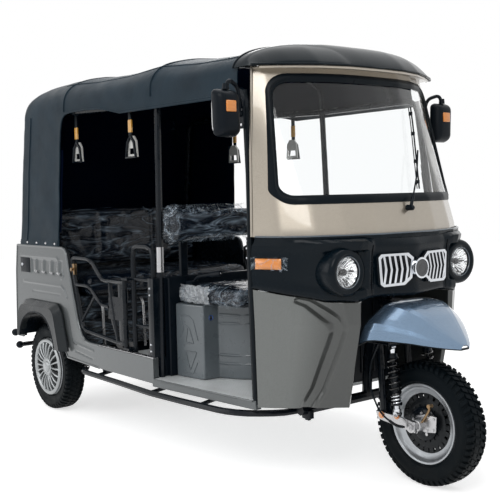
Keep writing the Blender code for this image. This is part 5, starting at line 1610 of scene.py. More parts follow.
            def place(u: float, v: float, proud: float, margin: float, half: float) -> Point:
                """A point of the lamp, or of a wrapping round it."""
                distance = 0.298 - margin + (0.112 + 2 * margin) * u
                y = straight(table, distance)[0]
                swell = math.sin(math.pi * min(max(u, 0.0), 1.0)) ** 0.4 * math.sin(math.pi * v) ** 0.5
                out = 0.003 + proud * swell
                return back(distance) + out * 0.45, side.value * (y + out * 0.9), 0.943 + half * (2 * v - 1)

            lamp = Form().panel(24, 8, lambda u, v: place(u, v, 0.013, 0.0, 0.022))
            lamp.stand("side_indicator_" + side.word, AMBER)

            def wrapped(u: float, v: float) -> Point:
                """A point of the lamp's crinkled film."""
                x, y, z = place(u, v, 0.017, 0.022, 0.027 + 0.008 * waves((u * 9, v * 3, 0.0), 1.0, 3.0))
                crease = abs(waves((u * 14, v * 7, side.value), 1.0, 9.0)) * 0.006
                return x + crease * 0.4, y + side.value * crease, z

            film = Form().panel(60, 16, wrapped)
            area = film.area()
            wrap = film.stand("side_indicator_film_" + side.word, CLEAR_FILM)

    def grille(self) -> None:
        """Dark mesh behind the chrome wings, and the blank badge."""
        wings = DRESSER.copy("grille", CHROME, "grille_wings", 0.0012)
        for vert in wings.data.vertices:
            reach = abs(vert.co.y)
            vert.co.x += 0.006 - 0.16 * 0.14 * reach
            vert.co.y *= 1.14
            vert.co.z = self.lamp_z + (vert.co.z - self.lamp_z) * 1.05
        backing = Form()
        for side in (-1, 1):
            outline = [
                (0.040, 0.036), (0.056, 0.054), (0.168, 0.054), (0.176, 0.046), (0.168, -0.048), (0.158, -0.058),
                (0.074, -0.056), (0.046, -0.032),
            ]
            backing.prism([(side * 1.14 * y, self.lamp_z + 1.05 * z) for y, z in outline], 0.0, 0.002, "YZ")
        for vert in backing.work.verts:
            vert.co.x += back(0.056) - 0.16 * abs(vert.co.y)
        backing.stand("grille_mesh", GRILLE_MESH)
        face = back(0.0463) + 0.014
        centre = (0.0, 0.0, self.lamp_z)
        ring = [
            (0.0360, face - 0.002), (0.0365, face + 0.0035), (0.0400, face + 0.0052), (0.0440, face + 0.0030),
            (0.0445, face - 0.014),
        ]
        Form().spun(ring, centre, "X", 64).stand("badge_ring", CHROME)
        disc = [
            (0.0, face + 0.0028), (0.014, face + 0.0024), (0.0150, face + 0.0016), (0.0255, face + 0.0012),
            (0.0285, face + 0.0020), (0.0365, face + 0.0010),
        ]
        Form().spun(disc, centre, "X", 64).stand("badge_disc", BADGE_BLACK)

    def lower_panel_point(self, column: float, v: float, side: int) -> Point:
        """A point of the lower panel, by the table's column and the share of its height.

        Args:
            column: The table's column.
            v: Share of the height.
            side: Sign of the side.

        Returns:
            The point.
        """
        low_y, low_back, mid_y, mid_back, top_y, top_back = straight(self.lower_plan, column)
        if v < 0.5:
            t = v * 2
            y, distance = low_y + (mid_y - low_y) * t, low_back + (mid_back - low_back) * t
            z = self.lower_bottom + (self.lower_crease - self.lower_bottom) * t
        else:
            t = v * 2 - 1
            y, distance = mid_y + (top_y - mid_y) * t, mid_back + (top_back - mid_back) * t
            z = self.lower_crease + (self.band_low(top_y) - 0.006 - self.lower_crease) * t
        return back(distance), side * y, z

    def groove_share(self, y: float, z: float) -> float:
        """How deep the groove is at a place of the panel, from 0 to 1.

        Args:
            y: Distance from the centre.
            z: Height above the ground.

        Returns:
            The share.
        """
        least = from_line(Vector((abs(y), z)), self.groove)
        width = self.groove_half * (0.45 + 0.55 * min(1.0, max(0.0, (0.492 - abs(y)) / 0.10)))
        share = max(0.0, 1.0 - least / width)
        return min(1.0, share * 1.6)

    def lower_panels(self) -> None:
        """The grey panels from the door pillars to the wheel well, with their pressed groove."""
        for side in Side:
            def place(u: float, v: float) -> Point:
                """A point of the panel with its groove."""
                column = u * (len(self.lower_plan) - 1)
                x, y, z = self.lower_panel_point(column, v, side.value)
                if column < 6.0:
                    sunk = self.groove_share(y, z) * self.groove_depth
                    x -= sunk * 0.72
                    y -= side.value * sunk * 0.69
                return x, y, z

            shell = Form().panel(188, 88, place)
            shell.smoothed(2, 0.4).walled(0.004)
            shell.stand("cab_panel_" + side.word, PANEL_GREY, ["cab_lower_panel_" + side.word], smooth=40.0)

    def bulkhead(self) -> None:
        """The ribbed black wall behind the front wheel."""
        DRESSER.copy("front_bulkhead", SATIN_BLACK)
        DRESSER.copy("dashboard", SATIN_BLACK, width=0.004)
        ribs = Form()
        for y in (-0.20, -0.12, -0.04, 0.04, 0.12, 0.20):
            ribs.box((back(0.4297), y - 0.006, 0.40), (back(0.424), y + 0.006, 0.76))
        ribs.rounded(0.002).stand("bulkhead_ribs", SATIN_BLACK)

    def guard_point(self, distance: float, share: float, side: float) -> Vector:
        """A point of the mudguard, by its station and the share of its section.

        Args:
            distance: Distance behind the front axle.
            share: Share of the section.
            side: Sign of the side.

        Returns:
            The point.
        """
        half, rim, crown, trail = eased(self.guard_stations, distance)
        count = len(self.guard_section) - 1
        index = min(int(share * count), count - 1)
        (a0, b0), (a1, b1) = self.guard_section[index], self.guard_section[index + 1]
        t = share * count - index
        across, height = a0 + (a1 - a0) * t, b0 + (b1 - b0) * t
        return Vector((back(distance + trail * (1 - height)), side * half * across, rim + (crown - rim) * height))

    def mudguard(self) -> None:
        """The silver-blue guard over the front wheel, with its black edge."""
        first, last = self.guard_stations[0][0], self.guard_stations[-1][0]

        def place(u: float, v: float) -> Point:
            """A point of the guard."""
            side = 2 * u - 1
            distance = first + (last - first) * v**0.9
            return self.guard_point(distance, abs(side), 1.0 if side >= 0 else -1.0)

        shell = Form().panel(96, 80, place)
        shell.walled(0.005, facing=-1.0).stand("mudguard_shell", FENDER_BLUE, ["front_mudguard"], smooth=16.0)
        stations = [first + (last - first) * step / 40 for step in range(41)]
        rim = [self.guard_point(distance, 1.0, -1.0) for distance in reversed(stations)]
        rim += [self.guard_point(distance, 1.0, 1.0) for distance in stations]
        Form().pipe(rim, 0.0048, 8).stand("mudguard_edge", SOFT_RUBBER)
        rear = [self.guard_point(last, abs(k) / 20, math.copysign(1.0, k)) for k in range(-20, 21)]
        Form().pipe(
            [point + Vector((-0.001, 0, 0.002)) for point in rear], 0.0058, 8,
        ).stand("mudguard_gasket", SOFT_RUBBER)

    def build(self) -> None:
        """Builds every piece of the front."""
        self.band()
        self.headlights()
        self.indicators()
        self.grille()
        self.lower_panels()
        self.bulkhead()
        self.mudguard()


@dataclass
class Screen:
    """The cab's champagne surround, its windscreen, wiper, visor and mirrors."""

    belt_top: float = 1.052
    top: float = 1.755
    half: float = 0.545
    taper: float = 0.112
    low: float = 1.183
    high: float = 1.722
    seal_width: float = 0.035
    wall: float = 0.012
    gutter_proud: float = 0.050

    def outline(self, inset: float, steps: int = 8) -> list[tuple[float, float]]:
        """The window's outline with round corners, drawn in by an inset. It narrows to its top.

        Args:
            inset: How far it is drawn in.
            steps: Points of a corner.

        Returns:
            Its points as Y and Z.
        """
        low, high = self.low + inset, self.high - inset
        points = []
        corners = ((low, 0.062, 1, -90), (high, 0.088, -1, 0), (high, 0.088, -1, 90), (low, 0.062, 1, 180))
        for edge, radius, way, start in corners:
            radius = max(radius - inset / 2, 0.02)
            for step in range(steps + 1):
                angle = math.radians(start + 90 * step / steps)
                z = edge + way * radius + radius * math.sin(angle)
                half = self.half - (edge + way * radius - self.low) * self.taper - inset * 0.68 - radius
                points.append((math.copysign(half, math.cos(math.radians(start + 45))) + radius * math.cos(angle), z))
        return points

    def on_cab(self, y: float, z: float, proud: float = 0.0) -> Vector:
        """A point on the cab's front, from its distance from the centre and its height."""
        return Vector((back(cab_back(y, z)) + proud, y, z))

    @staticmethod
    def reach(z: float) -> float:
        """How far round the cab its sheet goes at a height, as a share of the whole."""
        return straight([(1.05, 1.0), (1.40, 0.994), (1.60, 0.980), (1.76, 0.968)], z)[0]

    def surround(self) -> None:
        """The painted sheet round the windscreen, with a rolled lower edge and the rain gutter."""
        low = self.belt_top + 0.0003

        def place(u: float, v: float) -> Point:
            """A point of the sheet."""
            z = low + (self.top - low) * v
            roll = 0.006 * math.exp(-((z - low) / 0.010) ** 2)
            return cab_point((2 * u - 1) * self.reach(z), z, -roll)

        sheet = Form().panel(120, 60, place)
        sheet.smoothed(2, 0.5).cut(self.outline(0.008), "YZ").walled(self.wall)
        sheet.stand("cab_surround", CHAMPAGNE, ["windscreen_frame"], smooth=50.0)
        lip = [cab_point((-1 + 2 * k / 64) * 0.972, self.top - 0.007, self.gutter_proud - 0.006) for k in range(65)]
        Form().pipe(lip, 0.0065, 10).stand("gutter_lip", CHAMPAGNE)

        def ledge(u: float, v: float) -> Point:
            """A point of the rain gutter's shelf."""
            return cab_point((2 * u - 1) * 0.972, self.top - 0.003 - 0.002 * v, self.gutter_proud * (1 - v) - 0.006 * v)

        Form().panel(64, 4, ledge).walled(0.004).stand("gutter_shelf", CHAMPAGNE)
        bead = [cab_point((-1 + 2 * k / 64) * 0.972, self.top - 0.0005, self.gutter_proud - 0.020) for k in range(65)]
        Form().pipe(bead, 0.0035, 8).stand("visor_bright_strip", STEEL)
        jamb = Form()
        for side in Side:
            heights = [low + (self.top - low) * k / 16 for k in range(17)]
            path = [cab_point(side.value * self.reach(z), z, 0.0) for z in heights]
            jamb.pipe([Vector(p) + Vector((-0.009, 0, 0)) for p in path], 0.0060, 10)
        jamb.stand("cab_jamb_edges", CHAMPAGNE)

    def ring(self, first: tuple[float, float], second: tuple[float, float]) -> Form:
        """A band round the window between two insets, each with how far it stands proud.

        Args:
            first: The first edge's inset and proudness.
            second: The second edge's.

        Returns:
            The band's form.
        """
        form = Form()
        rows = []
        for share in (0.0, 0.18, 0.36, 0.5, 0.64, 0.82, 1.0):
            inset = first[0] + (second[0] - first[0]) * share
            proud = first[1] + (second[1] - first[1]) * share + 0.007 * math.sin(math.pi * share) ** 0.7
            points = []
            line = self.outline(inset)
            for (a, b), (c, d) in zip(line, line[1:] + line[:1]):
                steps = max(1, round(math.dist((a, b), (c, d)) / 0.03))
                points += [self.on_cab(a + (c - a) * k / steps, b + (d - b) * k / steps, proud) for k in range(steps)]
            rows.append(resampled(points, 360, True))
        form.lofted(rows, closed=True)
        bmesh.ops.recalc_face_normals(form.work, faces=form.work.faces)
        return form

    def glazing(self) -> None:
        """The wide rubber seal with its locking strip, and the pane."""
        seal = self.ring((-0.002, 0.002), (self.seal_width, 0.000))
        seal.walled(0.006).stand("windscreen_seal_rubber", SEAL_RUBBER, ["windscreen_seal"], smooth=70.0)
        line = self.outline(self.seal_width * 0.52)
        strip = resampled([self.on_cab(y, z, 0.0085) for y, z in line], 240, True)
        Form().pipe(strip, 0.0028, 8, closed=True).stand("windscreen_locking_strip", SOFT_RUBBER)

        def place(u: float, v: float) -> Point:
            """A point of the pane."""
            y = (2 * u - 1) * (self.half - 0.014)
            z = self.low + self.seal_width - 0.004 + (self.high - self.low - 2 * self.seal_width + 0.008) * v
            return self.on_cab(y, z, -0.004)

        pane = Form().panel(80, 30, place)
        pane.smoothed(6, 0.5).cut(self.outline(self.seal_width - 0.003), "YZ", keep_inside=True)
        pane.walled(0.004).stand("windscreen_pane", SCREEN_GLASS, ["windscreen_glass"], smooth=60.0)

    def wiper(self) -> None:
        """Pivot, arm and blade, at rest upright on the glass."""
        pivot = self.on_cab(0.02, 1.155, 0.020)
        knuckle = self.on_cab(0.045, 1.205, 0.030)
        tip = self.on_cab(0.145, 1.400, 0.036)
        arm = Form()
        arm.rod(self.on_cab(0.02, 1.155, 0.002), pivot + Vector((0.012, 0, 0)), 0.013, 0.011, 24)
        arm.rod(pivot + Vector((0.012, 0, 0)), pivot + Vector((0.017, 0, 0)), 0.009, 0.007, 24)
        arm.pipe([pivot, knuckle], 0.0070, 10)
        arm.pipe(bent([knuckle, self.on_cab(0.09, 1.29, 0.040), tip], 0.03), 0.0038, 8)
        arm.stand("wiper_arm", SATIN_BLACK, ["wiper"])
        blade = Form()

        def along(t: float, proud: float) -> Vector:
            """A point along the blade."""
            return self.on_cab(0.105 + 0.085 * t, 1.235 + 0.36 * t, proud)

        blade.pipe([along(k / 12, 0.024) for k in range(13)], 0.0034, 8)
        blade.pipe([along(k / 12, 0.012) for k in range(13)], 0.0022, 6)
        for t in (0.08, 0.33, 0.67, 0.92):
            a = along(t, 0.012)
            blade.box(a + Vector((0.0, -0.005, -0.008)), a + Vector((0.014, 0.005, 0.008)))
        blade.stand("wiper_blade", SOFT_RUBBER)

    def visor(self) -> None:
        """The glossy cap over the windscreen, with its centre seam."""
        half, crown = straight(Canopy.stations, Canopy.front)
        wall, clearance, power, overlap = 0.012, 0.002, 3.0, 0.018
        half += wall + clearance
        rise = crown - Canopy.eave + wall + clearance
        lip_z = self.top + 0.0003
        start = math.asin(((lip_z - Canopy.eave) / rise) ** (power / 2))

        def place(u: float, v: float) -> Point:
            """A point of the cap."""
            share = 2 * u - 1
            angle = start + (math.pi / 2 - start) * (1 - abs(share))
            y = half * math.cos(angle) ** (2 / power) if abs(share) > 1e-6 else 0.0
            top = Canopy.eave + rise * math.sin(angle) ** (2 / power)
            lip = cab_back(y * 0.96, self.top) - self.gutter_proud
            along = v**1.5
            arch = math.sin(min(along * 1.5, 1.0) * math.pi / 2) ** 0.8
            distance = lip + (0.55 + overlap - lip) * along
            crease = 0.003 * math.exp(-((y / 0.012) ** 2)) * (1 - v)
            return back(distance), math.copysign(y, share), lip_z + (top - lip_z) * arch - crease

        cap = Form().panel(128, 48, place)
        cap.smoothed(2, 0.5).walled(0.004)
        cap.stand("visor_cap", GLOSS_BLACK, ["roof_visor"], smooth=60.0)
        rim = [place(k / 96, 0.0) for k in range(97)]
        Form().pipe([Vector(point) + Vector((0, 0, 0.003)) for point in rim], 0.0040, 8).stand("visor_rim", GLOSS_BLACK)
        hem = [Vector(place(k / 96, 0.985)) for k in range(97)]
        Form().pipe(hem, 0.0045, 8).stand("visor_rear_bead", SATIN_BLACK)

    def mirrors(self) -> None:
        """Door mirrors on bent stalks, with an amber lamp in the front of each shell."""
        low, high = 1.455, 1.660
        for side in Side:
            s = side.value
            shell = Form().box((back(0.500), 0.600, low), (back(0.438), 0.735, high))
            for vert in shell.work.verts:
                if vert.co.x > back(0.47):
                    vert.co.y = 0.6675 + (vert.co.y - 0.6675) * 0.72
                    vert.co.z = (low + high) / 2 + (vert.co.z - (low + high) / 2) * 0.80
                if vert.co.z < 1.5:
                    vert.co.y -= 0.008
            shell.rounded(0.026, 5)
            for thickness, depth in ((0.008, 0.0), (0.002, -0.006)):
                rear = [face for face in shell.work.faces if face.normal.x < -0.95 and face.calc_area() > 0.004]
                bmesh.ops.inset_region(shell.work, faces=rear, thickness=thickness, depth=depth)
            if s < 0:
                shell.moved(shell.work.verts, Matrix.Scale(-1, 4, (0, 1, 0)))
                bmesh.ops.reverse_faces(shell.work, faces=shell.work.faces)
            shell.stand("mirror_shell_" + side.word, SATIN_BLACK, ["mirror_" + side.word], smooth=40.0)
            glass = Form()
            outline = []
            for k in range(48):
                across, up = math.cos(math.tau * k / 48), math.sin(math.tau * k / 48)
                across, up = (math.copysign(abs(share) ** 0.4, share) for share in (across, up))
                outline.append((0.6675 + 0.052 * across, 1.5575 + 0.084 * up))
            glass.prism([(s * y, z) for y, z in outline], back(0.4985), back(0.4950), "YZ")
            glass.stand("mirror_glass_" + side.word, MIRROR_SILVER)
            lamp = Form().box((back(0.4450), s * 0.640, 1.560), (back(0.4330), s * 0.690, 1.606))
            lamp.rounded(0.005, 3).stand("mirror_lamp_" + side.word, AMBER)
            stalk = Form()
            path = bent([
                (back(0.507), s * 0.5665, 1.560), (back(0.495), s * 0.588, 1.672), (back(0.470), s * 0.655, 1.694),
                (back(0.469), s * 0.668, 1.640),
            ], 0.03)
            stalk.pipe(path, 0.0085, 12)
            stalk.rod((back(0.469), s * 0.668, 1.675), (back(0.469), s * 0.668, 1.652), 0.013, 0.015)
            stalk.box((back(0.524), s * 0.5545, 1.500), (back(0.488), s * 0.5655, 1.592))
            stalk.rod((back(0.507), s * 0.561, 1.560), (back(0.507), s * 0.578, 1.560), 0.014, 0.011)
            stalk.stand("mirror_stalk_" + side.word, SATIN_BLACK)
            bolts = Form()
            for z in (1.515, 1.578):
                bolts.rod((back(0.499), s * 0.565, z), (back(0.499), s * 0.570, z), 0.006, sides=6)
            bolts.stand("mirror_bolts_" + side.word, STEEL)

    def build(self) -> None:
        """Builds every piece round the windscreen."""
        self.surround()
        self.glazing()
        self.wiper()
        self.visor()
        self.mirrors()


@dataclass
class Canopy:
    """The soft top: one sewn sheet over the bows, with its seams, hem and snaps."""

    # Distance behind the front axle, half width at the eave, height at the centre
    stations: ClassVar[tuple] = (
        (0.55, 0.548, 1.858), (0.90, 0.562, 1.880), (1.19, 0.575, 1.905), (1.50, 0.583, 1.893),
        (1.80, 0.590, 1.900), (2.05, 0.592, 1.915), (2.20, 0.592, 1.925), (2.62, 0.588, 1.925),
    )
    eave: ClassVar[float] = 1.70
    front: ClassVar[float] = 0.55
    cloth_area: float = 5.0
    power: float = 3.0
    hem_z: float = 0.957
    thickness: float = 0.004
    # The side opening, as distance behind the front axle and height
    opening: tuple = (
        (0.40, 0.80), (0.40, 1.640), (1.46, 1.645), (1.56, 1.666), (1.66, 1.683), (1.80, 1.690), (1.98, 1.692),
        (2.035, 1.686), (2.066, 1.668), (2.084, 1.640), (2.095, 1.600), (2.106, 1.40), (2.113, 1.20), (2.120, 0.80),
    )

    def roof(self, distance: float, angle: float) -> tuple[float, float]:
        """Half width and height of the roof, by an angle from 0 at the eave to a right angle.

        Args:
            distance: Distance behind the front axle.
            angle: The angle.

        Returns:
            Half width and height.
        """
        half, crown = straight(self.stations, distance)
        y = half * max(math.cos(angle), 0.0) ** (2 / self.power)
        return y, self.eave + (crown - self.eave) * math.sin(angle) ** (2 / self.power)

    def point(self, across: float, up: float, proud: float = 0.0) -> Vector:
        """A point of the sheet.

        Args:
            across: From 0 at the front right, round the back, to 1 at the front left.
            up: From 0 at the hem, over 0.3 at the eave, to 1 at the crest.
            proud: How far outside the sheet.

        Returns:
            The point.
        """
        share = 2 * across - 1
        side = abs(share)
        if up <= 0.3:
            rise = up / 0.3
            end = 2.678 - 0.058 * rise
            corner, angle = 0.07, 0.0
        else:
            angle = math.pi / 2 * ((up - 0.3) / 0.7) ** 1.15
            reach = max(math.cos(angle), 0.0) ** (2 / self.power)
            end = 2.20 + 0.42 * reach
            rise = 1.0
            corner = min(0.07 + 0.20 * math.sin(angle), self.roof(end, angle)[0])
        turn = min(max((0.45 - side) / 0.25, 0.0), 1.0) * math.pi / 2
        distance = end - corner
        if side > 0.45:
            distance = self.front + (end - corner - self.front) * (1 - side) / 0.55
        half = straight(self.stations, distance)[0]
        if up <= 0.3:
            y = half + (0.616 - half) * (1 - rise)
            z = self.hem_z + (self.eave - self.hem_z) * rise
        else:
            y, z = self.roof(distance, angle)
        reach = y - corner + corner * math.cos(turn)
        if side <= 0.20:
            reach = (y - corner) * side / 0.20
        distance += corner * math.sin(turn)
        spot = Vector((back(distance), math.copysign(reach, share), z))
        middle = Vector((min(max(spot.x, back(2.2)), back(0.6)), 0.0, min(spot.z, 1.55)))
        out = (spot - middle).normalized()
        if up <= 0.3:
            out.z = 0.0
        return spot + out * (self.slack(spot, up) + proud)

    def slack(self, spot: Vector, up: float) -> float:
        """How far the cloth stands in or out at a place: sag between the bows, folds and puckers.

        Args:
            spot: The place.
            up: Its share of the way up.

        Returns:
            The distance outwards.
        """
        distance = FRONT_AXLE_X - spot.x
        bows = (0.62, 1.19, 2.05, 2.62)
        span = next(((a, b) for a, b in zip(bows, bows[1:]) if distance <= b), (2.05, 2.62))
        middle = math.sin(math.pi * min(max((distance - span[0]) / (span[1] - span[0]), 0.0), 1.0))
        roofed = min(max((up - 0.32) / 0.2, 0.0), 1.0)
        sag = -0.006 * middle * roofed
        folds = 0.0022 * waves((spot.x * 1.0, spot.y * 3.2, spot.z * 2.6), 3.2, 5.0)
        drag = 0.0016 * waves((spot.x * 2.4 + spot.z * 3.0, spot.y, spot.z * 0.6), 5.0, 11.0)
        pucker = 0.0010 * math.sin(spot.x * 160) * math.exp(-abs(distance - 1.19) / 0.03)
        rear = 0.0030 * waves((spot.y * 1.2, spot.z * 0.8, spot.x), 4.0, 17.0) if distance > 2.12 else 0.0
        return sag + folds + drag + pucker + rear - 0.002

    def cloth(self) -> bpy.types.Object:
        """The sheet itself, with its side openings cut.

        Returns:
            The piece.
        """
        sheet = Form().panel(260, 90, self.point)
        sheet.cut(side_view(self.opening))
        sheet.walled(self.thickness, facing=1.0)
        return sheet.stand("canopy_sheet", CANOPY_CLOTH, ["canopy"], smooth=80.0)

    def lining(self) -> None:
        """The inner face of the sheet, near black as painted shade under the roof."""
        sheet = Form().panel(130, 60, lambda u, v: self.point(u, v, -self.thickness - 0.0025))
        sheet.cut(side_view(self.opening))
        sheet.stand("canopy_lining", LINING_PAINTED_SHADE, smooth=180.0)

    def seam_lines(self) -> list[list[Vector]]:
        """The lines where the sheet's panels are sewn together.

        Returns:
            The lines.
        """
        lines = []
        for distance in (1.19, 2.05):
            line = []
            for k in range(-60, 61):
                angle = math.pi / 2 * (1 - abs(k) / 60)
                y, z = self.roof(distance, angle)
                spot = Vector((back(distance), math.copysign(y, k) if k else 0.0, z))
                out = Vector((0.0, spot.y, (z - 1.5) * 1.2)).normalized()
                line.append(spot + out * (self.slack(spot, 1.0) + 0.0015))
            lines.append(line)
        for side in (-1, 1):
            edge = []
            for k in range(56):
                distance = 0.575 + (2.16 - 0.575) * k / 55
                angle = math.radians(37)
                y, z = self.roof(distance, angle)
                spot = Vector((back(distance), side * y, z))
                edge.append(spot + Vector((0.0, side * 0.6, 0.8)) * (self.slack(spot, 0.7) + 0.0012))
            lines.append(edge)
            upright = []
            for k in range(40):
                z = self.hem_z + 0.004 + (self.eave - self.hem_z) * k / 39
                up = 0.3 * (z - self.hem_z) / (self.eave - self.hem_z)
                across = 0.5 + side * 0.5 * 0.47
                upright.append(self.point(across, min(up, 0.3), 0.0012))
            lines.append(upright)
        return lines

    def seams(self) -> list[bpy.types.Object]:
        """Piping and stitches along every seam.

        Returns:
            The pieces.
        """
        piping, stitches = Form(), Form()
        for line in self.seam_lines():
            piping.pipe(line, 0.0028, 6)
            self.stitch(stitches, line, 0.009)
        return [
            piping.stand("canopy_piping", CANOPY_CLOTH, smooth=180.0),
            stitches.stand("canopy_stitches", THREAD),
        ]

    def stitch(self, form: Form, line: Sequence[Vector], beside: float) -> None:
        """Adds short stitches beside a seam, on its upper or outer side.

        Args:
            form: The form they are added to.
            line: The seam.
            beside: How far beside it.
        """
        walked = 0.0
        for a, b in zip(line, line[1:]):
            run = b - a
            walked += run.length
            if walked < 0.011:
                continue
            walked = 0.0
            out = Vector((0.0, a.y, max(a.z - 1.55, 0.0) * 3)).normalized()
            sideways = run.normalized().cross(out) * beside
            middle = (a + b) / 2 + sideways + out * 0.0004
            half = run.normalized() * 0.0034
            form.rod(middle - half, middle + half, 0.0009, sides=5)

    def hem_line(self, height: float, proud: float) -> list[Vector]:
        """A line round the back at one height above the hem, from opening to opening.

        Args:
            height: Height above the hem.
            proud: How far outside the sheet.

        Returns:
            The line.
        """
        up = 0.3 * height / (self.eave - self.hem_z)
        line = [self.point(0.06 + 0.88 * k / 220, up, proud) for k in range(221)]
        return [spot for spot in line if FRONT_AXLE_X - spot.x > 2.124]

    def hem(self) -> list[bpy.types.Object]:
        """The doubled hem with its snaps, and the bound edge of each side opening.

        Returns:
            The pieces.
        """
        low, high = self.hem_line(0.004, 0.0022), self.hem_line(0.034, 0.0018)
        band = Form()

        def place(u: float, v: float) -> Point:
            """A point of the hem's band."""
            index = round(u * (len(low) - 1))
            return low[index].lerp(high[min(index, len(high) - 1)], v)

        band.panel(len(low) - 1, 6, place).walled(0.0016)
        pieces = [band.stand("canopy_hem", CANOPY_CLOTH, smooth=80.0)]
        snaps = Form()
        line = self.hem_line(0.018, 0.0035)
        walked = 0.075
        for a, b in zip(line, line[1:]):
            walked += (b - a).length
            if walked >= 0.105:
                walked = 0.0
                out = (b - a).normalized().cross(Vector((0, 0, 1)))
                out = out if out.dot(Vector((a.x - back(1.7), a.y, 0))) > 0 else -out
                snaps.rod(a - out * 0.001, a + out * 0.0022, 0.0070, 0.0052, 16)
                snaps.ball(a + out * 0.0020, (0.0032, 0.0032, 0.0032), 10)
        pieces.append(snaps.stand("canopy_snaps", STEEL))
        binding, stitches = Form(), Form()
        for side in (-1, 1):
            edge = [self.on_side(distance, z, side) for distance, z in self.opening_edge()]
            binding.pipe(edge, 0.0042, 8)
            self.stitch(stitches, [spot + Vector((0.0, side * 0.0028, 0.012)) for spot in edge[:70]], 0.0)
        pieces.append(binding.stand("canopy_binding", CANOPY_CLOTH, smooth=180.0))
        pieces.append(stitches.stand("canopy_binding_stitches", THREAD))
        return pieces

    def opening_edge(self) -> list[tuple[float, float]]:
        """Closely spaced points along the upper and rear edges of the side opening.

        Returns:
            Distances behind the front axle and heights.
        """
        start = [(0.556, 1.6405), *self.opening[2:-1], (2.1198, self.hem_z)]
        points = []
        for (a, b), (c, d) in zip(start, start[1:]):
            steps = max(1, round(math.dist((a, b), (c, d)) / 0.02))
            points += [(a + (c - a) * k / steps, b + (d - b) * k / steps) for k in range(steps)]
        return points + [start[-1]]

    def on_side(self, distance: float, z: float, side: int) -> Vector:
        """A point of the sheet's side wall at a distance behind the front axle and a height.

        Args:
            distance: Distance behind the front axle.
            z: Height above the ground.
            side: Sign of the side.

        Returns:
            The point.
        """
        half = straight(self.stations, distance)[0]
        rise = min((z - self.hem_z) / (self.eave - self.hem_z), 1.0)
        spot = Vector((back(distance), side * (half + (0.616 - half) * (1 - rise)), z))
        return spot + Vector((0.0, side, 0.0)) * self.slack(spot, 0.3 * rise)

    def build(self) -> None:
        cloth = self.cloth()
        self.lining()
        trimmings = self.seams() + self.hem()
        DRESSER.copy("roof_bows", FRAME_BLACK)


class Tread(Enum):
    """The two tread patterns, as cross-sections of their outer and their inner blocks.

    A cross-section's points are a share of the half width and a drop below the tread's top.
    """

    KNOBBY = (
        ((0.965, 0.0190), (0.935, 0.0110), (0.80, 0.0040), (0.60, 0.0012)),
        ((0.50, 0.0004), (0.28, 0.0000), (0.06, 0.0)),
    )
    ROAD = (
        ((0.975, 0.0180), (0.90, 0.0080), (0.72, 0.0025), (0.58, 0.0010)),
        ((0.46, 0.0005), (0.28, 0.0), (0.10, 0.0)),
    )


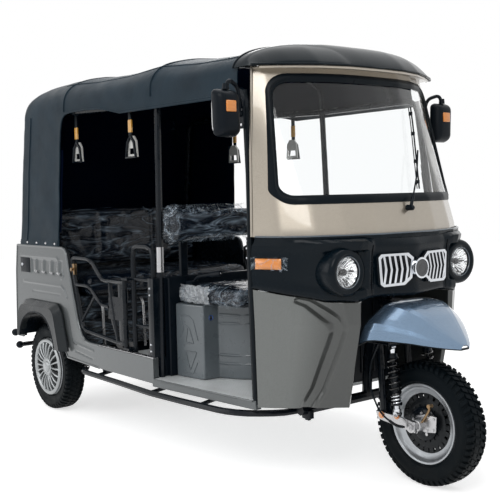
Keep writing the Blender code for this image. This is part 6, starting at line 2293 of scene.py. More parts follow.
@dataclass
class Tyre:
    """One tyre: carcass, sidewall rings and tread blocks."""

    name: str
    node: str
    body: Body
    centre: Point
    radius: float
    width: float
    rim: float
    tread: Tread
    pitches: int = 30
    height: float = 0.0065

    def carcass(self) -> Form:
        """The turned tyre without its tread blocks.

        Returns:
            Its form.
        """
        half = self.width / 2
        body = self.radius - self.height
        middle = (self.rim + body) / 2 + 0.006
        side = [
            (self.rim + 0.003, 0.66), (self.rim + 0.005, 0.78), (self.rim + 0.012, 0.86), (self.rim + 0.0135, 0.895),
            (self.rim + 0.017, 0.90), (self.rim + 0.019, 0.885), (middle - 0.010, 0.965), (middle, 0.985),
            (middle + 0.008, 0.985), (body - 0.026, 0.945), (body - 0.0245, 0.965), (body - 0.022, 0.965),
            (body - 0.0205, 0.930), (body - 0.010, 0.80), (body - 0.003, 0.55), (body - 0.0006, 0.28),
        ]
        profile = [(radius, -share * half) for radius, share in side] + [(body, 0.0)]
        profile += [(radius, share * half) for radius, share in reversed(side)]
        return Form().spun(profile + [profile[0]], self.centre, "Y", 128)

    def strip(self, form: Form, places: Outline, start: float, length: float, skew: float, lift: float) -> None:
        """Raises one tread block.

        Args:
            form: The form it is added to.
            places: Its cross-section as (share of the half width, drop below the tread's top).
            start: The angle where it starts.
            length: The angle that it covers.
            skew: How far its outer end is turned, as an angle.
            lift: How far it stands above the carcass.
        """
        half = self.width / 2
        columns = len(places) - 1

        def place(u: float, v: float, sunk: float) -> Point:
            """A point of the block's top."""
            share, drop = places[round(u * columns)]
            lean = skew * (u - 0.5)
            angle = start + length * (v - 0.5) * (1.0 if sunk else 0.86) + lean
            reach = self.radius - drop - sunk
            x = self.centre[0] + reach * math.sin(angle)
            z = self.centre[2] + reach * math.cos(angle)
            return x, self.centre[1] + share * half, z

        before = len(form.work.verts)
        form.panel(columns, 2, lambda u, v: place(u, v, 0.0))
        form.work.verts.ensure_lookup_table()
        top = form.work.verts[before:]
        faces = list({face for vert in top for face in vert.link_faces})
        made = bmesh.ops.extrude_face_region(form.work, geom=faces)["geom"]
        low = [item for item in made if isinstance(item, bmesh.types.BMVert)]
        for vert in low:
            offset = vert.co - Vector((self.centre[0], vert.co.y, self.centre[2]))
            scale = (offset.length - lift) / offset.length
            vert.co = Vector((self.centre[0], vert.co.y, self.centre[2])) + offset * scale
            inward = (self.centre[1] - vert.co.y) * 0.015
            vert.co.y += inward

    def blocks(self) -> Form:
        """All tread blocks.

        Returns:
            Their form.
        """
        form = Form()
        pitch = math.tau / self.pitches
        h = self.height + 0.004
        outer, inner = self.tread.value
        for index in range(self.pitches):
            angle = index * pitch
            for side in (-1, 1):
                shift = angle + (pitch / 2 if side > 0 else 0.0)
                self.strip(form, [(side * s, d) for s, d in outer], shift, pitch * 0.60, side * pitch * 0.30, h)
                self.strip(
                    form, [(side * s, d) for s, d in inner], shift + pitch * 0.42, pitch * 0.66, side * pitch * -0.4,
                    h,
                )
        bmesh.ops.recalc_face_normals(form.work, faces=form.work.faces)
        return form

    def wave(self) -> Form:
        """The wavy ring moulded on each sidewall under the shoulder.

        Returns:
            Its form.
        """
        form = Form()
        half = self.width / 2
        count = self.pitches * 5
        for side in (-1, 1):
            ring = []
            for k in range(count):
                angle = math.tau * k / count
                reach = self.radius - 0.030 + 0.0022 * math.sin(angle * self.pitches / 2)
                ring.append(
                    (
                        self.centre[0] + reach * math.sin(angle), self.centre[1] + side * half * 0.955,
                        self.centre[2] + reach * math.cos(angle),
                    )
                )
            form.pipe(ring, 0.0018, 5, closed=True)
        return form

    def build(self) -> None:
        """Builds the tyre."""
        self.carcass().stand(self.name + "_carcass", TYRE_RUBBER, [self.node], smooth=40.0, body=self.body)
        self.blocks().stand(self.name + "_tread", TYRE_RUBBER, smooth=25.0, body=self.body)
        self.wave().stand(self.name + "_sidewall_wave", TYRE_RUBBER, body=self.body)


@dataclass
class FrontWheel:
    """The front wheel with its pressed rim, slotted disc and drum."""

    centre: Point = (FRONT_AXLE_X, 0.0, FRONT_AXLE_Z)
    rim: float = 0.166

    def build(self) -> None:
        """Builds tyre, rim, disc, drum and hub."""
        Tyre(
            "front_tyre", "front_tyre", Body.FRONT_WHEEL, self.centre, 0.26, 0.11, self.rim, Tread.KNOBBY, 54, 0.0055,
        ).build()
        rim = self.rim
        barrel = [
            (rim + 0.0025, 0.0340), (rim + 0.0035, 0.0420), (rim + 0.0010, 0.0448), (rim - 0.0060, 0.0445),
            (rim - 0.0095, 0.0400),
            (rim - 0.0130, 0.0300), (rim - 0.0200, 0.0250), (rim - 0.0330, 0.0205), (rim - 0.0400, 0.0190),
            (rim - 0.0415, 0.0150),
        ]
        other = [(radius, -place) for radius, place in reversed(barrel)]
        Form().spun(barrel + other, self.centre, "Y", 96).walled(0.0018).stand(
            "front_rim_barrel", RIM_SILVER, ["front_rim"], smooth=50.0, body=Body.FRONT_WHEEL,
        )
        self.disc()
        drum = [
            (0.0, -0.044), (0.060, -0.044), (0.066, -0.040), (0.070, -0.036), (0.070, 0.030), (0.078, 0.034),
            (0.078, 0.038), (0.060, 0.042), (0.0, 0.042),
        ]
        Form().spun(drum, self.centre, "Y", 64).stand("front_drum", FRAME_BLACK, smooth=35.0, body=Body.FRONT_WHEEL)
        ribs = Form()
        for k in range(18):
            angle = math.tau * k / 18
            spot = around(self.centre, 0.0735, angle, -0.004)
            ribs.box(
                spot - Vector((0.0020, 0.026, 0.006)), spot + Vector((0.0020, 0.026, 0.006)),
                Matrix.Rotation(angle, 4, "Y"),
            )
        ribs.stand("front_drum_ribs", FRAME_BLACK, body=Body.FRONT_WHEEL)
        nuts = Form()
        for k in range(5):
            angle = math.tau * k / 5
            for y in (-0.0455, 0.0435):
                spot = around(self.centre, 0.046, angle, y)
                nuts.rod(spot - Vector((0, 0.0045, 0)), spot + Vector((0, 0.0045, 0)), 0.0075, sides=6)
        nuts.stand("front_wheel_nuts", STEEL, body=Body.FRONT_WHEEL)

    def disc(self) -> None:
        """The wheel's disc: two rings joined by eight spokes, which leave eight slots."""
        form = Form()
        for side in (-1, 1):
            outer = [(0.1270, side * 0.0170), (0.1240, side * 0.0180), (0.1200, side * 0.0180), (0.1170, side * 0.0160)]
            inner = [(0.1040, side * 0.0200), (0.0960, side * 0.0240), (0.0740, side * 0.0260), (0.0600, side * 0.0240)]
            for ring in (outer, inner):
                profile = ring + [(radius, place - side * 0.003) for radius, place in reversed(ring)] + [ring[0]]
                form.spun(profile, self.centre, "Y", 96)
            for k in range(8):
                angle = math.tau * k / 8
                for lean in (-0.20, 0.0, 0.20):
                    a, b = angle + lean, angle + lean * 1.5
                    near = Vector((0.102 * math.sin(b), side * 0.0205, 0.102 * math.cos(b)))
                    far = Vector((0.119 * math.sin(a), side * 0.0175, 0.119 * math.cos(a)))
                    middle = (near + far) / 2 + Vector(self.centre)
                    long = (far - near).length / 2 + 0.004
                    turn = Matrix.Rotation((a + b) / 2, 4, "Y")
                    form.box(middle - Vector((0.0105, 0.0016, long)), middle + Vector((0.0105, 0.0016, long)), turn)
        form.stand("front_rim_disc", RIM_DARK, smooth=35.0, body=Body.FRONT_WHEEL)


@dataclass
class RearWheel:
    """A rear wheel with its silver spoked hubcap."""

    side: Side
    spokes: int = 20
    radius: float = 0.25
    width: float = 0.118
    rim: float = 0.1625

    def build(self) -> None:
        """Builds tyre, rim and hubcap."""
        s, word = self.side.value, self.side.word
        body = Body.REAR_RIGHT if s < 0 else Body.REAR_LEFT
        centre = (REAR_AXLE_X, s * REAR_TRACK, REAR_AXLE_Z)
        Tyre(
            "rear_tyre_" + word, "rear_tyre_" + word, body, centre, self.radius, self.width, self.rim, Tread.ROAD, 52,
            0.0045,
        ).build()
        face = self.width / 2 + 0.019

        def turned(profile: Outline, steps: int) -> Form:
            """A profile turned round the axle, from the wheel's inner side outwards."""
            return Form().spun([(radius, s * y) for radius, y in profile], centre, "Y", steps)

        rim = [
            (0.0152, -0.040), (0.060, -0.040), (0.070, 0.020), (0.130, 0.022), (0.140, -0.045), (0.1655, -0.047),
            (0.1655, face - 0.030), (0.1600, face - 0.024), (0.1540, face - 0.030), (0.1480, face - 0.045),
            (0.0, face - 0.050),
        ]
        turned(rim, 96).stand("rear_rim_" + word, RIM_SILVER, ["rear_wheel_" + word], smooth=40.0, body=body)
        back_plate = [
            (0.0, face - 0.030), (0.140, face - 0.034), (0.150, face - 0.030), (0.150, face - 0.036),
            (0.0, face - 0.040),
        ]
        turned(back_plate, 72).stand("hubcap_floor_" + word, CAP_SHADE, smooth=40.0, body=body)
        cap = [
            (0.1635, face - 0.026), (0.1648, face - 0.020), (0.1630, face - 0.0150), (0.1560, face - 0.0110),
            (0.1500, face - 0.0100),
            (0.1440, face - 0.0125), (0.1400, face - 0.0180), (0.1390, face - 0.030),
        ]
        turned(cap, 96).walled(0.002).stand("hubcap_ring_" + word, CAP_SILVER, smooth=50.0, body=body)
        spokes = Form()
        for k in range(self.spokes):
            angle = math.tau * k / self.spokes
            self.spoke(spokes, centre, angle, face)
        spokes.rounded(0.0016).stand("hubcap_spokes_" + word, CAP_SILVER, smooth=40.0, body=body)
        boss = [
            (0.0520, face - 0.026), (0.0510, face - 0.0130), (0.0470, face - 0.0090), (0.0420, face - 0.0095),
            (0.0395, face - 0.0125),
            (0.0330, face - 0.0120), (0.0300, face - 0.0060), (0.0240, face - 0.0030), (0.0120, face - 0.0010),
            (0.0, face - 0.0005),
        ]
        turned(boss, 64).stand("hubcap_boss_" + word, CAP_SILVER, smooth=40.0, body=body)
        low, high = (
            (centre[0] + reach, s * (REAR_TRACK + face - sunk), REAR_AXLE_Z)
            for reach, sunk in ((0.128, 0.036), (0.134, 0.012))
        )
        valve = Form().rod(low, high, 0.004, 0.003, 12)
        valve.stand("rear_valve_" + word, SOFT_RUBBER, body=body)

    def spoke(self, form: Form, centre: Point, angle: float, face: float) -> None:
        """Adds one spoke, narrow at the boss and broad at the ring, with a raised back.

        Args:
            form: The form it is added to.
            centre: The wheel's centre.
            angle: The spoke's angle.
            face: The hubcap's face, from the centre.
        """
        s = self.side.value
        rows = ((0.046, 0.0042, -0.0125), (0.080, 0.0052, -0.0050), (0.115, 0.0064, -0.0048), (0.1420, 0.0082, -0.0120))
        turn = Matrix.Rotation(angle, 4, "Y")
        rings = []
        for radius, half, top in rows:
            foot, shoulder = face - 0.032, face + top - 0.0035
            section = (
                (-half, foot), (-half * 0.75, shoulder), (0.0, face + top), (half * 0.75, shoulder), (half, foot),
            )
            rings.append([
                turn @ Vector((across, 0.0, radius)) + Vector((0.0, s * height, 0.0)) + Vector(centre)
                for across, height in section
            ])
        loops = form.lofted(rings, closed=True)
        for end in (loops[0], loops[-1]):
            bmesh.ops.contextual_create(form.work, geom=end)
        bmesh.ops.recalc_face_normals(form.work, faces=form.work.faces)


@dataclass
class FrontSuspension:
    """Fork, leading links, coil shocks, brake plate and cable, all on the steering body."""

    pivot: tuple[float, float] = (0.163, 0.282)
    low: tuple[float, float] = (0.077, 0.300)
    high: tuple[float, float] = (0.106, 0.578)
    shock_y: float = 0.108

    def shock(self, side: Side) -> None:
        """A black coil shock with bright end coils, adjuster and eyes.

        Args:
            side: The vehicle's side.
        """
        s, word = side.value, side.word
        low = Vector((back(self.low[0]), s * self.shock_y, self.low[1]))
        high = Vector((back(self.high[0]), s * self.shock_y, self.high[1]))
        run = high - low
        along = run.normalized()
        turn = along.to_track_quat("Z", "Y")
        body = Form()
        body.rod(low + run * 0.16, low + run * 0.60, 0.0150, 0.0150, 24)
        body.rod(low + run * 0.55, low + run * 0.92, 0.0070, 0.0070, 16)
        body.rod(low + run * 0.84, low + run * 0.90, 0.0230, 0.0200, 24)
        body.rod(low + run * 0.13, low + run * 0.17, 0.0225, 0.0235, 24)
        body.stand("shock_body_" + word, FRAME_BLACK, ["front_shock_" + word], body=Body.STEERING)

        def coil(start: float, end: float, turns: float, radius: float) -> list[Vector]:
            """The middle line of a coil between two shares of the shock's length."""
            count = round(turns * 18)
            line = []
            for k in range(count + 1):
                angle = math.tau * turns * k / count
                middle = low + run * (start + (end - start) * k / count)
                line.append(middle + turn @ Vector((radius * math.cos(angle), radius * math.sin(angle), 0.0)))
            return line

        Form().pipe(coil(0.29, 0.855, 6.6, 0.0215), 0.0046, 8).stand(
            "shock_coil_" + word, COIL_BLACK, body=Body.STEERING,
        )
        bright = Form().pipe(coil(0.165, 0.285, 2.4, 0.0200), 0.0036, 8)
        bright.rod(low + run * 0.02, low + run * 0.135, 0.0125, 0.0105, 20)
        bright.rod(low + run * 0.04, low + run * 0.075, 0.0160, 0.0160, 20)
        bright.rod(low + run * 0.905, low + run * 0.975, 0.0105, 0.0125, 20)
        bright.rod(low - Vector((0, 0.014, 0)), low + Vector((0, 0.014, 0)), 0.0125, sides=24)
        bright.rod(high - Vector((0, 0.012, 0)), high + Vector((0, 0.012, 0)), 0.0120, sides=24)
        bright.stand("shock_bright_ends_" + word, CHROME, body=Body.STEERING)

    def fork(self) -> None:
        """Crown, legs, stem and the link brackets."""
        DRESSER.copy("front_fork", FRAME_BLACK)
        details = Form()
        for s in (-1, 1):
            y = s * 0.086
            x, z = back(self.pivot[0] + 0.012), self.pivot[1]
            plate = [
                (x - 0.030, z + 0.050), (x + 0.020, z + 0.045), (x + 0.030, z + 0.010), (x + 0.018, z - 0.022),
                (x - 0.036, z - 0.022), (x - 0.046, z + 0.010),
            ]
            details.prism(plate, y - s * 0.020, y - s * 0.016)
            details.rod((back(0.155), y, 0.600), (back(0.155), y, 0.585), 0.024, 0.019)
        details.rounded(0.0015).stand("fork_brackets", FRAME_BLACK, body=Body.STEERING)
        stops = Form()
        for s in (-1, 1):
            stops.rod((back(0.106), s * 0.108, 0.590), (back(0.106), s * 0.108, 0.5995), 0.015)
            stops.rod((back(0.106), s * 0.108, 0.612), (back(0.106), s * 0.108, 0.622), 0.0095, sides=6)
        stops.stand("fork_shock_mounts", STEEL, body=Body.STEERING)

    def links(self) -> None:
        """Flat silver links, their bolts, the axle nuts and the square anchor plate."""
        DRESSER.copy("front_axle_links", STEEL, width=0.002)
        bolts, copper = Form(), Form()
        for s in (-1, 1):
            y = s * 0.1145
            for distance, z, radius in ((0.163, 0.282, 0.0115), (0.077, 0.292, 0.0105)):
                copper.rod((back(distance), y, z), (back(distance), y + s * 0.0075, z), radius, sides=6)
                copper.rod((back(distance), y, z), (back(distance), y + s * 0.0025, z), radius * 1.35, sides=20)
            bolts.rod((FRONT_AXLE_X, y, 0.26), (FRONT_AXLE_X, y + s * 0.003, 0.26), 0.024, sides=28)
            bolts.rod((FRONT_AXLE_X, y + s * 0.003, 0.26), (FRONT_AXLE_X, y + s * 0.0115, 0.26), 0.0155, sides=6)
            bolts.rod((FRONT_AXLE_X, y + s * 0.0115, 0.26), (FRONT_AXLE_X, y + s * 0.0170, 0.26), 0.0085, 0.0070, 16)
        bolts.stand("axle_nuts", STEEL, body=Body.STEERING)
        copper.stand("link_bolts", COPPER_BOLT, body=Body.STEERING)
        plate = Form()
        for s in (-1, 1):
            outline = [
                (back(-0.030), 0.232), (back(-0.084), 0.240), (back(-0.088), 0.306), (back(-0.034), 0.312),
                (back(0.020), 0.296), (back(0.030), 0.244),
            ]
            plate.prism(outline, s * 0.0545, s * 0.0620)
            plate.rod((FRONT_AXLE_X, s * 0.060, 0.26), (FRONT_AXLE_X, s * 0.088, 0.26), 0.030, 0.024, 32)
            plate.rod((FRONT_AXLE_X, s * 0.086, 0.26), (FRONT_AXLE_X, s * 0.104, 0.26), 0.0185, 0.0165, 28)
        plate.rounded(0.004, 3).stand("brake_anchor_plate", STEEL, smooth=35.0, body=Body.STEERING)
        small = Form()
        for s in (-1, 1):
            for distance, z in ((-0.076, 0.296), (-0.073, 0.250), (-0.040, 0.300), (-0.040, 0.244)):
                small.rod((back(distance), s * 0.062, z), (back(distance), s * 0.0675, z), 0.0065, sides=6)
        small.stand("anchor_plate_bolts", STEEL, body=Body.STEERING)
        lever = Form()
        lever.pipe(
            bent([(back(-0.020), -0.070, 0.275), (back(-0.062), -0.074, 0.330), (back(-0.070), -0.078, 0.352)], 0.01),
            0.0052, 10,
        )
        lever.rod((back(-0.070), -0.088, 0.352), (back(-0.070), -0.066, 0.352), 0.0085, sides=16)
        lever.stand("brake_lever", BRASS, body=Body.STEERING)

    def cable(self) -> None:
        """The brake cable in its sheath, with ribbed boots at its ends."""
        corners = [
            (back(0.140), -0.1495, 0.5955), (back(0.175), -0.170, 0.500), (back(0.175), -0.170, 0.400),
            (back(0.120), -0.165, 0.300), (back(0.045), -0.150, 0.262), (back(0.012), -0.1385, 0.262),
        ]
        path = resampled(bent(corners, 0.06, 8), 72)
        sheath = Form().pipe(path, 0.0040, 10)
        cord = sheath.stand("brake_cable_sheath", SOFT_RUBBER, ["brake_cable"], body=Body.STEERING)
        boot = Form()
        for start in (1, len(path) - 13):
            for k in range(start, start + 11):
                a, b = path[k], path[k + 1]
                boot.rod(a, a.lerp(b, 0.5), 0.0064, 0.0064, 12)
                boot.rod(a.lerp(b, 0.5), b, 0.0052, 0.0052, 12)
        boots = boot.stand("brake_cable_boots", FRAME_BLACK, body=Body.STEERING)

    def bars(self) -> None:
        """Handlebar with grips and switch pods."""
        DRESSER.copy("handlebar", FRAME_BLACK)
        grips, pods = Form(), Form()
        for s in (-1, 1):
            start, end = Vector((back(0.461), s * 0.335, 0.985)), Vector((back(0.447), s * 0.240, 0.985))
            for k in range(13):
                a = start.lerp(end, k / 13)
                grips.rod(a, a.lerp(end, 0.05), 0.0195, 0.0195, 20)
            grips.rod(start, end, 0.0185, sides=20)
            grips.ball(start, (0.018, 0.008, 0.018), 16)
            pods.box((back(0.462), s * 0.185, 0.966), (back(0.425), s * 0.225, 1.006))
        grips.stand("handlebar_grips", SOFT_RUBBER, body=Body.STEERING)
        pods.rounded(0.007, 3).stand("switch_pods", SATIN_BLACK, body=Body.STEERING)

    def build(self) -> None:
        """Builds the whole front suspension and steering."""
        for side in Side:
            self.shock(side)
        self.fork()
        self.links()
        self.cable()
        self.bars()


@dataclass
class RearBody:
    """The pressed grey quarters, wheel flares, sills, tail and rear bumper."""

    half: float = 0.62
    wall: float = 0.03
    # Distance behind the front axle, height
    outline: tuple = (
        (2.675, 0.955), (2.700, 0.800), (2.722, 0.405), (2.640, 0.405), (2.625, 0.470), (2.570, 0.545), (2.470, 0.600),
        (2.340, 0.605), (2.210, 0.570), (2.140, 0.490), (2.095, 0.400), (2.060, 0.350), (1.7003, 0.338),
        (1.7003, 0.455),
        (1.800, 0.456), (1.852, 0.464), (1.888, 0.486), (1.912, 0.520), (1.936, 0.572), (1.996, 0.766),
        (2.045, 0.925), (2.058, 0.945), (2.084, 0.955),
    )
    # Raised lines pressed into the sheet, then how high and how wide each is
    beads: tuple = (
        (
            ((2.625, 0.898), (2.160, 0.898), (2.118, 0.880), (2.090, 0.835), (2.076, 0.800), (2.100, 0.784)), 0.0050,
            0.0075,
        ),
        (((2.600, 0.742), (2.110, 0.742), (2.070, 0.722), (2.044, 0.680)), 0.0050, 0.0070),
        (((2.480, 0.690), (2.130, 0.690)), -0.0035, 0.0050),
        (((1.985, 0.452), (1.960, 0.438), (1.760, 0.420)), 0.0045, 0.0065),
        (((1.960, 0.395), (1.770, 0.375)), -0.0035, 0.0050),
    )
    # The louvre's recess: two distances and two heights
    louvre: tuple = (2.490, 2.092, 0.792, 0.884)
    louvre_slots: tuple = (2.425, 2.325, 2.225, 2.135)

    def relief(self, distance: float, z: float) -> float:
        """How far the pressed sheet stands out at a place.

        Args:
            distance: Distance behind the front axle.
            z: Height above the ground.

        Returns:
            The distance outwards.
        """
        total = 0.0
        for line, height, width in self.beads:
            total += height * max(0.0, 1.0 - (from_line(Vector((distance, z)), line) / width) ** 2)
        far, near, low, high = self.louvre
        lean = (z - low) * 0.10
        inner = min(far - distance, distance - near + lean, z - low, high - z)
        if inner > 0:
            recess = min(inner / 0.008, 1.0)
            total = -0.006 * recess
            for middle in self.louvre_slots:
                taper = 0.010 + 0.016 * (z - low) / (high - low)
                across = abs(distance - middle) / taper
                if across < 1.0 and low + 0.010 < z < high - 0.006:
                    total += 0.0085 * (1 - across) * min((z - low - 0.010) / 0.012, 1.0)
        return total

    def quarters(self) -> None:
        """The pressed quarters with a folded inner wall."""
        for side in Side:
            s = side.value

            def place(u: float, v: float) -> Point:
                """A point of the pressed sheet."""
                distance, z = 2.723 - 1.024 * u, 0.337 + 0.619 * v
                return back(distance), s * (self.half - 0.0055 + self.relief(distance, z)), z

            sheet = Form().panel(224, 136, place)
            sheet.cut(side_view(self.outline), keep_inside=True).walled(0.004)
            sheet.stand("quarter_skin_" + side.word, GREY_WITH_PAINTED_SHADE, ["rear_quarter_" + side.word], smooth=50.0)
            inner = Form()
            inner.prism(side_view(self.outline), s * (self.half - self.wall), s * (self.half - 0.012))
            inner.stand("quarter_inner_" + side.word, FRAME_BLACK, smooth=30.0)
            edge = [Vector((back(d), s * (self.half - 0.0085), z)) for d, z in self.outline]
            Form().pipe(resampled(edge, 300, True), 0.0075, 8, closed=True).stand("quarter_edge_" + side.word, GREY_WITH_PAINTED_SHADE)
            opening = [Vector((back(d), s * (self.half - 0.020), z)) for d, z in self.outline[13:]]
            Form().pipe(bent(opening, 0.02, 3), 0.0095, 8).stand("opening_trim_" + side.word, SOFT_RUBBER)
            # Thin steel arcs at the foot of each flute, and a line up from each: painted highlights.
            highlight_arcs = Form()
            for middle in self.louvre_slots:
                turns = [math.pi * k / 8 for k in range(9)]
                arc = [
                    (back(middle + 0.013 * math.cos(a)), s * (self.half - 0.0028), 0.815 - 0.012 * math.sin(a))
                    for a in turns
                ]
                highlight_arcs.pipe(arc, 0.0022, 6)
                highlight_arcs.pipe([arc[0], (back(middle + 0.022), s * (self.half - 0.0050), 0.872)], 0.0014, 6)
            highlight_arcs.stand("louvre_arcs_" + side.word, STEEL)
            box = Form().box((back(2.632), s * 0.600, 0.796), (back(2.505), s * 0.6175, 0.884))
            box.rounded(0.003).stand("filler_door_" + side.word, SATIN_BLACK)
            lock = Form().rod((back(2.604), s * 0.6165, 0.842), (back(2.604), s * 0.6210, 0.842), 0.0105, 0.0095, 24)
            lock.rod((back(2.604), s * 0.6205, 0.842), (back(2.604), s * 0.6216, 0.842), 0.0045, sides=16)
            lock.stand("filler_lock_" + side.word, CHROME)

    def flares(self) -> None:
        """Black wheel flares, with a broad bevelled shoulder."""
        outer = [(2.642, 0.420), (2.617, 0.575), (2.562, 0.640), (2.140, 0.640), (2.100, 0.606), (2.030, 0.385)]
        crest = [(2.620, 0.420), (2.596, 0.560), (2.548, 0.614), (2.166, 0.614), (2.132, 0.590), (2.072, 0.385)]
        arch = [
            (2.592, 0.420), (2.578, 0.470), (2.548, 0.515), (2.500, 0.550), (2.440, 0.572), (2.370, 0.580),
            (2.300, 0.576),
            (2.240, 0.556), (2.196, 0.520), (2.170, 0.478), (2.150, 0.430), (2.138, 0.385),
        ]
        for side in Side:
            s = side.value

            def line(points: Outline, y: float, count: int = 60) -> list[Vector]:
                """Evenly spaced points of a rounded line at one distance from the centre."""
                path = bent([(back(d), s * y, z) for d, z in points], 0.035, 4)
                return resampled(path, count)

            form = Form()
            rows = (
                (outer, 0.6203), (outer, 0.6290), (crest, 0.6620), (crest, 0.6640), (arch, 0.6600), (arch, 0.6560),
                (arch, 0.6300), (arch, 0.6205),
            )
            form.lofted(line(points, y) for points, y in rows)
            form.walled(0.003).stand("flare_" + side.word, FLARE_BLACK, ["fender_flare_" + side.word], smooth=22.0)
            lip = line(arch, 0.6585, 90)
            Form().pipe(lip, 0.0045, 8).stand("flare_lip_" + side.word, SATIN_BLACK)
            liner = Form()
            liner.lofted([point + Vector((0, 0, 0.006)) for point in line(arch, y, 50)] for y in (0.655, 0.50))
            liner.walled(0.002).stand("wheel_liner_" + side.word, FRAME_BLACK)

    def sills(self) -> None:
        """Sill panels with a seam, a gate track and the chequer step."""
        for side in Side:
            s, word = side.value, side.word
            DRESSER.copy("side_sill_" + word, GREY_WITH_PAINTED_SHADE, width=0.004)
            cover = Form().box((back(1.699), s * 0.588, 0.4552), (back(1.165), s * 0.616, 0.4600))
            cover.rounded(0.0015).stand("sill_cap_" + word, STEEL)
            rivets = Form()
            for k in range(7):
                rivets.ball((back(1.23 + 0.065 * k), s * 0.602, 0.4602), (0.0045, 0.0045, 0.0022), 10)
            rivets.stand("sill_rivets_" + word, CHROME)
            self.step(side)

    def step(self, side: Side) -> None:
        """The aluminium step plate with its turned-down nosing.

        Args:
            side: The vehicle's side.
        """
        s = side.value
        rows = [(1.150, 0.618), (0.900, 0.598), (0.700, 0.580), (0.480, 0.558)]
        plate = Form()

        def place(u: float, v: float) -> Point:
            """A point of the step plate."""
            distance = rows[0][0] + (rows[-1][0] - rows[0][0]) * u
            outer = straight([(-d, y) for d, y in rows], -distance)[0]
            return back(distance), s * (outer - 0.030 + 0.030 * v), 0.3632

        plate.panel(24, 2, place)
        plate.walled(0.0022, facing=1.0)
        for vert in plate.work.verts:
            vert.co.z = max(vert.co.z, 0.3624)
        plate.stand("step_tread_" + side.word, DECK)
        nose = [Vector((back(d), s * (y + 0.0005), 0.3585)) for d, y in rows]
        Form().pipe(nose, 0.0042, 8).stand("step_nosing_" + side.word, GREY_WITH_PAINTED_SHADE)

    def tail(self) -> None:
        """Tail panel, its lamps, the blank plate's frame and the bumper's rubber ends."""
        DRESSER.copy("tail_panel", GREY_WITH_PAINTED_SHADE, width=0.003)
        for side in Side:
            s, word = side.value, side.word
            lens = Form().box((back(2.738), s * 0.468, 0.608), (back(2.722), s * 0.552, 0.696))
            lens.rounded(0.006, 3).stand("tail_lamp_" + word, TAIL_RED)
            amber = Form().box((back(2.737), s * 0.468, 0.700), (back(2.722), s * 0.552, 0.734))
            amber.rounded(0.005, 3).stand("tail_indicator_" + word, AMBER)
        frame_form = Form()
        for low, high in (
            ((-0.26, 0.792), (0.26, 0.800)), ((-0.26, 0.664), (0.26, 0.672)), ((-0.26, 0.672), (-0.252, 0.792)),
            ((0.252, 0.672), (0.26, 0.792)),
        ):
            frame_form.box(
                (self.tail_x(low[1]) - 0.010, low[0], low[1]), (self.tail_x(low[1]) + 0.004, high[0], high[1]),
            )
        frame_form.rounded(0.002).stand("plate_holder", SATIN_BLACK)
        ends = Form()
        for z, half in ((0.410, 0.60), (0.330, 0.575)):
            for s in (-1, 1):
                ends.ball((back(2.779), s * (half + 0.003), z), (0.0225, 0.0235, 0.0225), 28)
        ends.stand("bumper_ends", SATIN_BLACK)
        latch = Form().box((self.tail_x(0.900) - 0.016, -0.045, 0.885), (self.tail_x(0.900) + 0.002, 0.045, 0.915))
        latch.rounded(0.005, 3).stand("tailgate_latch", CHROME)
        strip = Form()
        for z in (0.560, 0.520, 0.480):
            strip.pipe([(self.tail_x(z) - 0.001, y, z) for y in (-0.42, 0.42)], 0.006, 8)
        strip.stand("tail_beads", GREY_WITH_PAINTED_SHADE)

    @staticmethod
    def tail_x(z: float) -> float:
        """X of the tail panel's rear face at a height."""
        return back(2.722 - (z - 0.430) / (0.955 - 0.430) * 0.047)

    def build(self) -> None:
        """Builds every piece of the rear body."""
        self.quarters()
        self.flares()
        self.sills()
        self.tail()


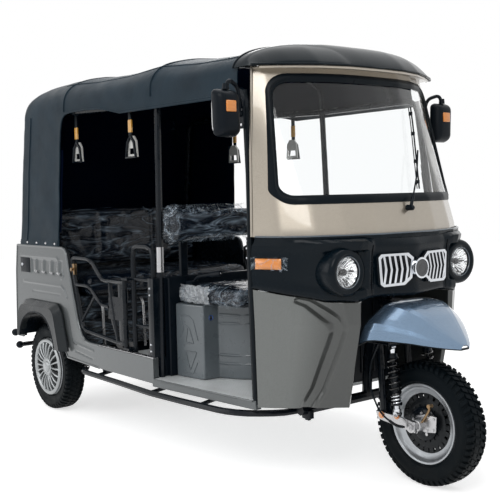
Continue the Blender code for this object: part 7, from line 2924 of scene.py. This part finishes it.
@dataclass
class Sides:
    """Posts, rails, guards, grab handles and the two gates."""

    def posts(self) -> None:
        """The side frames with their bolts, sleeve, angle post and door seal."""
        for side in Side:
            s, word = side.value, side.word
            DRESSER.copy("side_frame_" + word, FRAME_BLACK, width=0.001)
            sleeve = Form().rod(self.mid_post(s, 0.865), self.mid_post(s, 0.985), 0.0172, sides=28)
            sleeve.stand("post_sleeve_" + word, STEEL)
            angle = Form()
            angle.box((back(1.212), s * 0.583, 0.455), (back(1.168), s * 0.606, 0.838))
            angle.box((back(1.172), s * 0.540, 0.455), (back(1.166), s * 0.606, 0.838))
            angle.rounded(0.002).stand("angle_post_" + word, FRAME_BLACK)
            bolts = Form()
            for z in (0.790, 0.758, 0.520, 0.488, 0.440):
                bolts.rod((back(1.190), s * 0.606, z), (back(1.190), s * 0.6115, z), 0.0060, 0.0050, 6)
            for z in (1.035, 1.005, 0.965):
                bolts.rod((back(0.466), s * 0.578, z), (back(0.466), s * 0.5835, z), 0.0055, 0.0045, 6)
            bolts.stand("post_bolts_" + word, CHROME)
            copper = Form().rod((back(0.468), s * 0.5450, 0.362), (back(0.468), s * 0.5500, 0.362), 0.008, 0.007, 6)
            copper.stand("pillar_bolt_" + word, COPPER_BOLT)
            pillar = Form()
            path = [(0.472, 0.545, 0.345), (0.452, 0.572, 0.83), (0.446, 0.580, 1.05)]
            pillar.pipe([(back(d), s * y, z) for d, y, z in path], 0.0125, 10)
            pillar.pipe([(back(d + 0.018), s * (y - 0.008), z) for d, y, z in path], 0.0105, 10)
            upper = [(0.446, 0.580, 1.05), (0.492, 0.545, 1.55), (0.512, 0.535, 1.66)]
            pillar.pipe([(back(d + 0.004), s * (y - 0.003), z) for d, y, z in upper], 0.0110, 10)
            pillar.stand("door_pillar_" + word, SOFT_RUBBER)
            self.handles(side)

    @staticmethod
    def mid_post(s: int, z: float) -> Point:
        """The middle post's centre at a height."""
        t = (z - 0.422) / (1.665 - 0.422)
        return back(1.17 + 0.02 * t), s * (0.565 - 0.030 * t), z

    def handles(self, side: Side) -> None:
        """Hanging grab handles with amber sleeves on their straps.

        Args:
            side: The vehicle's side.
        """
        s, word = side.value, side.word
        grips, sleeves, straps = Form(), Form(), Form()
        for distance, y, top in ((1.44, 0.5378, 1.675), (2.00, 0.5441, 1.697)):
            x = back(distance)
            plate = Form().panel(24, 26, lambda u, v: (x - 0.050 + 0.100 * u, s * y - s * 0.005, 1.420 + 0.112 * v))
            plate.cut(
                [
                    (x - 0.047, 1.426), (x + 0.047, 1.426), (x + 0.040, 1.505), (x + 0.018, 1.531),
                    (x - 0.018, 1.531), (x - 0.040, 1.505),
                ],
                keep_inside=True,
            )
            plate.cut([(x - 0.034, 1.440), (x + 0.034, 1.440), (x + 0.031, 1.470), (x - 0.031, 1.470)])
            plate.walled(0.010).rounded(0.0012)
            grips.work.from_mesh(meshed(plate.work, "grip"))
            straps.box((x - 0.0125, s * y - 0.0034, 1.530), (x + 0.0125, s * y + 0.0034, top - 0.012))
            straps.rod((x - 0.014, s * y, top), (x + 0.014, s * y, top), 0.0185, sides=20)
            sleeves.box((x - 0.0150, s * y - 0.0052, 1.548), (x + 0.0150, s * y + 0.0052, 1.612))
        grips.stand("grab_handles_" + word, HANDLE_WHITE)
        straps.rounded(0.0012).stand("handle_straps_" + word, SOFT_RUBBER)
        sleeves.rounded(0.003, 3).stand("handle_sleeves_" + word, SLEEVE_AMBER)

    def gates(self) -> None:
        """The two gates with their pierced plate, latch and hinges."""
        for side in Side:
            s, word = side.value, side.word
            body = Body.GATE_RIGHT if s < 0 else Body.GATE_LEFT
            DRESSER.copy("side_gate_" + word, FRAME_BLACK, width=0.001)
            plate = Form().panel(
                40, 26, lambda u, v: (back(1.604 - 0.152 * u - 0.010 * v), s * 0.6050, 0.606 + 0.118 * v),
            )
            holes = [(1.572, 0.688), (1.530, 0.684), (1.564, 0.640), (1.524, 0.636)]
            for distance, z in holes:
                square = [
                    (distance + 0.0125, z - 0.010), (distance + 0.0135, z + 0.010), (distance - 0.0125, z + 0.010),
                    (distance - 0.0135, z - 0.010),
                ]
                plate.cut(side_view(square))
            plate.walled(0.0025).stand("gate_plate_" + word, FRAME_BLACK, smooth=30.0, body=body)
            upright = Form()
            upper = ((1.604, 0.800), (1.586, 0.800), (1.575, 0.720), (1.594, 0.720))
            lower = ((1.588, 0.612), (1.560, 0.612), (1.505, 0.495), (1.525, 0.495))
            for outline in (upper, lower):
                upright.prism(side_view(outline), s * 0.597, s * 0.603)
            upright.box((back(1.500), s * 0.596, 0.494), (back(1.452), s * 0.604, 0.796))
            upright.rounded(0.001).stand("gate_uprights_" + word, FRAME_BLACK, body=body)
            for z, name in ((0.555, "low"), (0.735, "high")):
                hinge = Form().rod(
                    (back(1.440), s * 0.600, z - 0.035), (back(1.440), s * 0.600, z + 0.035), 0.0150, sides=20,
                )
                hinge.rod((back(1.440), s * 0.600, z - 0.010), (back(1.440), s * 0.600, z + 0.010), 0.0165, sides=20)
                hinge.stand("gate_hinge_" + name + "_" + word, FRAME_BLACK, body=body)
            latch = Form()
            latch.box((back(1.985), s * 0.592, 0.812), (back(1.960), s * 0.608, 0.872))
            latch.rod((back(1.972), s * 0.606, 0.842), (back(1.972), s * 0.622, 0.842), 0.008, 0.010, 20)
            latch.rod((back(2.010), s * 0.600, 0.826), (back(1.960), s * 0.600, 0.826), 0.006, sides=14)
            latch.rounded(0.0012).stand("gate_latch_" + word, BRASS, body=body)
            catch = Form().box((back(2.012), s * 0.575, 0.800), (back(1.985), s * 0.590, 0.880))
            catch.rounded(0.002).stand("gate_catch_" + word, FRAME_BLACK)

    def build(self) -> None:
        """Builds both sides."""
        self.posts()
        self.gates()


@dataclass
class Interior:
    """Seat box, partition, floor, bench base and battery."""

    def seat_box(self) -> None:
        """The moulded grey box under the driver, with pressed shapes and ribs."""
        DRESSER.copy("driver_seat_box", SEAT_BOX, width=0.008)
        near, far = (back(1.140), 0.500), (back(0.950), 0.470)
        lines = Form()
        shapes = (
            ((0.16, 0.66), (0.50, 0.66), (0.64, 0.64), (0.80, 0.545)),
            ((0.16, 0.66), (0.30, 0.60), (0.18, 0.555)),
            ((0.36, 0.615), (0.50, 0.60), (0.64, 0.53), (0.36, 0.53), (0.44, 0.60)),
            ((0.34, 0.49), (0.74, 0.49), (0.50, 0.40), (0.34, 0.49)),
            ((0.18, 0.47), (0.34, 0.385), (0.60, 0.385), (0.76, 0.44)),
        )
        for side in (-1, 1):
            for shape in shapes:
                path = []
                for t, z in shape:
                    x = near[0] + (far[0] - near[0]) * t
                    y = side * (near[1] + (far[1] - near[1]) * t + 0.0008)
                    path.append((x, y, z))
                lines.pipe(bent(path, 0.006, 2), 0.0026, 6)
        lines.stand("seat_box_ridges", SEAT_BOX)
        ribs = Form()
        front = (
            (0.945, 0.385), (0.830, 0.331), (0.740, 0.201), (0.7195, 0.0), (0.740, -0.201), (0.830, -0.331),
            (0.945, -0.385),
        )
        for z in (0.665, 0.625, 0.475, 0.435):
            ribs.pipe(bent([(back(d), y, z) for d, y in front], 0.06, 4), 0.0065, 8)
        ribs.stand("seat_box_ribs", SEAT_BOX)
        keyhole = Form().rod((back(0.9448), -0.430, 0.655), (back(0.9425), -0.430, 0.655), 0.009, 0.008, 20)
        keyhole.stand("seat_box_lock", STEEL)
        ring = Form().spun(
            [(0.0090, back(0.9450)), (0.0120, back(0.9430)), (0.0125, back(0.9450))], (0.0, -0.430, 0.655), "X", 24,
        )
        ring.stand("seat_box_lock_ring", LOCK_BLUE)

    def rest(self) -> None:
        """Floor, partition, bench base, battery and their trim."""
        DRESSER.copy("floor_plate", DECK, width=0.001)
        DRESSER.copy("partition", SATIN_BLACK, width=0.003)
        wings = Form()
        for s in (-1, 1):
            wings.box((back(1.178), s * 0.528, 0.364), (back(1.166), s * 0.562, 0.838))
        wings.stand("partition_wings", SATIN_BLACK)
        DRESSER.copy("bench_base", BENCH_BLACK, width=0.002)
        DRESSER.copy("battery_pack", SATIN_BLACK, width=0.003)
        skirt = Form().panel(
            60, 8,
            lambda u, v: (back(1.968) + 0.006 * math.sin(u * 40) * (1 - v), -0.585 + 1.17 * u, 0.40 + 0.29 * v),
        )
        skirt.walled(0.002).stand("bench_skirt", BENCH_BLACK)
        legs = Form()
        for y in (-0.46, -0.20, 0.20, 0.46):
            legs.pipe(
                bent([(back(1.950), y, 0.655), (back(1.925), y, 0.625), (back(1.915), y, 0.380)], 0.03, 4), 0.0075,
                10,
            )
        legs.stand("bench_legs", STEEL)
        lever = Form()
        lever.pipe(
            bent([(back(1.060), -0.445, 0.812), (back(1.030), -0.440, 0.842), (back(0.930), -0.432, 0.858)], 0.02, 4),
            0.0080, 10,
        )
        lever.pipe([(back(0.930), -0.432, 0.858), (back(0.860), -0.428, 0.868)], 0.0125, 14)
        lever.box((back(1.085), -0.470, 0.800), (back(1.035), -0.425, 0.822))
        lever.stand("parking_lever", SATIN_BLACK)
        button = Form().rod((back(0.860), -0.428, 0.868), (back(0.855), -0.4277, 0.8688), 0.006, 0.005, 14)
        button.stand("parking_lever_button", CHROME)
        display = Form().box(
            (back(0.232), -0.115, 1.000), (back(0.205), 0.115, 1.066), Matrix.Rotation(math.radians(8), 4, "Y"),
        )
        display.rounded(0.006, 3).stand("dash_display", GLOSS_BLACK)
        knobs = Form()
        for y in (-0.185, -0.150, 0.150, 0.185):
            knobs.rod((back(0.238), y, 1.010), (back(0.252), y, 1.010), 0.010, 0.0085, 20)
        knobs.stand("dash_knobs", SATIN_BLACK)

    def build(self) -> None:
        """Builds the interior."""
        self.seat_box()
        self.rest()


@dataclass
class Pad:
    """One stuffed seat pad, blown up by a cloth simulation, with its packing film."""

    name: str
    node: str
    swell: float
    film_scale: float
    front_axis: str
    creases: int = 0
    voxel: float = 0.013
    shrink: float = 0.007
    pressure: float = 4.0
    frames: int = 20

    def start(self, low: Vector, high: Vector) -> bpy.types.Object:
        """The pad before it is blown up: slightly small, its corners round.

        Args:
            low: The node's lowest corner.
            high: The node's highest corner.

        Returns:
            The pad.
        """
        shrink = Vector((self.shrink,) * 3)
        form = Form().box(low + shrink, high - shrink).rounded(0.022, 4)
        piece = placed(self.name + "_start", meshed(form.work, self.name + "_start"))
        remesh = piece.modifiers.new("voxels", "REMESH")
        remesh.mode = "VOXEL"
        remesh.voxel_size = self.voxel
        bpy.context.view_layer.update()
        graph = bpy.context.evaluated_depsgraph_get()
        mesh = bpy.data.meshes.new_from_object(piece.evaluated_get(graph))
        piece.modifiers.clear()
        piece.data = mesh
        return piece

    def blown(self, piece: bpy.types.Object, low: Vector, high: Vector) -> None:
        """Swells the pad with a cloth simulation, and holds how far each point may move.

        Args:
            piece: The pad.
            low: The node's lowest corner.
            high: The node's highest corner.
        """
        rest = [vert.co.copy() for vert in piece.data.vertices]
        cloth = piece.modifiers.new("stuffing", "CLOTH")
        cloth.settings.use_pressure = True
        cloth.settings.uniform_pressure_force = self.pressure
        cloth.settings.effector_weights.gravity = 0.0
        cloth.settings.quality = 5
        cloth.collision_settings.use_collision = False
        scene = bpy.context.scene
        for frame_number in range(1, self.frames + 1):
            scene.frame_set(frame_number)
        graph = bpy.context.evaluated_depsgraph_get()
        moved = [vert.co.copy() for vert in piece.evaluated_get(graph).data.vertices]
        piece.modifiers.clear()
        scene.frame_set(1)
        room = 0.008
        for vert, before, after in zip(piece.data.vertices, rest, moved):
            step = after - before
            if step.length > self.swell:
                step *= self.swell / step.length
            spot = before + step
            for axis in range(3):
                spot[axis] = min(max(spot[axis], low[axis] - (room if axis != 2 else 0.0)), high[axis] + room)
            vert.co = spot

    def channels(self, piece: bpy.types.Object, low: Vector, high: Vector) -> None:
        """Sinks sewn channels, and softens the pad with small unevenness.

        Args:
            piece: The pad.
            low: The node's lowest corner.
            high: The node's highest corner.
        """
        size = high - low
        for vert in piece.data.vertices:
            spot = vert.co
            share = (spot.y - low.y) / size.y
            sink = 0.0
            for k in range(1, self.creases + 1):
                sink += 0.008 * math.exp(-(((share - k / (self.creases + 1)) * size.y / 0.012) ** 2))
            middle = (low + high) / 2
            out = Vector(((spot.x - middle.x) / size.x, 0.0, (spot.z - middle.z) / size.z)).normalized()
            uneven = 0.0022 * waves(tuple(spot), 9.0, 3.0)
            if spot.z > low.z + 0.012 or self.front_axis == "X":
                vert.co = spot + out * (uneven - sink)

    def build(self, filmed: bool = True) -> None:
        """Builds the pad and its film.

        Args:
            filmed: Whether it is wrapped.
        """
        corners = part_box(self.node)
        low, high = Vector(corners[0]), Vector(corners[1])
        piece = self.start(low, high)
        self.blown(piece, low, high)
        self.channels(piece, low, high)
        piece.name = piece.data.name = self.name
        piece.data.materials.clear()
        piece.data.shade_smooth()
        level = piece.modifiers.new("even_surface", "SUBSURF")
        level.levels = level.render_levels = 1
        SEAT_VINYL.cover(piece, Body.MAIN.value, [self.node])
        if filmed:
            self.film(low, high)

    def film(self, low: Vector, high: Vector) -> None:
        """A crinkled bag of clear packing film round the pad, bunched at its ends.

        Args:
            low: The node's lowest corner.
            high: The node's highest corner.
        """
        corner = 0.026
        form = Form().box(low - Vector((0.001, 0.001, 0.0)), high + Vector((0.004, 0.001, 0.004)))
        bmesh.ops.subdivide_edges(form.work, edges=form.work.edges[:], cuts=36, use_grid_fill=True)
        for vert in form.work.verts:
            core = Vector(
                min(max(place, start + corner), end - corner) for place, start, end in zip(vert.co, low, high)
            )
            vert.co = core + (vert.co - core).normalized() * corner
        middle = (low + high) / 2
        half = (high - low) / 2
        for vert in form.work.verts:
            spot = vert.co
            if spot.z < low.z + 0.006 and self.front_axis == "Z":
                spot.z = low.z + 0.001
                continue
            out = Vector((
                (
                    (spot.x - middle.x) / half.x
                ) ** 5, ((spot.y - middle.y) / half.y) ** 9 * 0.4, ((spot.z - middle.z) / half.z) ** 5,
            ))
            out = out.normalized() if out.length > 1e-6 else Vector((0, 0, 1))
            end = max(0.0, abs(spot.y - middle.y) / half.y - 0.75) / 0.25
            a = abs(waves((spot.x * 1.0, spot.y * 0.8, spot.z), self.film_scale, 21.0))
            b = abs(waves((spot.x * 1.3, spot.y, spot.z * 1.4), self.film_scale * 2.3, 5.0))
            ridge = (1 - min(a * 3.2, 1.0)) * 0.0060 + (1 - min(b * 3.2, 1.0)) * 0.0030
            vert.co = spot + out * (ridge * (0.7 + 0.9 * end) + 0.0012)
        under = [
            face for face in form.work.faces if face.normal.z < -0.5 and face.calc_center_median().z < low.z + 0.012
        ]
        bmesh.ops.delete(form.work, geom=under, context="FACES")
        area = form.area()
        film = form.stand(self.name + "_film", CLEAR_FILM, smooth=180.0)


@dataclass
class Seats:
    """The four pads and the loose film bunched at the driver's cushion."""

    def build(self) -> None:
        """Builds every pad."""
        Pad("driver_cushion_pad", "driver_cushion", 0.014, 9.0, "Z").build()
        Pad("driver_backrest_pad", "driver_backrest", 0.014, 8.0, "X").build()
        Pad("bench_cushion_pad", "bench_cushion", 0.018, 7.0, "Z", 2, 0.016).build(filmed=False)
        Pad("bench_backrest_pad", "bench_backrest", 0.016, 7.0, "X", 2, 0.016).build(filmed=False)
        self.bunches()

    def bunches(self) -> None:
        """White gathered film at the near and far corners of the driver's cushion."""
        for side in Side:
            s = side.value

            def place(u: float, v: float) -> Point:
                """A point of the gathered film."""
                x = back(1.145) + 0.235 * u
                y = s * (0.474 - 0.020 * (1 - math.sin(math.pi * u)))
                z = 0.722 + 0.083 * v
                fold = abs(waves((u * 7, v * 3.5, s * 2.0), 1.6, 31.0)) * 0.022
                fold += abs(waves((u * 16, v * 8, s * 3.0), 1.4, 7.0)) * 0.008
                bulge = 0.010 * math.sin(math.pi * v) ** 0.6
                return x, y + s * (bulge - fold * 0.7 + 0.008), z + 0.006 * waves((u * 9, v * 2, s), 1.0, 4.0)

            form = Form().panel(90, 40, place)
            area = form.area()
            film = form.stand("film_bunch_" + side.word, WHITE_FILM, smooth=180.0)


@dataclass
class Underbody:
    """Frame, axle, springs and the pieces under the floor."""

    def build(self) -> None:
        """Builds the frame's skin and the running gear's details."""
        DRESSER.copy("chassis_frame", FRAME_BLACK, width=0.0012)
        DRESSER.copy("rear_axle", FRAME_BLACK, width=0.002)
        clamps, drums = Form(), Form()
        for s in (-1, 1):
            for k in (-0.030, 0.030):
                x = REAR_AXLE_X + k
                clamps.pipe(
                    bent(
                        [(x, s * 0.336, 0.300), (x, s * 0.336, 0.204), (x, s * 0.384, 0.204), (x, s * 0.384, 0.300)],
                        0.02, 3,
                    ),
                    0.005, 8,
                )
            clamps.box((-1.145, s * 0.330, 0.292), (-1.055, s * 0.390, 0.302))
            drums.spun(
                [(0.0, s * 0.443), (0.078, s * 0.443), (0.092, s * 0.450), (0.092, s * 0.470), (0.0, s * 0.472)],
                (REAR_AXLE_X, 0.0, REAR_AXLE_Z), "Y", 40,
            )
            for z in (0.2955, 0.2885):
                clamps.box((-1.19, s * 0.340, z - 0.003), (-1.01, s * 0.380, z + 0.001))
        clamps.stand("spring_clamps", STEEL)
        drums.stand("rear_drums", FRAME_BLACK, smooth=35.0)
        fins = Form()
        for k in range(9):
            x = -1.305 + 0.021 * k
            fins.box((x - 0.0015, -0.045, 0.170), (x + 0.0015, 0.125, 0.178))
        fins.stand("motor_fins", FRAME_BLACK)
        exit_stub = Form().box((back(0.372), -0.380, 0.276), (back(0.328), -0.350, 0.312))
        exit_stub.box((back(0.362), -0.372, 0.268), (back(0.338), -0.358, 0.282))
        exit_stub.rounded(0.002).stand("step_bar_bracket", FRAME_BLACK)


def main() -> None:
    """Builds the stage and every piece, in order."""
    logging.basicConfig(level=logging.INFO, format="%(message)s")
    Studio().build()
    parts = (
        FrontSuspension(), CabFront(), Screen(), Canopy(), FrontWheel(), RearWheel(Side.RIGHT), RearWheel(Side.LEFT),
        RearBody(), Sides(), Interior(), Seats(), Underbody(),
    )
    for part in parts:
        LOG.info("building %s", type(part).__name__)
        part.build()


if __name__ == "__main__":
    main()
